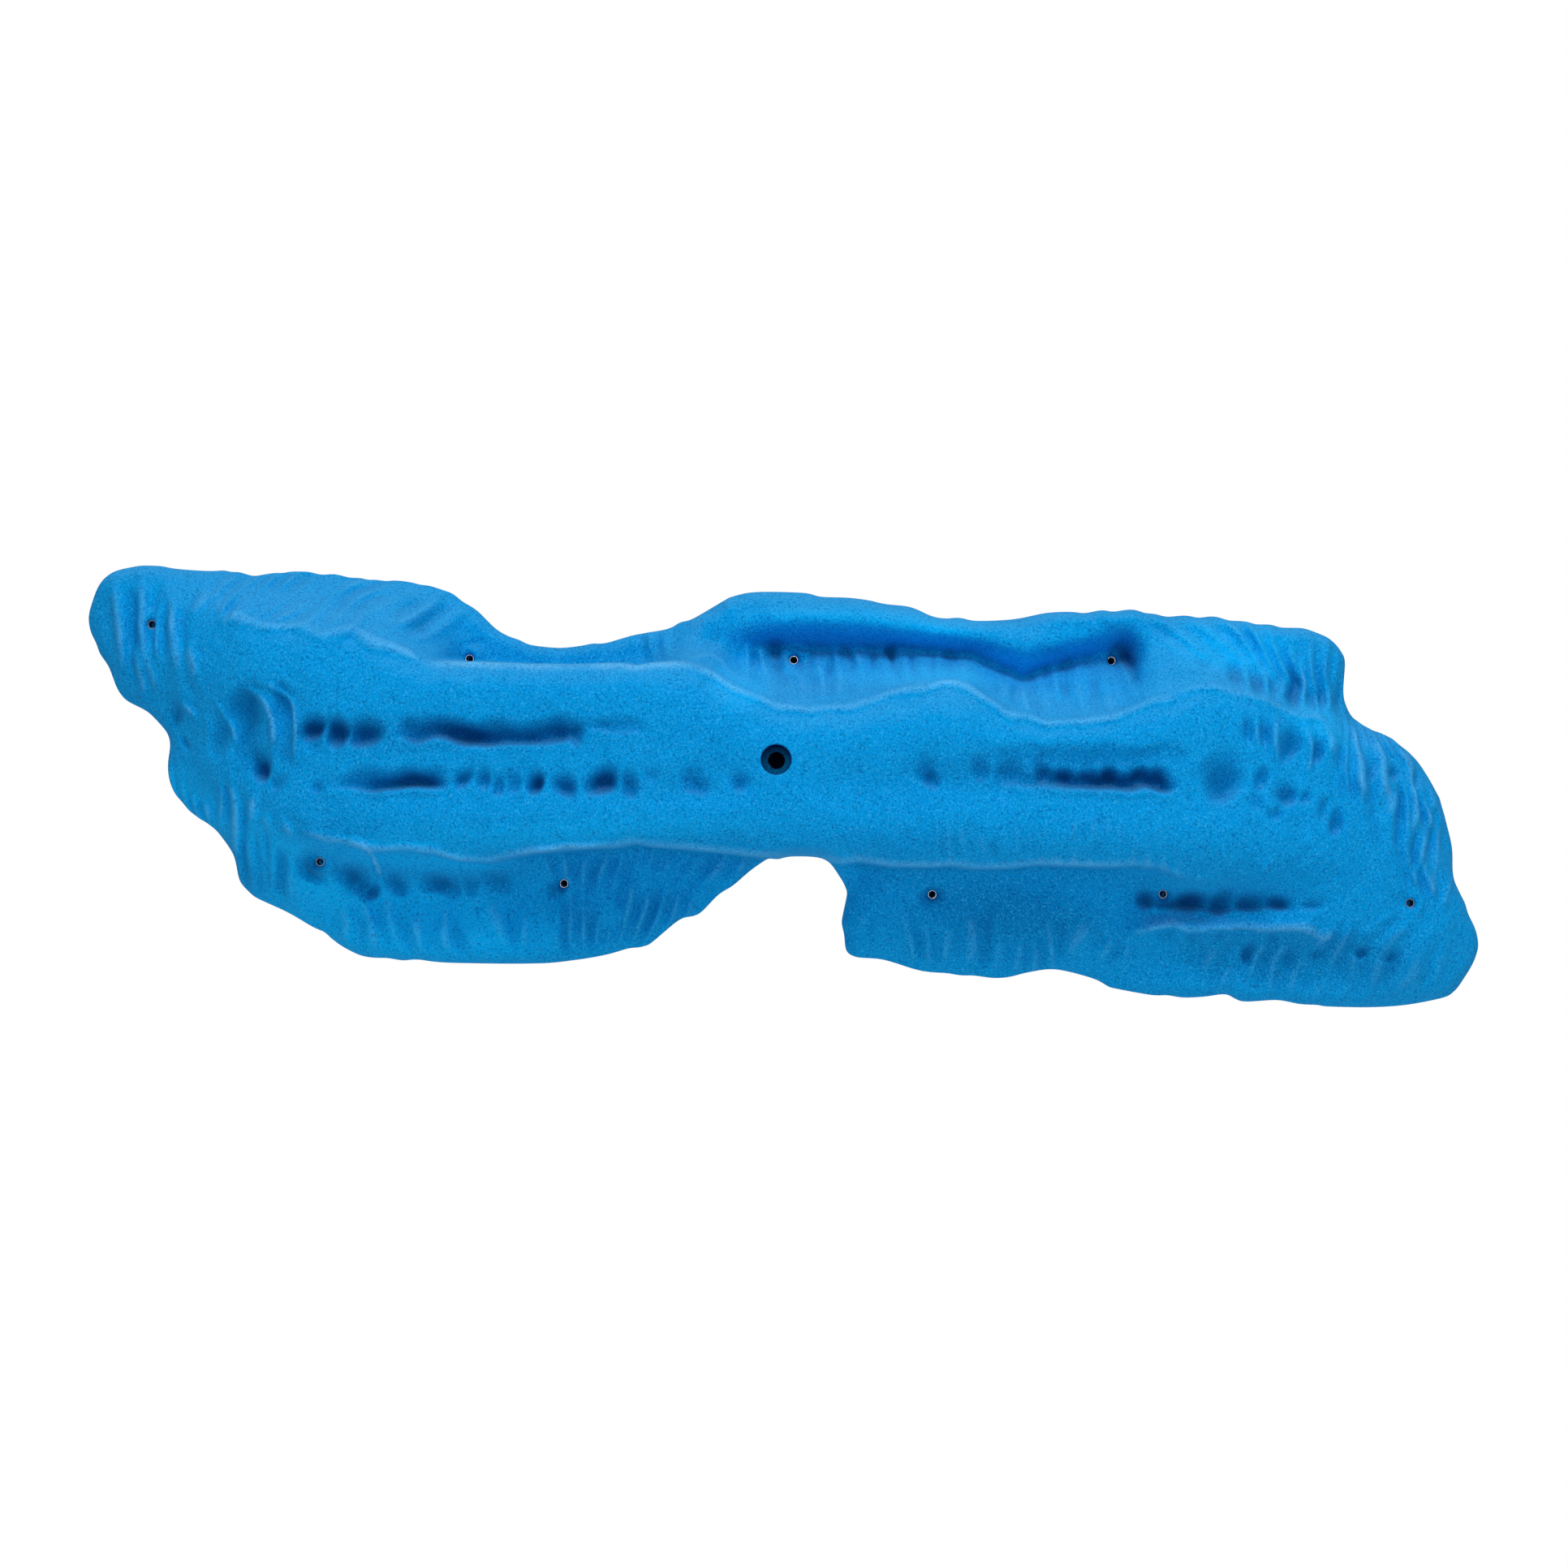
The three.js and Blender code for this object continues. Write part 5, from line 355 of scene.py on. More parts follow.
    ("cr2", 9.5, 2.8, [[233.5, -117.6, 1], [246.8, -115.1, 3], [260.3, -113.4, 4], [268, -112.1, 4], [282.4, -115.2, 3.6], [297.4, -112.9, 4.2], [308.6, -114.6, 4.2], [329.9, -113.9, 4.2], [351.5, -114.9, 4.2], [368.1, -118.3, 3.6], [384.7, -121, 1.6]]),
    ("cr2b", 5.6, 4.5, [[384.1, -116.5, 0.8], [400.7, -115.5, 1.6], [417.4, -114.5, 0.8]]),
]
# finger dimples, [x, z, height, radius]
DIMPLES = [
    [140.1, -8.6, -2, 5], [-308.3, 19.3, -1, 5],
]
# finger scoops: x, z, depth, half width, half length, lean, side of the deep end (degrees)
SCOOPS = [
    [-353.1, 31.4, -9, 12.3, 21.2, -14, 250], [-344.1, -2, -9, 9.5, 12.3, 0, 60], [-351.7, 16.9, -6, 12.3, 28, -17, 70], [-326.7, 32.2, -7, 8.4, 19, -5, 280], [-325.9, 11.4, -4, 7.3, 19, -5, 60], [-372.2, 20.9, -6, 7.8, 20.1, -15, 60], [-410.1, 33, -7, 10.1, 11.2, -35, 45], [-345.3, -6.3, -6, 8.4, 7.3, 0, 60],
    [-306, 21.9, -15, 8.4, 11.2, -8, 80], [-289.9, 20.8, -16, 8.9, 12.3, -8, 80], [-270.2, 18.6, -14, 14, 11.2, 0, 85], [-140.4, 21.1, -7, 12.3, 8.4, 10, 60], [-130.3, 18.5, -8, 6.7, 11.2, -12, 70], [-205.2, -10.7, -9, 5.6, 8.9, -25, 70], [-193.5, -13.4, -8, 5.6, 8.4, -25, 70], [-182.8, -15, -7, 5, 7.3, -20, 70],
    [-172.1, -12.8, -6, 5.6, 8.4, -10, 90], [-159.3, -14.4, -14, 7.3, 8.4, -20, 60], [-139.1, -15.5, -10, 9.5, 9.5, -10, 70], [-115.1, -12.9, -16, 10.6, 12.9, -35, 60], [-95.4, -13.9, -8, 6.7, 9.5, 0, 90], [-81.5, -8.6, -4, 6.7, 6.7, 0, 90], [-54.9, -10.2, -6.5, 7.8, 11.2, -5, 90], [-48, -16, -5, 5.6, 6.7, -20, 80],
    [-24.1, -12.9, -6.5, 6.7, 7.8, 0, 90], [98, -4.9, -7, 7.3, 13.4, -5, 90], [103.4, -12.9, -7, 6.1, 7.8, -20, 90], [133.1, -4.4, -6.5, 7.3, 11.2, 0, 90], [152.3, -6.5, -6.5, 9.5, 10.1, 0, 90], [174.2, -4.9, -6, 6.7, 10.1, 0, 90], [189.7, -8.1, -5, 5.6, 8.9, 0, 90], [204.2, -6.5, -4, 5.6, 10.1, 0, 90],
    [219.1, -7.5, -6, 5, 10.1, 0, 90], [236.3, -7, -4, 5.6, 8.9, 0, 90], [252.5, -8, -4, 5.6, 7.8, 0, 90], [320.3, -11.7, -7, 6.1, 8.9, -30, 70], [316.7, -24.6, -4, 4.5, 8.9, 10, 90], [336.4, -21.4, -9, 10.1, 8.4, -40, 50], [350.5, -25.2, -5, 4.5, 5, 0, 90], [330.5, -35.4, -5, 5.6, 6.7, -20, 60],
    [364.7, -30.6, -5, 5, 8.9, -20, 80], [373.7, -39.3, -8, 6.1, 10.6, -15, 70], [346.2, -39.7, -2.5, 7.8, 7.8, 0, 90], [308, 60.4, -7, 6.1, 11.7, 0, 90], [321.8, 54.8, -8, 6.1, 13.4, -4, 90], [335.5, 51.7, -5, 5, 12.3, -8, 90], [349.5, 51.4, -10, 6.7, 17.3, -6, 60], [360.5, 43.1, -7, 4.5, 10.6, 0, 90],
    [368, 44.9, -8, 4.5, 13.4, -5, 60], [381.1, 49.1, -6, 5.6, 21.2, 0, 90], [289, 66.2, -3, 7.8, 7.8, 0, 90], [312.1, 23.1, -5, 5, 11.2, -6, 90], [324.4, 20, -6, 5, 11.7, -8, 80], [341.4, 14.1, -9, 7.8, 16.8, -15, 80], [360.6, 8.3, -9, 6.1, 10.6, -20, 80], [376.1, 6.2, -4, 4.5, 12.3, -5, 90],
    [401.1, -1.8, -5, 5, 13.4, -8, 90], [418.3, -7.8, -7, 5.6, 7.3, 0, 90], [436.2, -11.6, -6, 5, 7.8, -10, 90], [-312.1, -69.6, -10, 12.9, 13.4, 10, 110], [-291.6, -76.3, -7, 9.5, 9.5, 0, 90], [-283.2, -78.5, -8, 7.3, 13.4, -30, 60], [-277.2, -85.9, -9, 8.4, 8.4, 0, 60], [-258.3, -82, -8, 8.4, 10.1, 0, 90],
    [-233, -79.7, -8, 10.1, 11.2, -20, 60], [-222.9, -84.3, -6, 10.1, 8.9, 0, 60], [-207.1, -82.6, -6, 6.7, 10.1, 0, 90], [-188.6, -80.4, -7, 14, 9.5, 0, 90], [-147.6, -85.2, -10, 9.5, 8.4, 20, 130], [106.3, -91.8, -9, 8.9, 8.4, 0, 90], [427.2, -95.3, -4, 9.5, 6.7, 0, 110], [-209.4, 69.1, -3, 7.8, 7.8, 0, 90],
    [11.8, 72.7, -3, 8.4, 7.3, 0, 90], [250.1, -91.4, -7, 6.7, 9.5, 0, 90], [262.5, -95.8, -5, 7.3, 7.3, 0, 90], [280.3, -91.4, -7, 10.1, 12.3, 0, 90], [298.7, -92.4, -6, 8.4, 10.1, 0, 90], [318.2, -92.4, -5, 10.1, 10.1, 0, 90], [336.6, -95.1, -6, 8.4, 5.6, 0, 60], [357.5, -98.3, -4, 7.3, 5, 0, 90],
    [264.4, -120.6, -4, 6.1, 7.8, 0, 270], [282.3, -121.6, -4, 7.3, 7.3, 0, 270], [299.7, -122.7, -4, 6.1, 7.3, 0, 270], [320.4, -127.4, -5, 5, 10.6, 0, 90], [334.6, -122.6, -5, 5, 6.7, 0, 270], [349.6, -129.4, -3, 5.6, 12.3, 0, 90], [365.6, -128.1, -5, 5.6, 7.8, 0, 90], [394.9, -127.9, -7, 5.6, 5.6, -20, 60],
    [414.4, -132.9, -5, 6.7, 5.6, 0, 60], [-331, -13.9, -5, 6.7, 7.3, 0, 90], [-303.8, -17.1, -5, 6.1, 5.6, 0, 90], [-304, 9.6, -4, 6.7, 6.7, 0, 90], [237.1, 74.8, -10, 11.7, 13.4, 10, 60], [0.2, 75.9, -5, 6.7, 7.8, 0, 60], [76.7, 75.4, -5, 7.3, 7.3, 0, 60], [294.9, -8, -10, 16.2, 20.7, -10, 80],
]
# soft ripples running out in fans: centre of the fan, spacing (degrees), height, phase, feather, region
RIPPLES = [
    (-430.9, -28.9, 3.900, 3.30, 0.00, 9.0, [[-400.6, 126.6], [-364.7, 129.5], [-299.5, 127.9], [-223.9, 112.7], [-203.5, 81.6], [-226.5, 72.1], [-249.3, 83.9], [-288, 86], [-330.4, 93.1], [-378, 97.2]]),
    (-132.4, -238.0, 4.000, 2.50, 0.60, 9.0, [[-160.2, -65.5], [-108.7, -62.5], [-8.9, -64.6], [-23.3, -90.8], [-59.5, -115.8], [-87.3, -128.6], [-148.2, -130.5]]),
    (-191.1, -348.1, 4.100, 2.00, 1.20, 10.0, [[-349.3, -101.9], [-279.4, -92.7], [-197.4, -96.8], [-159.9, -106.9], [-160.2, -132.6], [-292.9, -132.8], [-344.8, -113.3]]),
    (370.7, -25.0, 6.000, 2.70, 0.00, 8.0, [[254.7, 96.1], [311.1, 96.6], [378.7, 83.7], [388.3, 48.2], [352.3, 46.4], [314.1, 66.7], [264.3, 74.7]]),
    (392.0, 166.2, 2.800, 2.50, 0.40, 8.0, [[380.7, 31.2], [424.2, 20.6], [455.3, -18.3], [462.4, -62.7], [449.9, -90.8], [425.4, -90.4], [404.1, -40], [375.4, -15.5]]),
    (194.1, -632.6, 1.800, 1.90, 0.00, 9.0, [[288.8, -127.5], [419.9, -105.7], [462.8, -128.7], [450.1, -153.9], [351.2, -162.5], [279.4, -158.2]]),
    (158.3, 1865.6, 0.420, 1.70, 0.00, 10.0, [[56.2, -107], [118, -101.2], [211.5, -106.5], [250.6, -128.8], [218.9, -149.1], [163.3, -146.4], [60.2, -129.6]]),
    (124.8, -1823.8, 0.440, 2.40, 0.50, 6.0, [[-28.5, 77.2], [123.3, 74.5], [136.3, 60.8], [104.7, 55.3], [83.2, 53.4], [50.2, 40.9], [7.3, 38.6], [-22.4, 50.9]]),
    (191.8, 1418.4, 0.550, 2.60, 0.20, 6.0, [[156, 56.1], [212.5, 67.7], [236.7, 67.4], [239.4, 49.9], [232.7, 36.8], [206.1, 30.2], [171.3, 32.4], [151.4, 43.5]]),
    (163.9, -2159.2, 0.270, 0.60, 0.50, 9.0, [[92.2, -42.1], [214.7, -39.4], [269.2, -60.9], [309.3, -74.8], [205.3, -67.4], [98.2, -65.2]]),
    (-414.7, -817.6, 0.700, 2.30, 0.90, 9.0, [[-463.2, 32.1], [-417, 6.7], [-399.3, -21], [-358.3, -40.1], [-333.6, -61.9], [-348.1, -93.2], [-371.2, -85.1], [-401.1, -60.2], [-429.5, -26.7], [-453.1, 1.4]]),
    (-451.0, 1027.1, 0.900, 2.20, 0.20, 9.0, [[-451.6, 108.9], [-408.5, 116.7], [-389.6, 79.7], [-387.6, 41.7], [-422.7, 47.9], [-451.6, 75.8]]),
    (-76.5, -314.5, 2.300, 1.90, 0.00, 7.0, [[-109.5, 87.5], [-70.5, 104.1], [-28.6, 111.6], [-11.9, 89.1], [-42, 75], [-92.5, 72.7]]),
]
# broad zones of painted light (positive strength) and painted shade (negative strength): x, z, half width, half
# height, lean, strength
ZONES = [
    (-263.1, -109.3, 111.8, 30.7, -4.0, 0.90),
    (-175.3, -117.9, 44.7, 19.0, -0.0, 0.45),
    (-342.0, -59.2, 61.5, 22.4, -35.0, 0.90),
    (-411.1, -35.0, 39.1, 33.5, -40.0, 0.90),
    (-237.3, -67.1, 61.5, 7.8, -3.0, 0.60),
    (-168.8, -50.2, 184.5, 10.1, 3.0, 0.50),
    (111.2, 61.6, 128.6, 14.5, -0.0, 1.00),
    (-22.5, 53.3, 23.5, 23.5, -0.0, 0.90),
    (198.9, 47.5, 61.5, 14.5, -0.0, 0.55),
    (106.3, 82.4, 25.2, 10.1, -0.0, 0.60),
    (207.7, 80.6, 25.2, 11.2, -0.0, 0.60),
    (309.4, 75.1, 53.1, 21.2, -6.0, 1.00),
    (365.3, 22.5, 28.0, 17.9, -30.0, 0.60),
    (41.8, -79.4, 14.5, 24.6, -0.0, 0.60),
    (156.6, -103.9, 72.7, 22.4, -6.0, -0.60),
    (182.8, -8.6, 106.2, 15.7, -0.0, -0.50),
    (354.3, -131.1, 95.0, 25.2, -0.0, -0.50),
    (-189.4, 16.4, 167.7, 14.5, -0.0, -0.25),
    (-258.9, 16.4, 67.1, 16.8, -0.0, -0.30),
    (-83.1, -18.2, 61.5, 8.9, -0.0, -0.30),
    (62.1, 93.5, 109.0, 10.1, -3.0, 0.45),
]
SCREWS = [(-423.5, 92.2), (-209.4, 69.4), (11.8, 68.8), (229.8, 68.5), (-307.1, -68.4), (-145.1, -84.1), (106.4, -91.6), (261.6, -90.6), (427.6, -96.4)]
# heights off the wall that each ferrule spans
INSERT_SPANS = [(19.58, 31.58), (6.92, 18.92), (2.30, 13.19), (2.30, 7.46), (35.88, 47.88), (5.42, 17.42), (5.03, 17.03), (23.66, 35.66), (30.19, 42.19)]
# deep is the dark blue of the grain pits and of the painted shade in hollows and grooves
COLORS = {"mid": (0, 137, 207), "deep": (0, 44, 112), "light": (4, 146, 216), "pale": (126, 190, 236), "dust_and_sheen": (112, 188, 238), "painted_light_blue": (0, 166, 239), "speck": (52, 179, 240)}
LIGHTS = {
    "sky": (0.10, 0.95),            # studio brightness from below and from above
    "boxes": [
        ("key_high", (0.35, -2.05, 2.05), (0, 0, 0), 1.0, 37.5, 0.8),
        ("fill_axis", (0.0, -2.9, 0.16), (0, 0, 0), 0.3, 16, 0.3),
    ],
}


# ------------------------------------------------------------------ relief
RIDGE_RUN = 4.0
RNG = np.random.default_rng(20)


def plate_fit(P, smoothing):
    n = len(P)
    d2 = ((P[:, None, :2] - P[None, :, :2]) ** 2).sum(-1) / 1e4
    K = 0.5 * d2 * np.log(d2 + 1e-12)
    K[np.arange(n), np.arange(n)] = smoothing
    A = np.zeros((n + 3, n + 3))
    A[:n, :n] = K
    A[:n, n] = 1
    A[:n, n + 1:] = P[:, :2] / 100
    A[n, :n] = 1
    A[n + 1:, :n] = (P[:, :2] / 100).T
    b = np.zeros(n + 3)
    b[:n] = P[:, 2]
    return np.linalg.solve(A, b)


def plate(P, w, Q):
    out = np.empty(len(Q))
    n = len(P)
    for i in range(0, len(Q), 20000):
        q = Q[i:i + 20000]
        d2 = ((q[:, 0, None] - P[None, :, 0]) ** 2 + (q[:, 1, None] - P[None, :, 1]) ** 2) / 1e4
        out[i:i + 20000] = (0.5 * d2 * np.log(d2 + 1e-12)) @ w[:n] + w[n] + (q / 100) @ w[n + 1:]
    return out


def near_line(Q, line, closed):
    n = len(line)
    best = np.full(len(Q), 1e18)
    seg = np.zeros(len(Q), int)
    par = np.zeros(len(Q))
    side = np.zeros(len(Q))
    for k in range(n if closed else n - 1):
        a = line[k]
        b = line[(k + 1) % n]
        ab = b - a
        L = (ab ** 2).sum()
        if L < 1e-12:
            continue
        t = np.clip(((Q - a) @ ab) / L, 0, 1)
        d = ((Q - a - t[:, None] * ab) ** 2).sum(1)
        u = d < best
        best[u] = d[u]
        seg[u] = k
        par[u] = t[u]
        side[u] = (ab[0] * (Q[u, 1] - a[1]) - ab[1] * (Q[u, 0] - a[0]))
    return np.sqrt(best), seg, par, side


def is_inside(Q, loop):
    return depth_in(Q, loop) > 0


_LOOPS = {}


def depth_in(Q, loop):
    """Distance inside a closed smooth loop, negative outside."""
    loop = np.asarray(loop)
    key = (len(loop), float(loop[0][0]), float(loop[1][1]))
    if key not in _LOOPS:
        a = loop
        b = np.roll(loop, -1, 0)
        L = np.linalg.norm(b - a, axis=1)
        area = 0.5 * np.sum(a[:, 0] * b[:, 1] - b[:, 0] * a[:, 1])
        nor = np.stack([-(b - a)[:, 1], (b - a)[:, 0]], 1) / L[:, None] * (1 if area > 0 else -1)
        pts, nrm = [], []
        for k in range(len(loop)):
            n = max(1, int(math.ceil(L[k] / 0.25)))
            t = (np.arange(n)[:, None] + 0.5) / n
            pts.append(a[k] * (1 - t) + b[k] * t)
            nrm.append(np.repeat(nor[k][None], n, 0))
        pts = np.vstack(pts)
        nrm = np.vstack(nrm)
        kd = KDTree(len(pts))
        for i, p in enumerate(pts):
            kd.insert((p[0], p[1], 0.0), i)
        kd.balance()
        _LOOPS[key] = (kd, pts, nrm)
    kd, pts, nrm = _LOOPS[key]
    idx = np.fromiter((kd.find((x, z, 0.0))[1] for x, z in Q), int, len(Q))
    v = Q - pts[idx]
    along = (v * nrm[idx]).sum(1)
    d = np.linalg.norm(v, axis=1)
    return np.where(d < 0.3, along, np.where(along >= 0, d, -d))


def smooth(t):
    t = np.clip(t, 0, 1)
    return t * t * (3 - 2 * t)


def waves(Q, length, seed, count=14):
    """Smooth wandering field of unit size with that wavelength."""
    r = np.random.default_rng(seed)
    ang = r.uniform(0, 2 * math.pi, count)
    k = 2 * math.pi / (length * r.uniform(0.7, 1.5, count))
    ph = r.uniform(0, 2 * math.pi, count)
    out = np.zeros(len(Q))
    for i in range(count):
        out += np.sin((Q[:, 0] * math.cos(ang[i]) + Q[:, 1] * math.sin(ang[i])) * k[i] + ph[i])
    return out / math.sqrt(count / 2)


def curve_through(P, step):
    """Resampled smooth line through the points."""
    P = np.asarray(P, float)
    if len(P) < 3:
        n = max(2, int(np.linalg.norm(P[-1, :2] - P[0, :2]) / step))
        t = np.linspace(0, 1, n + 1)[:, None]
        return P[0] * (1 - t) + P[-1] * t
    ext = np.vstack([2 * P[0] - P[1], P, 2 * P[-1] - P[-2]])
    out = []
    for k in range(1, len(ext) - 2):
        p0, p1, p2, p3 = ext[k - 1:k + 3]
        n = max(1, int(round(np.linalg.norm(p2[:2] - p1[:2]) / step)))
        for s in range(n):
            t = s / n
            out.append(0.5 * (2 * p1 + (p2 - p0) * t + (2 * p0 - 5 * p1 + 4 * p2 - p3) * t * t
                              + (3 * p1 - p0 - 3 * p2 + p3) * t ** 3))
    out.append(P[-1])
    return np.array(out)


def closed_curve(P, step):
    P = np.asarray(P, float)
    n = len(P)
    out = []
    for k in range(n):
        p0, p1, p2, p3 = P[(k - 1) % n], P[k], P[(k + 1) % n], P[(k + 2) % n]
        c = max(1, int(round(np.linalg.norm(p2 - p1) / step)))
        for s in range(c):
            t = s / c
            out.append(0.5 * (2 * p1 + (p2 - p0) * t + (2 * p0 - 5 * p1 + 4 * p2 - p3) * t * t
                              + (3 * p1 - p0 - 3 * p2 + p3) * t ** 3))
    out = np.array(out)
    for _ in range(2):
        out = (np.roll(out, 1, 0) + 2 * out + np.roll(out, -1, 0)) / 4
    return out


RIDGE_PTS = np.array(RIDGE_HEIGHTS)
FLANGE_PTS = np.array(FLANGE_HEIGHTS)
RIDGE_W = plate_fit(RIDGE_PTS, 0.004)
FLANGE_W = plate_fit(FLANGE_PTS, 0.002)
EDGE = closed_curve(OUTLINE, 1.6)
LIP = np.array(RIDGE_EDGE)
STROKE_LINES = []
for name, left, right, pts in STROKES:
    c = curve_through(pts, 2.5)
    run = np.r_[0, np.cumsum(np.linalg.norm(np.diff(c[:, :2], axis=0), axis=1))]
    end = min(14.0, 0.42 * run[-1])
    fade = smooth(run / end) * smooth((run[-1] - run) / end)
    amp = c[:, 2] * (0.12 + 0.88 * fade)
    STROKE_LINES.append((name, left, right, c[:, :2], amp))


def body(Q):
    share = smooth((depth_in(Q, LIP) + RIDGE_RUN) / RIDGE_RUN)
    f = plate(FLANGE_PTS, FLANGE_W, Q)
    r = plate(RIDGE_PTS, RIDGE_W, Q)
    return f + (r - f) * share


def detail_parts(Q):
    """Raised and sunk detail laid on the body: grooves, folds, ripples, dimples and finger scoops."""
    W = Q + 0.9 * np.stack([waves(Q, 26, 3), waves(Q, 26, 4)], 1)
    up = np.zeros(len(Q))
    down = np.zeros(len(Q))
    for name, left, right, line, amp in STROKE_LINES:
        reach = max(left, right) + 1
        lo = line.min(0) - reach
        hi = line.max(0) + reach
        m = ((W >= lo) & (W <= hi)).all(1)
        if not m.any():
            continue
        d, seg, par, side = near_line(W[m], line, False)
        a = amp[seg] * (1 - par) + amp[np.minimum(seg + 1, len(amp) - 1)] * par
        w = np.where(side > 0, left, right)
        t = np.clip(d / w, 0, 1)
        v = a * (1 - t * t) ** 2
        up[m] += np.maximum(v, 0)
        down[m] += np.minimum(v, 0)
    for x, z, a, r in DIMPLES:
        d = np.hypot((W[:, 0] - x) * 1.12, (W[:, 1] - z) * 0.92)
        t = np.clip(d / (1.25 * r), 0, 1)
        down += 0.9 * a * (1 - t * t) ** 2
    for x, z, a, wide, tall, lean, deep in SCOOPS:
        c, s = math.cos(math.radians(lean)), math.sin(math.radians(lean))
        dx = W[:, 0] - x
        dz = W[:, 1] - z
        u = (dx * c + dz * s) / (1.15 * wide)
        v = (-dx * s + dz * c) / (1.15 * tall)
        rr = np.clip(1 - u * u - v * v, 0, 1)
        side = (dx * math.cos(math.radians(deep)) - dz * math.sin(math.radians(deep))) / max(wide, tall)
        down += 1.2 * a * rr ** 1.35 * (0.62 + 0.6 * np.clip(side, -1, 1))
    return up, down


def ripples(Q):
    """Soft ripples of the moulding: height and a -1..1 crest measure."""
    W = Q + 1.5 * np.stack([waves(Q, 48, 11), waves(Q, 48, 12)], 1)
    wander = waves(Q, 60, 13)
    uneven = 0.75 + 0.35 * waves(Q, 40, 14)
    h = np.zeros(len(Q))
    tint = np.zeros(len(Q))
    for cx, cz, turn, amp, phase, feather, region in RIPPLES:
        poly = np.array(region)
        m = ((Q > poly.min(0) - feather) & (Q < poly.max(0) + feather)).all(1)
        if not m.any():
            continue
        q = W[m]
        d = near_line(q, poly, True)[0]
        within = np.zeros(len(q), bool)
        for k in range(len(poly)):
            (x1, y1), (x2, y2) = poly[k], poly[(k + 1) % len(poly)]
            if y1 != y2:
                within ^= ((y1 > q[:, 1]) != (y2 > q[:, 1])) & (q[:, 0] < (x2 - x1) * (q[:, 1] - y1) / (y2 - y1) + x1)
        share = smooth(0.5 + np.where(within, d, -d) / (2 * feather))
        turned = np.degrees(np.arctan2(q[:, 0] - cx, np.abs(q[:, 1] - cz)))
        s = 0.5 + 0.5 * np.sin(2 * math.pi * turned / turn + phase + 0.9 * wander[m])
        s = 2 * s ** 1.2 - 0.93
        s = s * share * np.clip(uneven[m], 0.25, 1.3)
        h[m] += amp * s
        tint[m] += s
    return h, tint


def detail(Q):
    up, down = detail_parts(Q)
    return up + down + ripples(Q)[0]


HOLES = [(0.0, 0.0, 10.0, 1.4)] + [(x, z, 3.0, 2.6) for x, z in SCREWS]


def surface(Q):
    h = body(Q) + detail(Q)
    h = h + 0.5 * waves(Q, 34, 5) + 0.22 * waves(Q, 15, 6)
    for (x, z), (lo, hi) in zip(SCREWS, INSERT_SPANS):      # the ferrules stay covered
        near = np.hypot(Q[:, 0] - x, Q[:, 1] - z)
        h = h + np.maximum(hi + 3.5 - h, 0) * smooth((13 - near) / 7)
    d = depth_in(Q, EDGE)
    t = np.clip(d / 9.0, 0, 1)
    h = np.maximum(h, 4.5) * (0.30 + 0.70 * np.sqrt(1 - (1 - t) ** 2))
    for x, z, r, f in HOLES:
        q = np.clip((np.hypot(Q[:, 0] - x, Q[:, 1] - z) - r) / f, 0, 1)
        h = h - f * (1 - np.sqrt(1 - (1 - q) ** 2))
    return h, d


# ------------------------------------------------------------------ mesh points
def hexagons(step, loop):
    lo = loop.min(0)
    hi = loop.max(0)
    rows = []
    j = 0
    z = lo[1]
    while z < hi[1]:
        x = np.arange(lo[0] + (0.5 * step if j % 2 else 0), hi[0], step)
        rows.append(np.stack([x, np.full(len(x), z)], 1))
        z += step * 0.866
        j += 1
    return np.vstack(rows)


def offsets(loop, dists):
    """Rows of points running inside the outline at those distances."""
    tan = np.roll(loop, -2, 0) - np.roll(loop, 2, 0)
    tan /= np.linalg.norm(tan, axis=1, keepdims=True)
    area = 0.5 * np.sum(loop[:, 0] * np.roll(loop[:, 1], -1) - np.roll(loop[:, 0], -1) * loop[:, 1])
    nor = np.stack([-tan[:, 1], tan[:, 0]], 1) * (1 if area > 0 else -1)
    out = []
    for d in dists:
        P = loop + nor * d
        out.append(P[np.abs(depth_in(P, loop) - d) < 0.12 * d + 0.03])
    return np.vstack(out)


def ring(x, z, r, n, turn=0.0):
    a = np.arange(n) * 2 * math.pi / n + turn
    return np.stack([x + r * np.cos(a), z + r * np.sin(a)], 1)


def triangulate(loops, points):
    """Triangles over the outline (first loop) with the other loops as holes. Returns vertices, faces and each loop's vertex numbers."""
    verts = [Vector(p) for L in loops for p in L] + [Vector(p) for p in points]
    edges = []
    base = 0
    for L in loops:
        edges += [(base + k, base + (k + 1) % len(L)) for k in range(len(L))]
        base += len(L)
    v, e, f, ov, oe, of = delaunay_2d_cdt(verts, edges, [], 0, 1e-5)
    V = np.array([(p[0], p[1]) for p in v])
    F = np.array(f)
    back = {}
    for k, src in enumerate(ov):
        for s in src:
            back[s] = k
    ids = []
    base = 0
    for L in loops:
        ids.append([back[base + k] for k in range(len(L))])
        base += len(L)
    C = V[F].mean(1)
    keep = depth_in(C, np.asarray(loops[0])) > 0
    for L in loops[1:]:
        L = np.asarray(L)
        c = L.mean(0)
        near = np.hypot(*(C - c).T) < np.hypot(*(L - c).T).max() + 1
        keep[near] &= np.hypot(*(C[near] - c).T) > np.hypot(*(L - c).T).min() * 0.97
    for k in range(1, len(loops)):                      # nothing spans the mouth of a hole
        on = np.zeros(len(V), bool)
        on[ids[k]] = True
        keep &= ~on[F].all(1)
    F = F[keep]
    A = V[F]
    cr = (A[:, 1, 0] - A[:, 0, 0]) * (A[:, 2, 1] - A[:, 0, 1]) - (A[:, 2, 0] - A[:, 0, 0]) * (A[:, 1, 1] - A[:, 0, 1])
    F[cr < 0] = F[cr < 0][:, ::-1]
    used = np.unique(F)
    renum = np.full(len(V), -1)
    renum[used] = np.arange(len(used))
    return V[used], renum[F], [[int(renum[k]) for k in q] for q in ids]


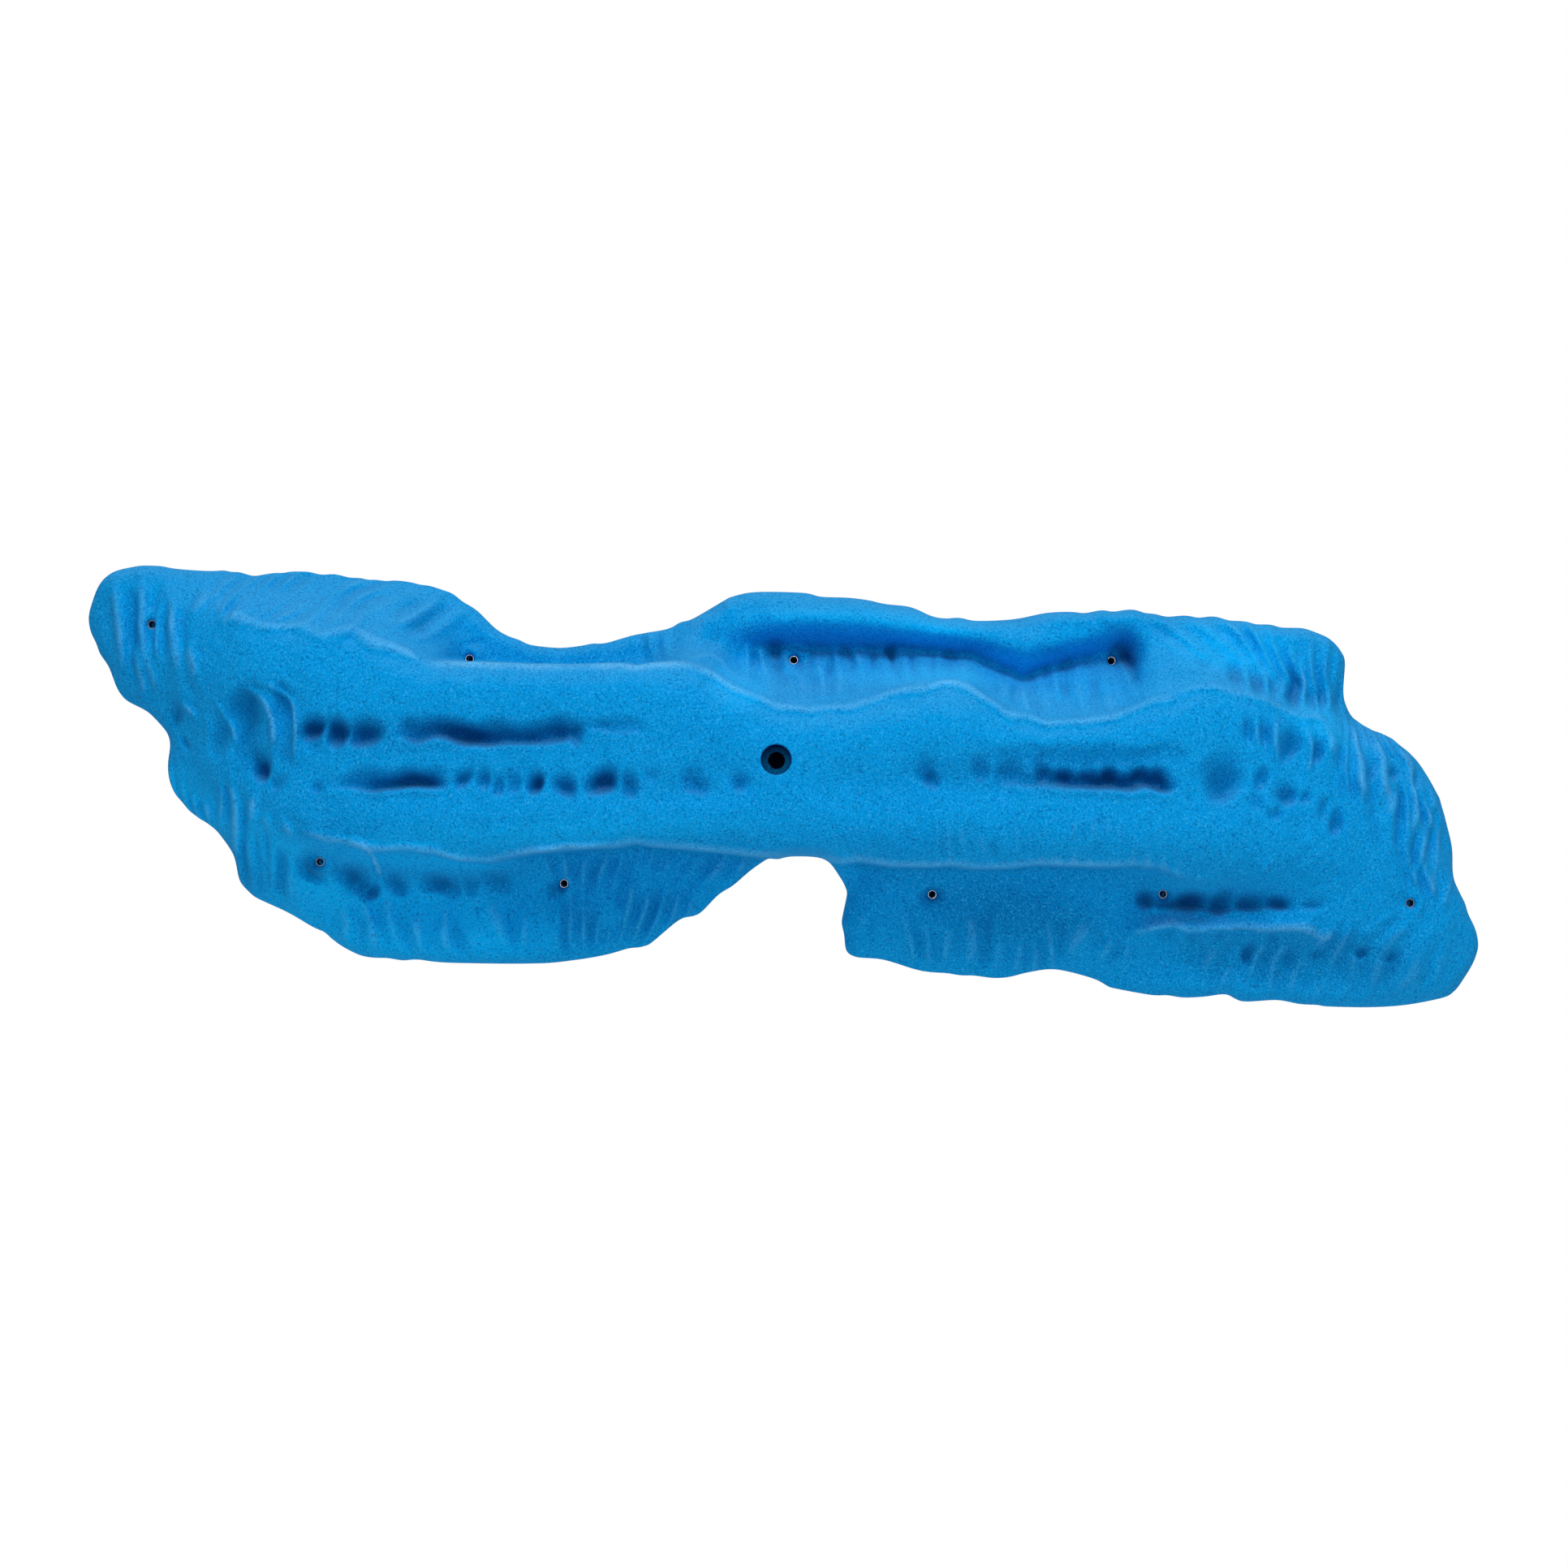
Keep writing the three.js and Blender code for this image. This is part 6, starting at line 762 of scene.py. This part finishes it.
STEP = 1.9
lattice = hexagons(STEP, EDGE)
din = depth_in(lattice, EDGE)
lattice = lattice[din > 3.3]
for x, z, r, f in HOLES:
    lattice = lattice[np.hypot(lattice[:, 0] - x, lattice[:, 1] - z) > r + f + 0.9]

# extra rows where the ridge drops steeply to the flanges
lip = closed_curve(LIP, 1.9)
nlip = np.roll(lip, -2, 0) - np.roll(lip, 2, 0)
nlip /= np.linalg.norm(nlip, axis=1, keepdims=True)
sgn = 1 if np.sum(lip[:, 0] * np.roll(lip[:, 1], -1) - np.roll(lip[:, 0], -1) * lip[:, 1]) > 0 else -1
nlip = np.stack([-nlip[:, 1], nlip[:, 0]], 1) * sgn
drop = plate(RIDGE_PTS, RIDGE_W, lip) - plate(FLANGE_PTS, FLANGE_W, lip - nlip * 3)
steep = (drop > 14) & (depth_in(lip, EDGE) > 2.0)
bank = []
for k, d in enumerate((-4.6, -4.0, -3.45, -2.95, -2.5, -2.05, -1.6, -1.15, -0.6, 0.1, 1.0)):
    bank.append(lip[steep] + nlip[steep] * d)
bank = np.vstack(bank)
dl = depth_in(bank, EDGE)
bank = bank[dl > 3.3]
for x, z, r, f in HOLES:
    bank = bank[np.hypot(bank[:, 0] - x, bank[:, 1] - z) > r + f + 0.6]
sd = depth_in(lattice, lip)
band_pts = np.nonzero((sd > -5.2) & (sd < 1.7))[0]
drop_all = lattice[band_pts][:, None, :] - lip[None, ::2, :]
hit = steep[::2][(drop_all ** 2).sum(2).argmin(1)]
keep = np.ones(len(lattice), bool)
keep[band_pts[hit]] = False
lattice = lattice[keep]

top_points = [lattice, bank, offsets(EDGE, (0.35, 0.9, 1.7, 2.6))]
top_loops = [EDGE]
for x, z, r, f in HOLES:
    n = 72 if r > 8 else 40
    top_loops.append(ring(x, z, r, n))
    for q in (0.12, 0.35, 0.65, 1.0, 1.35):
        top_points.append(ring(x, z, r + f * q, n, math.pi / n if q in (0.35, 1.0) else 0))
T2, TF, TL = triangulate(top_loops, np.vstack(top_points))
TH, TD = surface(T2)

# ---------------------------------------------------------------- hollow back
GX = np.arange(EDGE[:, 0].min() - 8, EDGE[:, 0].max() + 12, 4.0)
GZ = np.arange(EDGE[:, 1].min() - 8, EDGE[:, 1].max() + 12, 4.0)
gx, gz = np.meshgrid(GX, GZ)
flat = np.stack([gx.ravel(), gz.ravel()], 1)
body_grid = np.where(depth_in(flat, EDGE) > 0, body(flat) + detail_parts(flat)[1], 0).reshape(gx.shape)


def blur(a, n):
    for _ in range(n):
        a = (np.roll(a, 1, 0) + 2 * a + np.roll(a, -1, 0)) / 4
        a = (np.roll(a, 1, 1) + 2 * a + np.roll(a, -1, 1)) / 4
    return a


low = body_grid.copy()
for dx in range(-3, 4):
    for dz in range(-3, 4):
        if dx * dx + dz * dz <= 10:
            low = np.minimum(low, np.roll(np.roll(body_grid, dz, 0), dx, 1))
hollow = blur(low, 3) - 10.0


def grid_at(a, Q):
    u = np.clip((Q[:, 0] - GX[0]) / 4.0, 0, len(GX) - 1.001)
    v = np.clip((Q[:, 1] - GZ[0]) / 4.0, 0, len(GZ) - 1.001)
    i = u.astype(int)
    j = v.astype(int)
    u -= i
    v -= j
    return (a[j, i] * (1 - u) * (1 - v) + a[j, i + 1] * u * (1 - v) + a[j + 1, i] * (1 - u) * v + a[j + 1, i + 1] * u * v)


BOSSES = [(0.0, 0.0, 23.0)] + [(x, z, 12.5) for x, z in SCREWS]


def cavity(Q):
    c = np.maximum(grid_at(hollow, Q) - 4, 0)
    d = depth_in(Q, EDGE) - 15.0
    wall = np.where(d > 0, 4.5 * d, 0)
    for x, z, r in BOSSES:
        q = np.hypot(Q[:, 0] - x, Q[:, 1] - z) - r
        wall = np.minimum(wall, np.where(q > 0, 9.0 * q, 0))
    k = 5.0
    h = np.clip(0.5 + 0.5 * (wall - c) / k, 0, 1)
    m = wall * (1 - h) + c * h - k * h * (1 - h)
    return np.where((wall <= 0) | (c <= 0), 0, np.maximum(m, 0))


under = hexagons(4.2, EDGE)
ud = depth_in(under, EDGE)
under = under[ud > 22]
keep = np.ones(len(under), bool)
for x, z, r in BOSSES:
    keep &= np.hypot(under[:, 0] - x, under[:, 1] - z) > r + 9
under = under[keep]
rimrows = offsets(EDGE[::2], (7.5, 14.9, 15.1, 16.5, 18.5))
ok = np.ones(len(rimrows), bool)
for x, z, r in BOSSES:
    ok &= np.hypot(rimrows[:, 0] - x, rimrows[:, 1] - z) > r + 1.0
rimrows = rimrows[ok]
under_points = [under, rimrows]
bottom_loops = [EDGE]
BORES = [(0.0, 0.0, 5.75, 72)] + [(x, z, 2.5, 40) for x, z in SCREWS]
for x, z, r, n in BORES:
    bottom_loops.append(ring(x, z, r, n))
for n, (x, z, r) in enumerate(BOSSES):
    for d in (-0.4, 0.05, 1.2, 2.8, 4.8, 7.4):
        P = ring(x, z, r + d, 48 if n == 0 else 30, 0.05 * d)
        P = P[depth_in(P, EDGE) > 2]
        for m, (x2, z2, r2) in enumerate(BOSSES):
            if m != n:
                P = P[np.hypot(P[:, 0] - x2, P[:, 1] - z2) > r2 + 1]
        under_points.append(P)
B2, BF, BL = triangulate(bottom_loops, np.vstack(under_points))
BC = cavity(B2)

# ------------------------------------------------------------- close the shell
verts = [(p[0], -h, p[1]) for p, h in zip(T2, TH)]
faces = [tuple(f) for f in TF]            # seen from the front (-Y), x right and z up, they run anticlockwise
nt = len(verts)
verts += [(p[0], -c, p[1]) for p, c in zip(B2, BC)]
faces += [tuple(nt + k for k in f[::-1]) for f in BF]


def band(a, b):
    """Quads between two rings of vertex numbers, a in front of b."""
    n = len(a)
    for k in range(n):
        faces.append((a[k], b[k], b[(k + 1) % n], a[(k + 1) % n]))


def new_ring(points):
    s = len(verts)
    verts.extend(points)
    return list(range(s, s + len(points)))


area = 0.5 * np.sum(EDGE[:, 0] * np.roll(EDGE[:, 1], -1) - np.roll(EDGE[:, 0], -1) * EDGE[:, 1])
edge_top = TL[0]
edge_low = [nt + k for k in BL[0]]
mid = new_ring([(EDGE[k][0], 0.5 * verts[edge_top[k]][1], EDGE[k][1]) for k in range(len(EDGE))])
soft = new_ring([(EDGE[k][0], -min(0.8, 0.2 * abs(verts[edge_top[k]][1])), EDGE[k][1]) for k in range(len(EDGE))])
if area < 0:
    for q in (edge_top, mid, soft, edge_low):
        q.reverse()
band(edge_top, mid)
band(mid, soft)
band(soft, edge_low)


def bore(top_ids, x, z, profile, low_ids, n):
    """Wall of a hole from its rim to the back, through rings of (radius, height off the wall)."""
    prev = list(top_ids)
    rims = []
    for r, y in profile:
        rims.append(new_ring([(x + r * math.cos(2 * math.pi * k / n), -y, z + r * math.sin(2 * math.pi * k / n)) for k in range(n)]))
    rims.append(list(low_ids))
    for q in rims:
        band(q, prev)
        prev = q


hs, _ = surface(np.array([[x, z] for x, z, _, _ in HOLES]) + 0.0)
base_h = body(np.array([[x, z] for x, z, _, _ in HOLES]))
RIM_CUT = []
for k, (x, z, r, f) in enumerate(HOLES):
    n = len(TL[1 + k])
    rim_y = [-verts[i][1] for i in TL[1 + k]]
    low_ids = [nt + i for i in BL[1 + k]]
    if k == 0:
        prof = [(9.95, 80), (9.9, 50), (9.9, 30.8), (9.6, 30.15), (9.1, 30.0), (7.4, 30.0), (6.2, 30.0), (5.85, 29.8), (5.75, 29.3), (5.75, 26.3), (12.3, 26.3),
                (12.3, 23.7), (5.75, 23.7), (5.75, 12)]
    else:
        lo, hi = INSERT_SPANS[k - 1]
        fl = hi + 0.05
        prof = [(2.95, fl + 0.5), (2.8, fl + 0.3), (2.8, fl + 0.12), (3.7, fl + 0.12), (3.7, lo - 0.3), (2.5, lo - 0.3), (2.5, 0.5 * (lo - 0.3))]
    bore(TL[1 + k], x, z, prof, low_ids, n)

mesh = bpy.data.meshes.new("hold_casting")
V = np.array(verts, dtype=np.float64) / 1000.0
mesh.from_pydata([tuple(v) for v in V], [], [list(map(int, f)) for f in faces])
mesh.validate()
mesh.update()
print("mesh built")
casting = bpy.data.objects.new("hold_casting", mesh)
bpy.context.scene.collection.objects.link(casting)
mesh.polygons.foreach_set("use_smooth", np.ones(len(mesh.polygons), bool))

# crisp where the mould is crisp
import bmesh
bm = bmesh.new()
bm.from_mesh(mesh)
bmesh.ops.recalc_face_normals(bm, faces=bm.faces)
inner = 0
for e in bm.edges:
    if len(e.link_faces) == 2 and e.calc_face_angle(0) > math.radians(52):
        a, b = e.verts
        if max(a.co.y, b.co.y) > -0.0005 or (np.hypot(a.co.x, a.co.z) < 0.0125):
            e.smooth = False
open_edges = sum(1 for e in bm.edges if len(e.link_faces) != 2)
vol = bm.calc_volume(signed=True)
bm.to_mesh(mesh)
bm.free()
print("casting: faces", len(mesh.polygons), "open edges", open_edges, "litres", round(vol * 1000, 3))

# -------------------------------------------------------- surface attributes
step = 2.0
AX = np.arange(EDGE[:, 0].min() - 30, EDGE[:, 0].max() + 30, step)
AZ = np.arange(EDGE[:, 1].min() - 30, EDGE[:, 1].max() + 30, step)
ax, az = np.meshgrid(AX, AZ)
fq = np.stack([ax.ravel(), az.ravel()], 1)
inm = depth_in(fq, EDGE) > -1
hf = np.zeros(len(fq))
hf[inm] = body(fq[inm]) + detail(fq[inm])
hf = hf.reshape(ax.shape)


def sample(a, Q):
    u = np.clip((Q[:, 0] - AX[0]) / step, 0, len(AX) - 1.001)
    v = np.clip((Q[:, 1] - AZ[0]) / step, 0, len(AZ) - 1.001)
    i = u.astype(int)
    j = v.astype(int)
    u = u - i
    v = v - j
    return (a[j, i] * (1 - u) * (1 - v) + a[j, i + 1] * u * (1 - v) + a[j + 1, i] * (1 - u) * v + a[j + 1, i + 1] * u * v)


# broad concavity of the relief; the material darkens broad hollows with it as painted shade
wide = blur(hf, 6) - blur(hf, 60)
allv = np.array([v.co for v in mesh.vertices]) * 1000
Q = allv[:nt, [0, 2]]
up, down = detail_parts(Q)
rim = depth_in(Q, lip)
cliff = KDTree(len(lip))
for i, p in enumerate(lip):
    cliff.insert((p[0], p[1], 0.0), i)
cliff.balance()
tall = np.clip(blur(np.tile(drop, (3, 1)), 3)[1] / 45.0, 0, 1)
at_lip = np.fromiter((tall[cliff.find((x, z, 0.0))[1]] for x, z in Q), float, len(Q))
# painted highlight along the steep ridge lips (weaker on the lower lip, away from the top light) and on raised detail,
# together with chalk rubbed there
lower = np.where(Q[:, 1] > -20, 1.0, 0.55)
c_fine = np.zeros(len(allv))
c_fine[:nt] = smooth((up - 0.8) / 4.6) * 0.75 + 1.0 * lower * at_lip * np.exp(-((rim - 0.6) / 3.0) ** 2)
tint = ripples(Q)[1]
# ripple crests paler, as painted highlight and wear
c_fine[:nt] += 0.27 * np.clip(tint, 0, 1) ** 1.2
# less the painted shade in grooves, scoops and ripple valleys
c_fine[:nt] = np.clip(c_fine[:nt], 0, 1) - np.clip((-down - 0.4) / 11.0 + 0.26 * np.clip(-tint, 0, 1), 0, 1)
c_wide = np.zeros(len(allv))
c_wide[:nt] = np.clip(sample(wide, Q) / 9.0, -1, 1)
# broad zones of painted light and painted shade, kept in the zone attribute
c_zone = np.zeros(len(allv))
for x, z, wide_, high_, lean, strength in ZONES:
    c, s = math.cos(math.radians(lean)), math.sin(math.radians(lean))
    dx, dz = Q[:, 0] - x, Q[:, 1] - z
    e = ((dx * c + dz * s) / wide_) ** 2 + ((-dx * s + dz * c) / high_) ** 2
    c_zone[:nt] += strength * smooth((1.25 - e) / 1.25)
c_zone = np.clip(c_zone, -1, 1)
for nm, val in (("crest", c_fine), ("form", c_wide), ("zone", c_zone)):
    at = mesh.attributes.new(nm, "FLOAT", "POINT")
    at.data.foreach_set("value", val.astype(np.float32))

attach(casting, "root")
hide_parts("hold_shell")


# ------------------------------------------------------------------ materials
def node(nt_, kind, x, y, **kw):
    n = nt_.nodes.new(kind)
    n.location = (x, y)
    for k, v in kw.items():
        if k == "inputs":
            for key, val in v.items():
                n.inputs[key].default_value = val
        else:
            setattr(n, k, v)
    return n


def srgb(r, g, b):
    def lin(c):
        c /= 255
        return c / 12.92 if c <= 0.04045 else ((c + 0.055) / 1.055) ** 2.4
    return (lin(r), lin(g), lin(b), 1.0)


def mix(t, a, b, fac, kind="MIX", x=0, y=0):
    m = t.nodes.new("ShaderNodeMix")
    m.data_type = "RGBA"
    m.blend_type = kind
    m.location = (x, y)
    for sock, val in ((6, a), (7, b)):
        if isinstance(val, tuple):
            m.inputs[sock].default_value = val
        else:
            t.links.new(val, m.inputs[sock])
    if isinstance(fac, (int, float)):
        m.inputs[0].default_value = fac
    else:
        t.links.new(fac, m.inputs[0])
    return m.outputs[2]


def remap(t, val, a, b, c, d, x=0, y=0):
    m = node(t, "ShaderNodeMapRange", x, y)
    m.clamp = True
    m.inputs[1].default_value = a
    m.inputs[2].default_value = b
    m.inputs[3].default_value = c
    m.inputs[4].default_value = d
    t.links.new(val, m.inputs[0])
    return m.outputs[0]


def blue_polyurethane():
    m = bpy.data.materials.new("textured_polyurethane")
    m.use_nodes = True
    t = m.node_tree
    t.nodes.clear()
    out = node(t, "ShaderNodeOutputMaterial", 900, 0)
    sh = node(t, "ShaderNodeBsdfPrincipled", 600, 0)
    t.links.new(sh.outputs[0], out.inputs[0])
    co = node(t, "ShaderNodeTexCoord", -1400, 0).outputs["Object"]
    crest = node(t, "ShaderNodeAttribute", -1400, 300, attribute_name="crest").outputs["Fac"]
    form = node(t, "ShaderNodeAttribute", -1400, 500, attribute_name="form").outputs["Fac"]

    def noise(scale, detail_, rough, x, y, dist=0.0):
        n = node(t, "ShaderNodeTexNoise", x, y)
        n.inputs["Scale"].default_value = scale
        n.inputs["Detail"].default_value = detail_
        n.inputs["Roughness"].default_value = rough
        n.inputs["Distortion"].default_value = dist
        t.links.new(co, n.inputs["Vector"])
        return n.outputs["Fac"]

    grain = noise(820, 2, 0.55, -1100, -300)          # sandpaper grain about a millimetre across
    pits = noise(620, 2, 0.5, -1100, -500)
    cloud = noise(9, 4, 0.55, -1100, 100)
    patch = noise(38, 5, 0.6, -1100, -100)
    geo = node(t, "ShaderNodeNewGeometry", -1400, -700)
    facing = node(t, "ShaderNodeSeparateXYZ", -1200, -700)
    t.links.new(geo.outputs["Normal"], facing.inputs[0])
    mid_blue = srgb(*COLORS["mid"])
    deep = srgb(*COLORS["deep"])
    light = srgb(*COLORS["light"])
    pale = srgb(*COLORS["pale"])

    def times(a, b, x, y):
        n = node(t, "ShaderNodeMath", x, y, operation="MULTIPLY")
        for sock, val in ((0, a), (1, b)):
            if isinstance(val, (int, float)):
                n.inputs[sock].default_value = val
            else:
                t.links.new(val, n.inputs[sock])
        return n.outputs[0]

    base = mix(t, mid_blue, light, remap(t, cloud, 0.35, 0.7, 0.0, 0.5), x=-600, y=200)
    zone = node(t, "ShaderNodeAttribute", -1400, 700, attribute_name="zone").outputs["Fac"]
    painted_light_blue = srgb(*COLORS["painted_light_blue"])
    # painted light: positive zones lighten broad areas towards a brighter blue
    base = mix(t, base, painted_light_blue, remap(t, zone, 0.0, 1.0, 0.0, 0.8), x=-560, y=300)
    # painted shade: negative zones darken broad areas towards the deep blue
    base = mix(t, base, deep, remap(t, zone, 0.0, -1.0, 0.0, 0.4), x=-520, y=300)
    # painted shade: broad hollows a little darker
    base = mix(t, base, deep, remap(t, form, -0.3, -1.0, 0.0, 0.10), x=-450, y=200)
    # painted shade: grooves, scoops and ripple valleys darkened towards the deep blue
    base = mix(t, base, deep, remap(t, crest, -0.05, -1.0, 0.0, 0.8), x=-300, y=200)
    # chalk dust rubbed on the crests and settled where the surface faces up, together with a painted highlight on
    # crests, lips and up-facing slopes where the top light falls
    rub_and_highlight = times(remap(t, crest, 0.10, 0.9, 0.0, 0.52), remap(t, patch, 0.3, 0.6, 0.45, 1.0), -500, 500)
    dust_and_sheen = times(remap(t, facing.outputs[2], 0.35, 0.95, 0.0, 0.17), remap(t, patch, 0.25, 0.65, 0.5, 1.0), -500, 650)
    both = node(t, "ShaderNodeMath", -350, 560, operation="ADD", use_clamp=True)
    t.links.new(rub_and_highlight, both.inputs[0])
    t.links.new(dust_and_sheen, both.inputs[1])
    grainy_dust_and_sheen = times(both.outputs[0], remap(t, grain, 0.35, 0.65, 0.55, 1.3), -250, 560)
    base = mix(t, base, srgb(*COLORS["dust_and_sheen"]), grainy_dust_and_sheen, x=-150, y=200)
    open_face = remap(t, crest, -0.7, -0.1, 0.12, 0.50, x=-700, y=-350)
    base = mix(t, base, srgb(*COLORS["speck"]), times(remap(t, grain, 0.50, 0.68, 0.0, 1.0), open_face, -500, -250), x=0, y=200)
    base = mix(t, base, deep, remap(t, pits, 0.48, 0.28, 0.0, 0.5), x=150, y=200)
    t.links.new(base, sh.inputs["Base Color"])
    t.links.new(remap(t, grain, 0.3, 0.7, 0.72, 0.9), sh.inputs["Roughness"])
    sh.inputs["IOR"].default_value = 1.46
    sh.inputs["Specular IOR Level"].default_value = 0.05
    sh.inputs["Specular Tint"].default_value = (0.35, 0.75, 1.0, 1.0)
    sh.inputs["Sheen Weight"].default_value = 0.03
    sh.inputs["Sheen Roughness"].default_value = 0.4
    sh.inputs["Sheen Tint"].default_value = (0.35, 0.75, 1.0, 1.0)
    b1 = node(t, "ShaderNodeBump", 300, -300)
    b1.inputs["Strength"].default_value = 0.85
    b1.inputs["Distance"].default_value = 0.0006
    t.links.new(grain, b1.inputs["Height"])
    b2 = node(t, "ShaderNodeBump", 100, -500)
    b2.inputs["Strength"].default_value = 0.7
    b2.inputs["Distance"].default_value = 0.0006
    t.links.new(pits, b2.inputs["Height"])
    t.links.new(b2.outputs[0], b1.inputs["Normal"])
    t.links.new(b1.outputs[0], sh.inputs["Normal"])
    return m


def turned_steel(name, seed):
    m = bpy.data.materials.new(name)
    m.use_nodes = True
    t = m.node_tree
    t.nodes.clear()
    out = node(t, "ShaderNodeOutputMaterial", 700, 0)
    sh = node(t, "ShaderNodeBsdfPrincipled", 400, 0)
    t.links.new(sh.outputs[0], out.inputs[0])
    co = node(t, "ShaderNodeTexCoord", -900, 0).outputs["Object"]
    mp = node(t, "ShaderNodeMapping", -700, 0)
    mp.inputs["Scale"].default_value = (1, 60, 1)      # turning marks run round the bore
    mp.inputs["Location"].default_value = (seed, 0, seed * 0.7)
    t.links.new(co, mp.inputs["Vector"])
    n1 = node(t, "ShaderNodeTexNoise", -500, 0, inputs={"Scale": 90.0, "Detail": 4.0})
    t.links.new(mp.outputs[0], n1.inputs["Vector"])
    n2 = node(t, "ShaderNodeTexNoise", -500, -300, inputs={"Scale": 300.0, "Detail": 3.0})
    t.links.new(co, n2.inputs["Vector"])
    # cool steel tones, tinted blue in part as a painted reflection of the blue polyurethane around the bores
    c = mix(t, (0.17, 0.21, 0.27, 1), (0.38, 0.45, 0.54, 1), n1.outputs["Fac"], x=-200, y=100)
    c = mix(t, c, (0.06, 0.08, 0.11, 1), remap(t, n2.outputs["Fac"], 0.56, 0.75, 0, 0.5), x=0, y=100)
    t.links.new(c, sh.inputs["Base Color"])
    sh.inputs["Metallic"].default_value = 1.0
    t.links.new(remap(t, n2.outputs["Fac"], 0.3, 0.7, 0.30, 0.5), sh.inputs["Roughness"])
    b = node(t, "ShaderNodeBump", 150, -300, inputs={"Strength": 0.2, "Distance": 0.0001})
    t.links.new(n1.outputs["Fac"], b.inputs["Height"])
    t.links.new(b.outputs[0], sh.inputs["Normal"])
    return m


mesh.materials.append(blue_polyurethane())
for i, (nm, o) in enumerate(sorted(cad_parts.items())):
    if nm == "hold_shell":
        continue
    steel = turned_steel("steel_" + nm, i * 0.37)
    o.data.materials.clear()
    o.data.materials.append(steel)

# -------------------------------------------------------------- stage and light
def stage_floor():
    bm = bmesh.new()
    s = 3.2
    rows = 24
    g = [[bm.verts.new((-s + 2 * s * i / rows, -s * 1.4 + 2.2 * s * j / rows, -1.25)) for j in range(rows + 1)] for i in range(rows + 1)]
    for i in range(rows):
        for j in range(rows):
            bm.faces.new((g[i][j], g[i + 1][j], g[i + 1][j + 1], g[i][j + 1]))
    me = bpy.data.meshes.new("studio_floor")
    bm.to_mesh(me)
    bm.free()
    o = bpy.data.objects.new("studio_floor", me)
    bpy.context.scene.collection.objects.link(o)
    m = bpy.data.materials.new("pale_floor")
    m.use_nodes = True
    p = m.node_tree.nodes["Principled BSDF"]
    p.inputs["Base Color"].default_value = (0.86, 0.86, 0.86, 1)
    p.inputs["Roughness"].default_value = 0.9
    me.materials.append(m)


stage_floor()


def painted_shade_discs():
    """Navy-black discs a millimetre behind the back under the open holes: painted shade seen through the bores."""
    m = bpy.data.materials.new("dark_behind_holes")
    m.use_nodes = True
    p = m.node_tree.nodes["Principled BSDF"]
    p.inputs["Base Color"].default_value = (0.001, 0.003, 0.012, 1)
    p.inputs["Roughness"].default_value = 1.0
    p.inputs["Specular IOR Level"].default_value = 0.0
    bm = bmesh.new()
    for x, z, r, n in BORES:
        ids = [bm.verts.new(((x + (r + 0.9) * math.cos(a)) / 1000, 0.0012, (z + (r + 0.9) * math.sin(a)) / 1000)) for a in np.linspace(0, 2 * math.pi, 33)[:-1]]
        bm.faces.new(ids)
    me = bpy.data.meshes.new("painted_shade_discs")
    bm.to_mesh(me)
    bm.free()
    o = bpy.data.objects.new("painted_shade_discs", me)
    bpy.context.scene.collection.objects.link(o)
    me.materials.append(m)


# painted shade seen through the open holes
painted_shade_discs()
world = bpy.data.worlds.new("studio")
bpy.context.scene.world = world
world.use_nodes = True
wt = world.node_tree
wt.nodes.clear()
w_out = node(wt, "ShaderNodeOutputWorld", 600, 0)
w_mix = node(wt, "ShaderNodeMixShader", 400, 0)
w_seen = node(wt, "ShaderNodeBackground", 200, -150)
w_seen.inputs[0].default_value = (1, 1, 1, 1)
w_seen.inputs[1].default_value = 1.0
w_lit = node(wt, "ShaderNodeBackground", 200, 50)
w_co = node(wt, "ShaderNodeTexCoord", -600, 0)
w_sep = node(wt, "ShaderNodeSeparateXYZ", -400, 0)
wt.links.new(w_co.outputs["Generated"], w_sep.inputs[0])
wt.links.new(remap(wt, w_sep.outputs[2], -0.7, 0.9, LIGHTS["sky"][0], LIGHTS["sky"][1], x=-200), w_lit.inputs[1])
w_path = node(wt, "ShaderNodeLightPath", 0, 300)
wt.links.new(w_path.outputs["Is Camera Ray"], w_mix.inputs[0])
wt.links.new(w_lit.outputs[0], w_mix.inputs[1])
wt.links.new(w_seen.outputs[0], w_mix.inputs[2])
wt.links.new(w_mix.outputs[0], w_out.inputs[0])


def softbox(name, loc, aim, size, power, size_y=None):
    d = bpy.data.lights.new(name, "AREA")
    d.shape = "RECTANGLE"
    d.size = size
    d.size_y = size_y or size
    d.energy = power
    o = bpy.data.objects.new(name, d)
    o.location = loc
    o.rotation_euler = (Vector(aim) - Vector(loc)).to_track_quat("-Z", "Y").to_euler()
    bpy.context.scene.collection.objects.link(o)
    return o


for args in LIGHTS["boxes"]:
    softbox(*args)

cam = bpy.data.cameras.new("camera")
cam.sensor_width = 36
cam.lens = 36 * 2100 / (1932 * 0.559)
cam.clip_start = 0.05
cam.clip_end = 30
co = bpy.data.objects.new("camera", cam)
co.location = (0.00514, -2.1, -0.01604)
co.rotation_euler = (math.radians(90), 0, 0)
bpy.context.scene.collection.objects.link(co)
bpy.context.scene.camera = co
bpy.context.scene.view_settings.view_transform = "Standard"
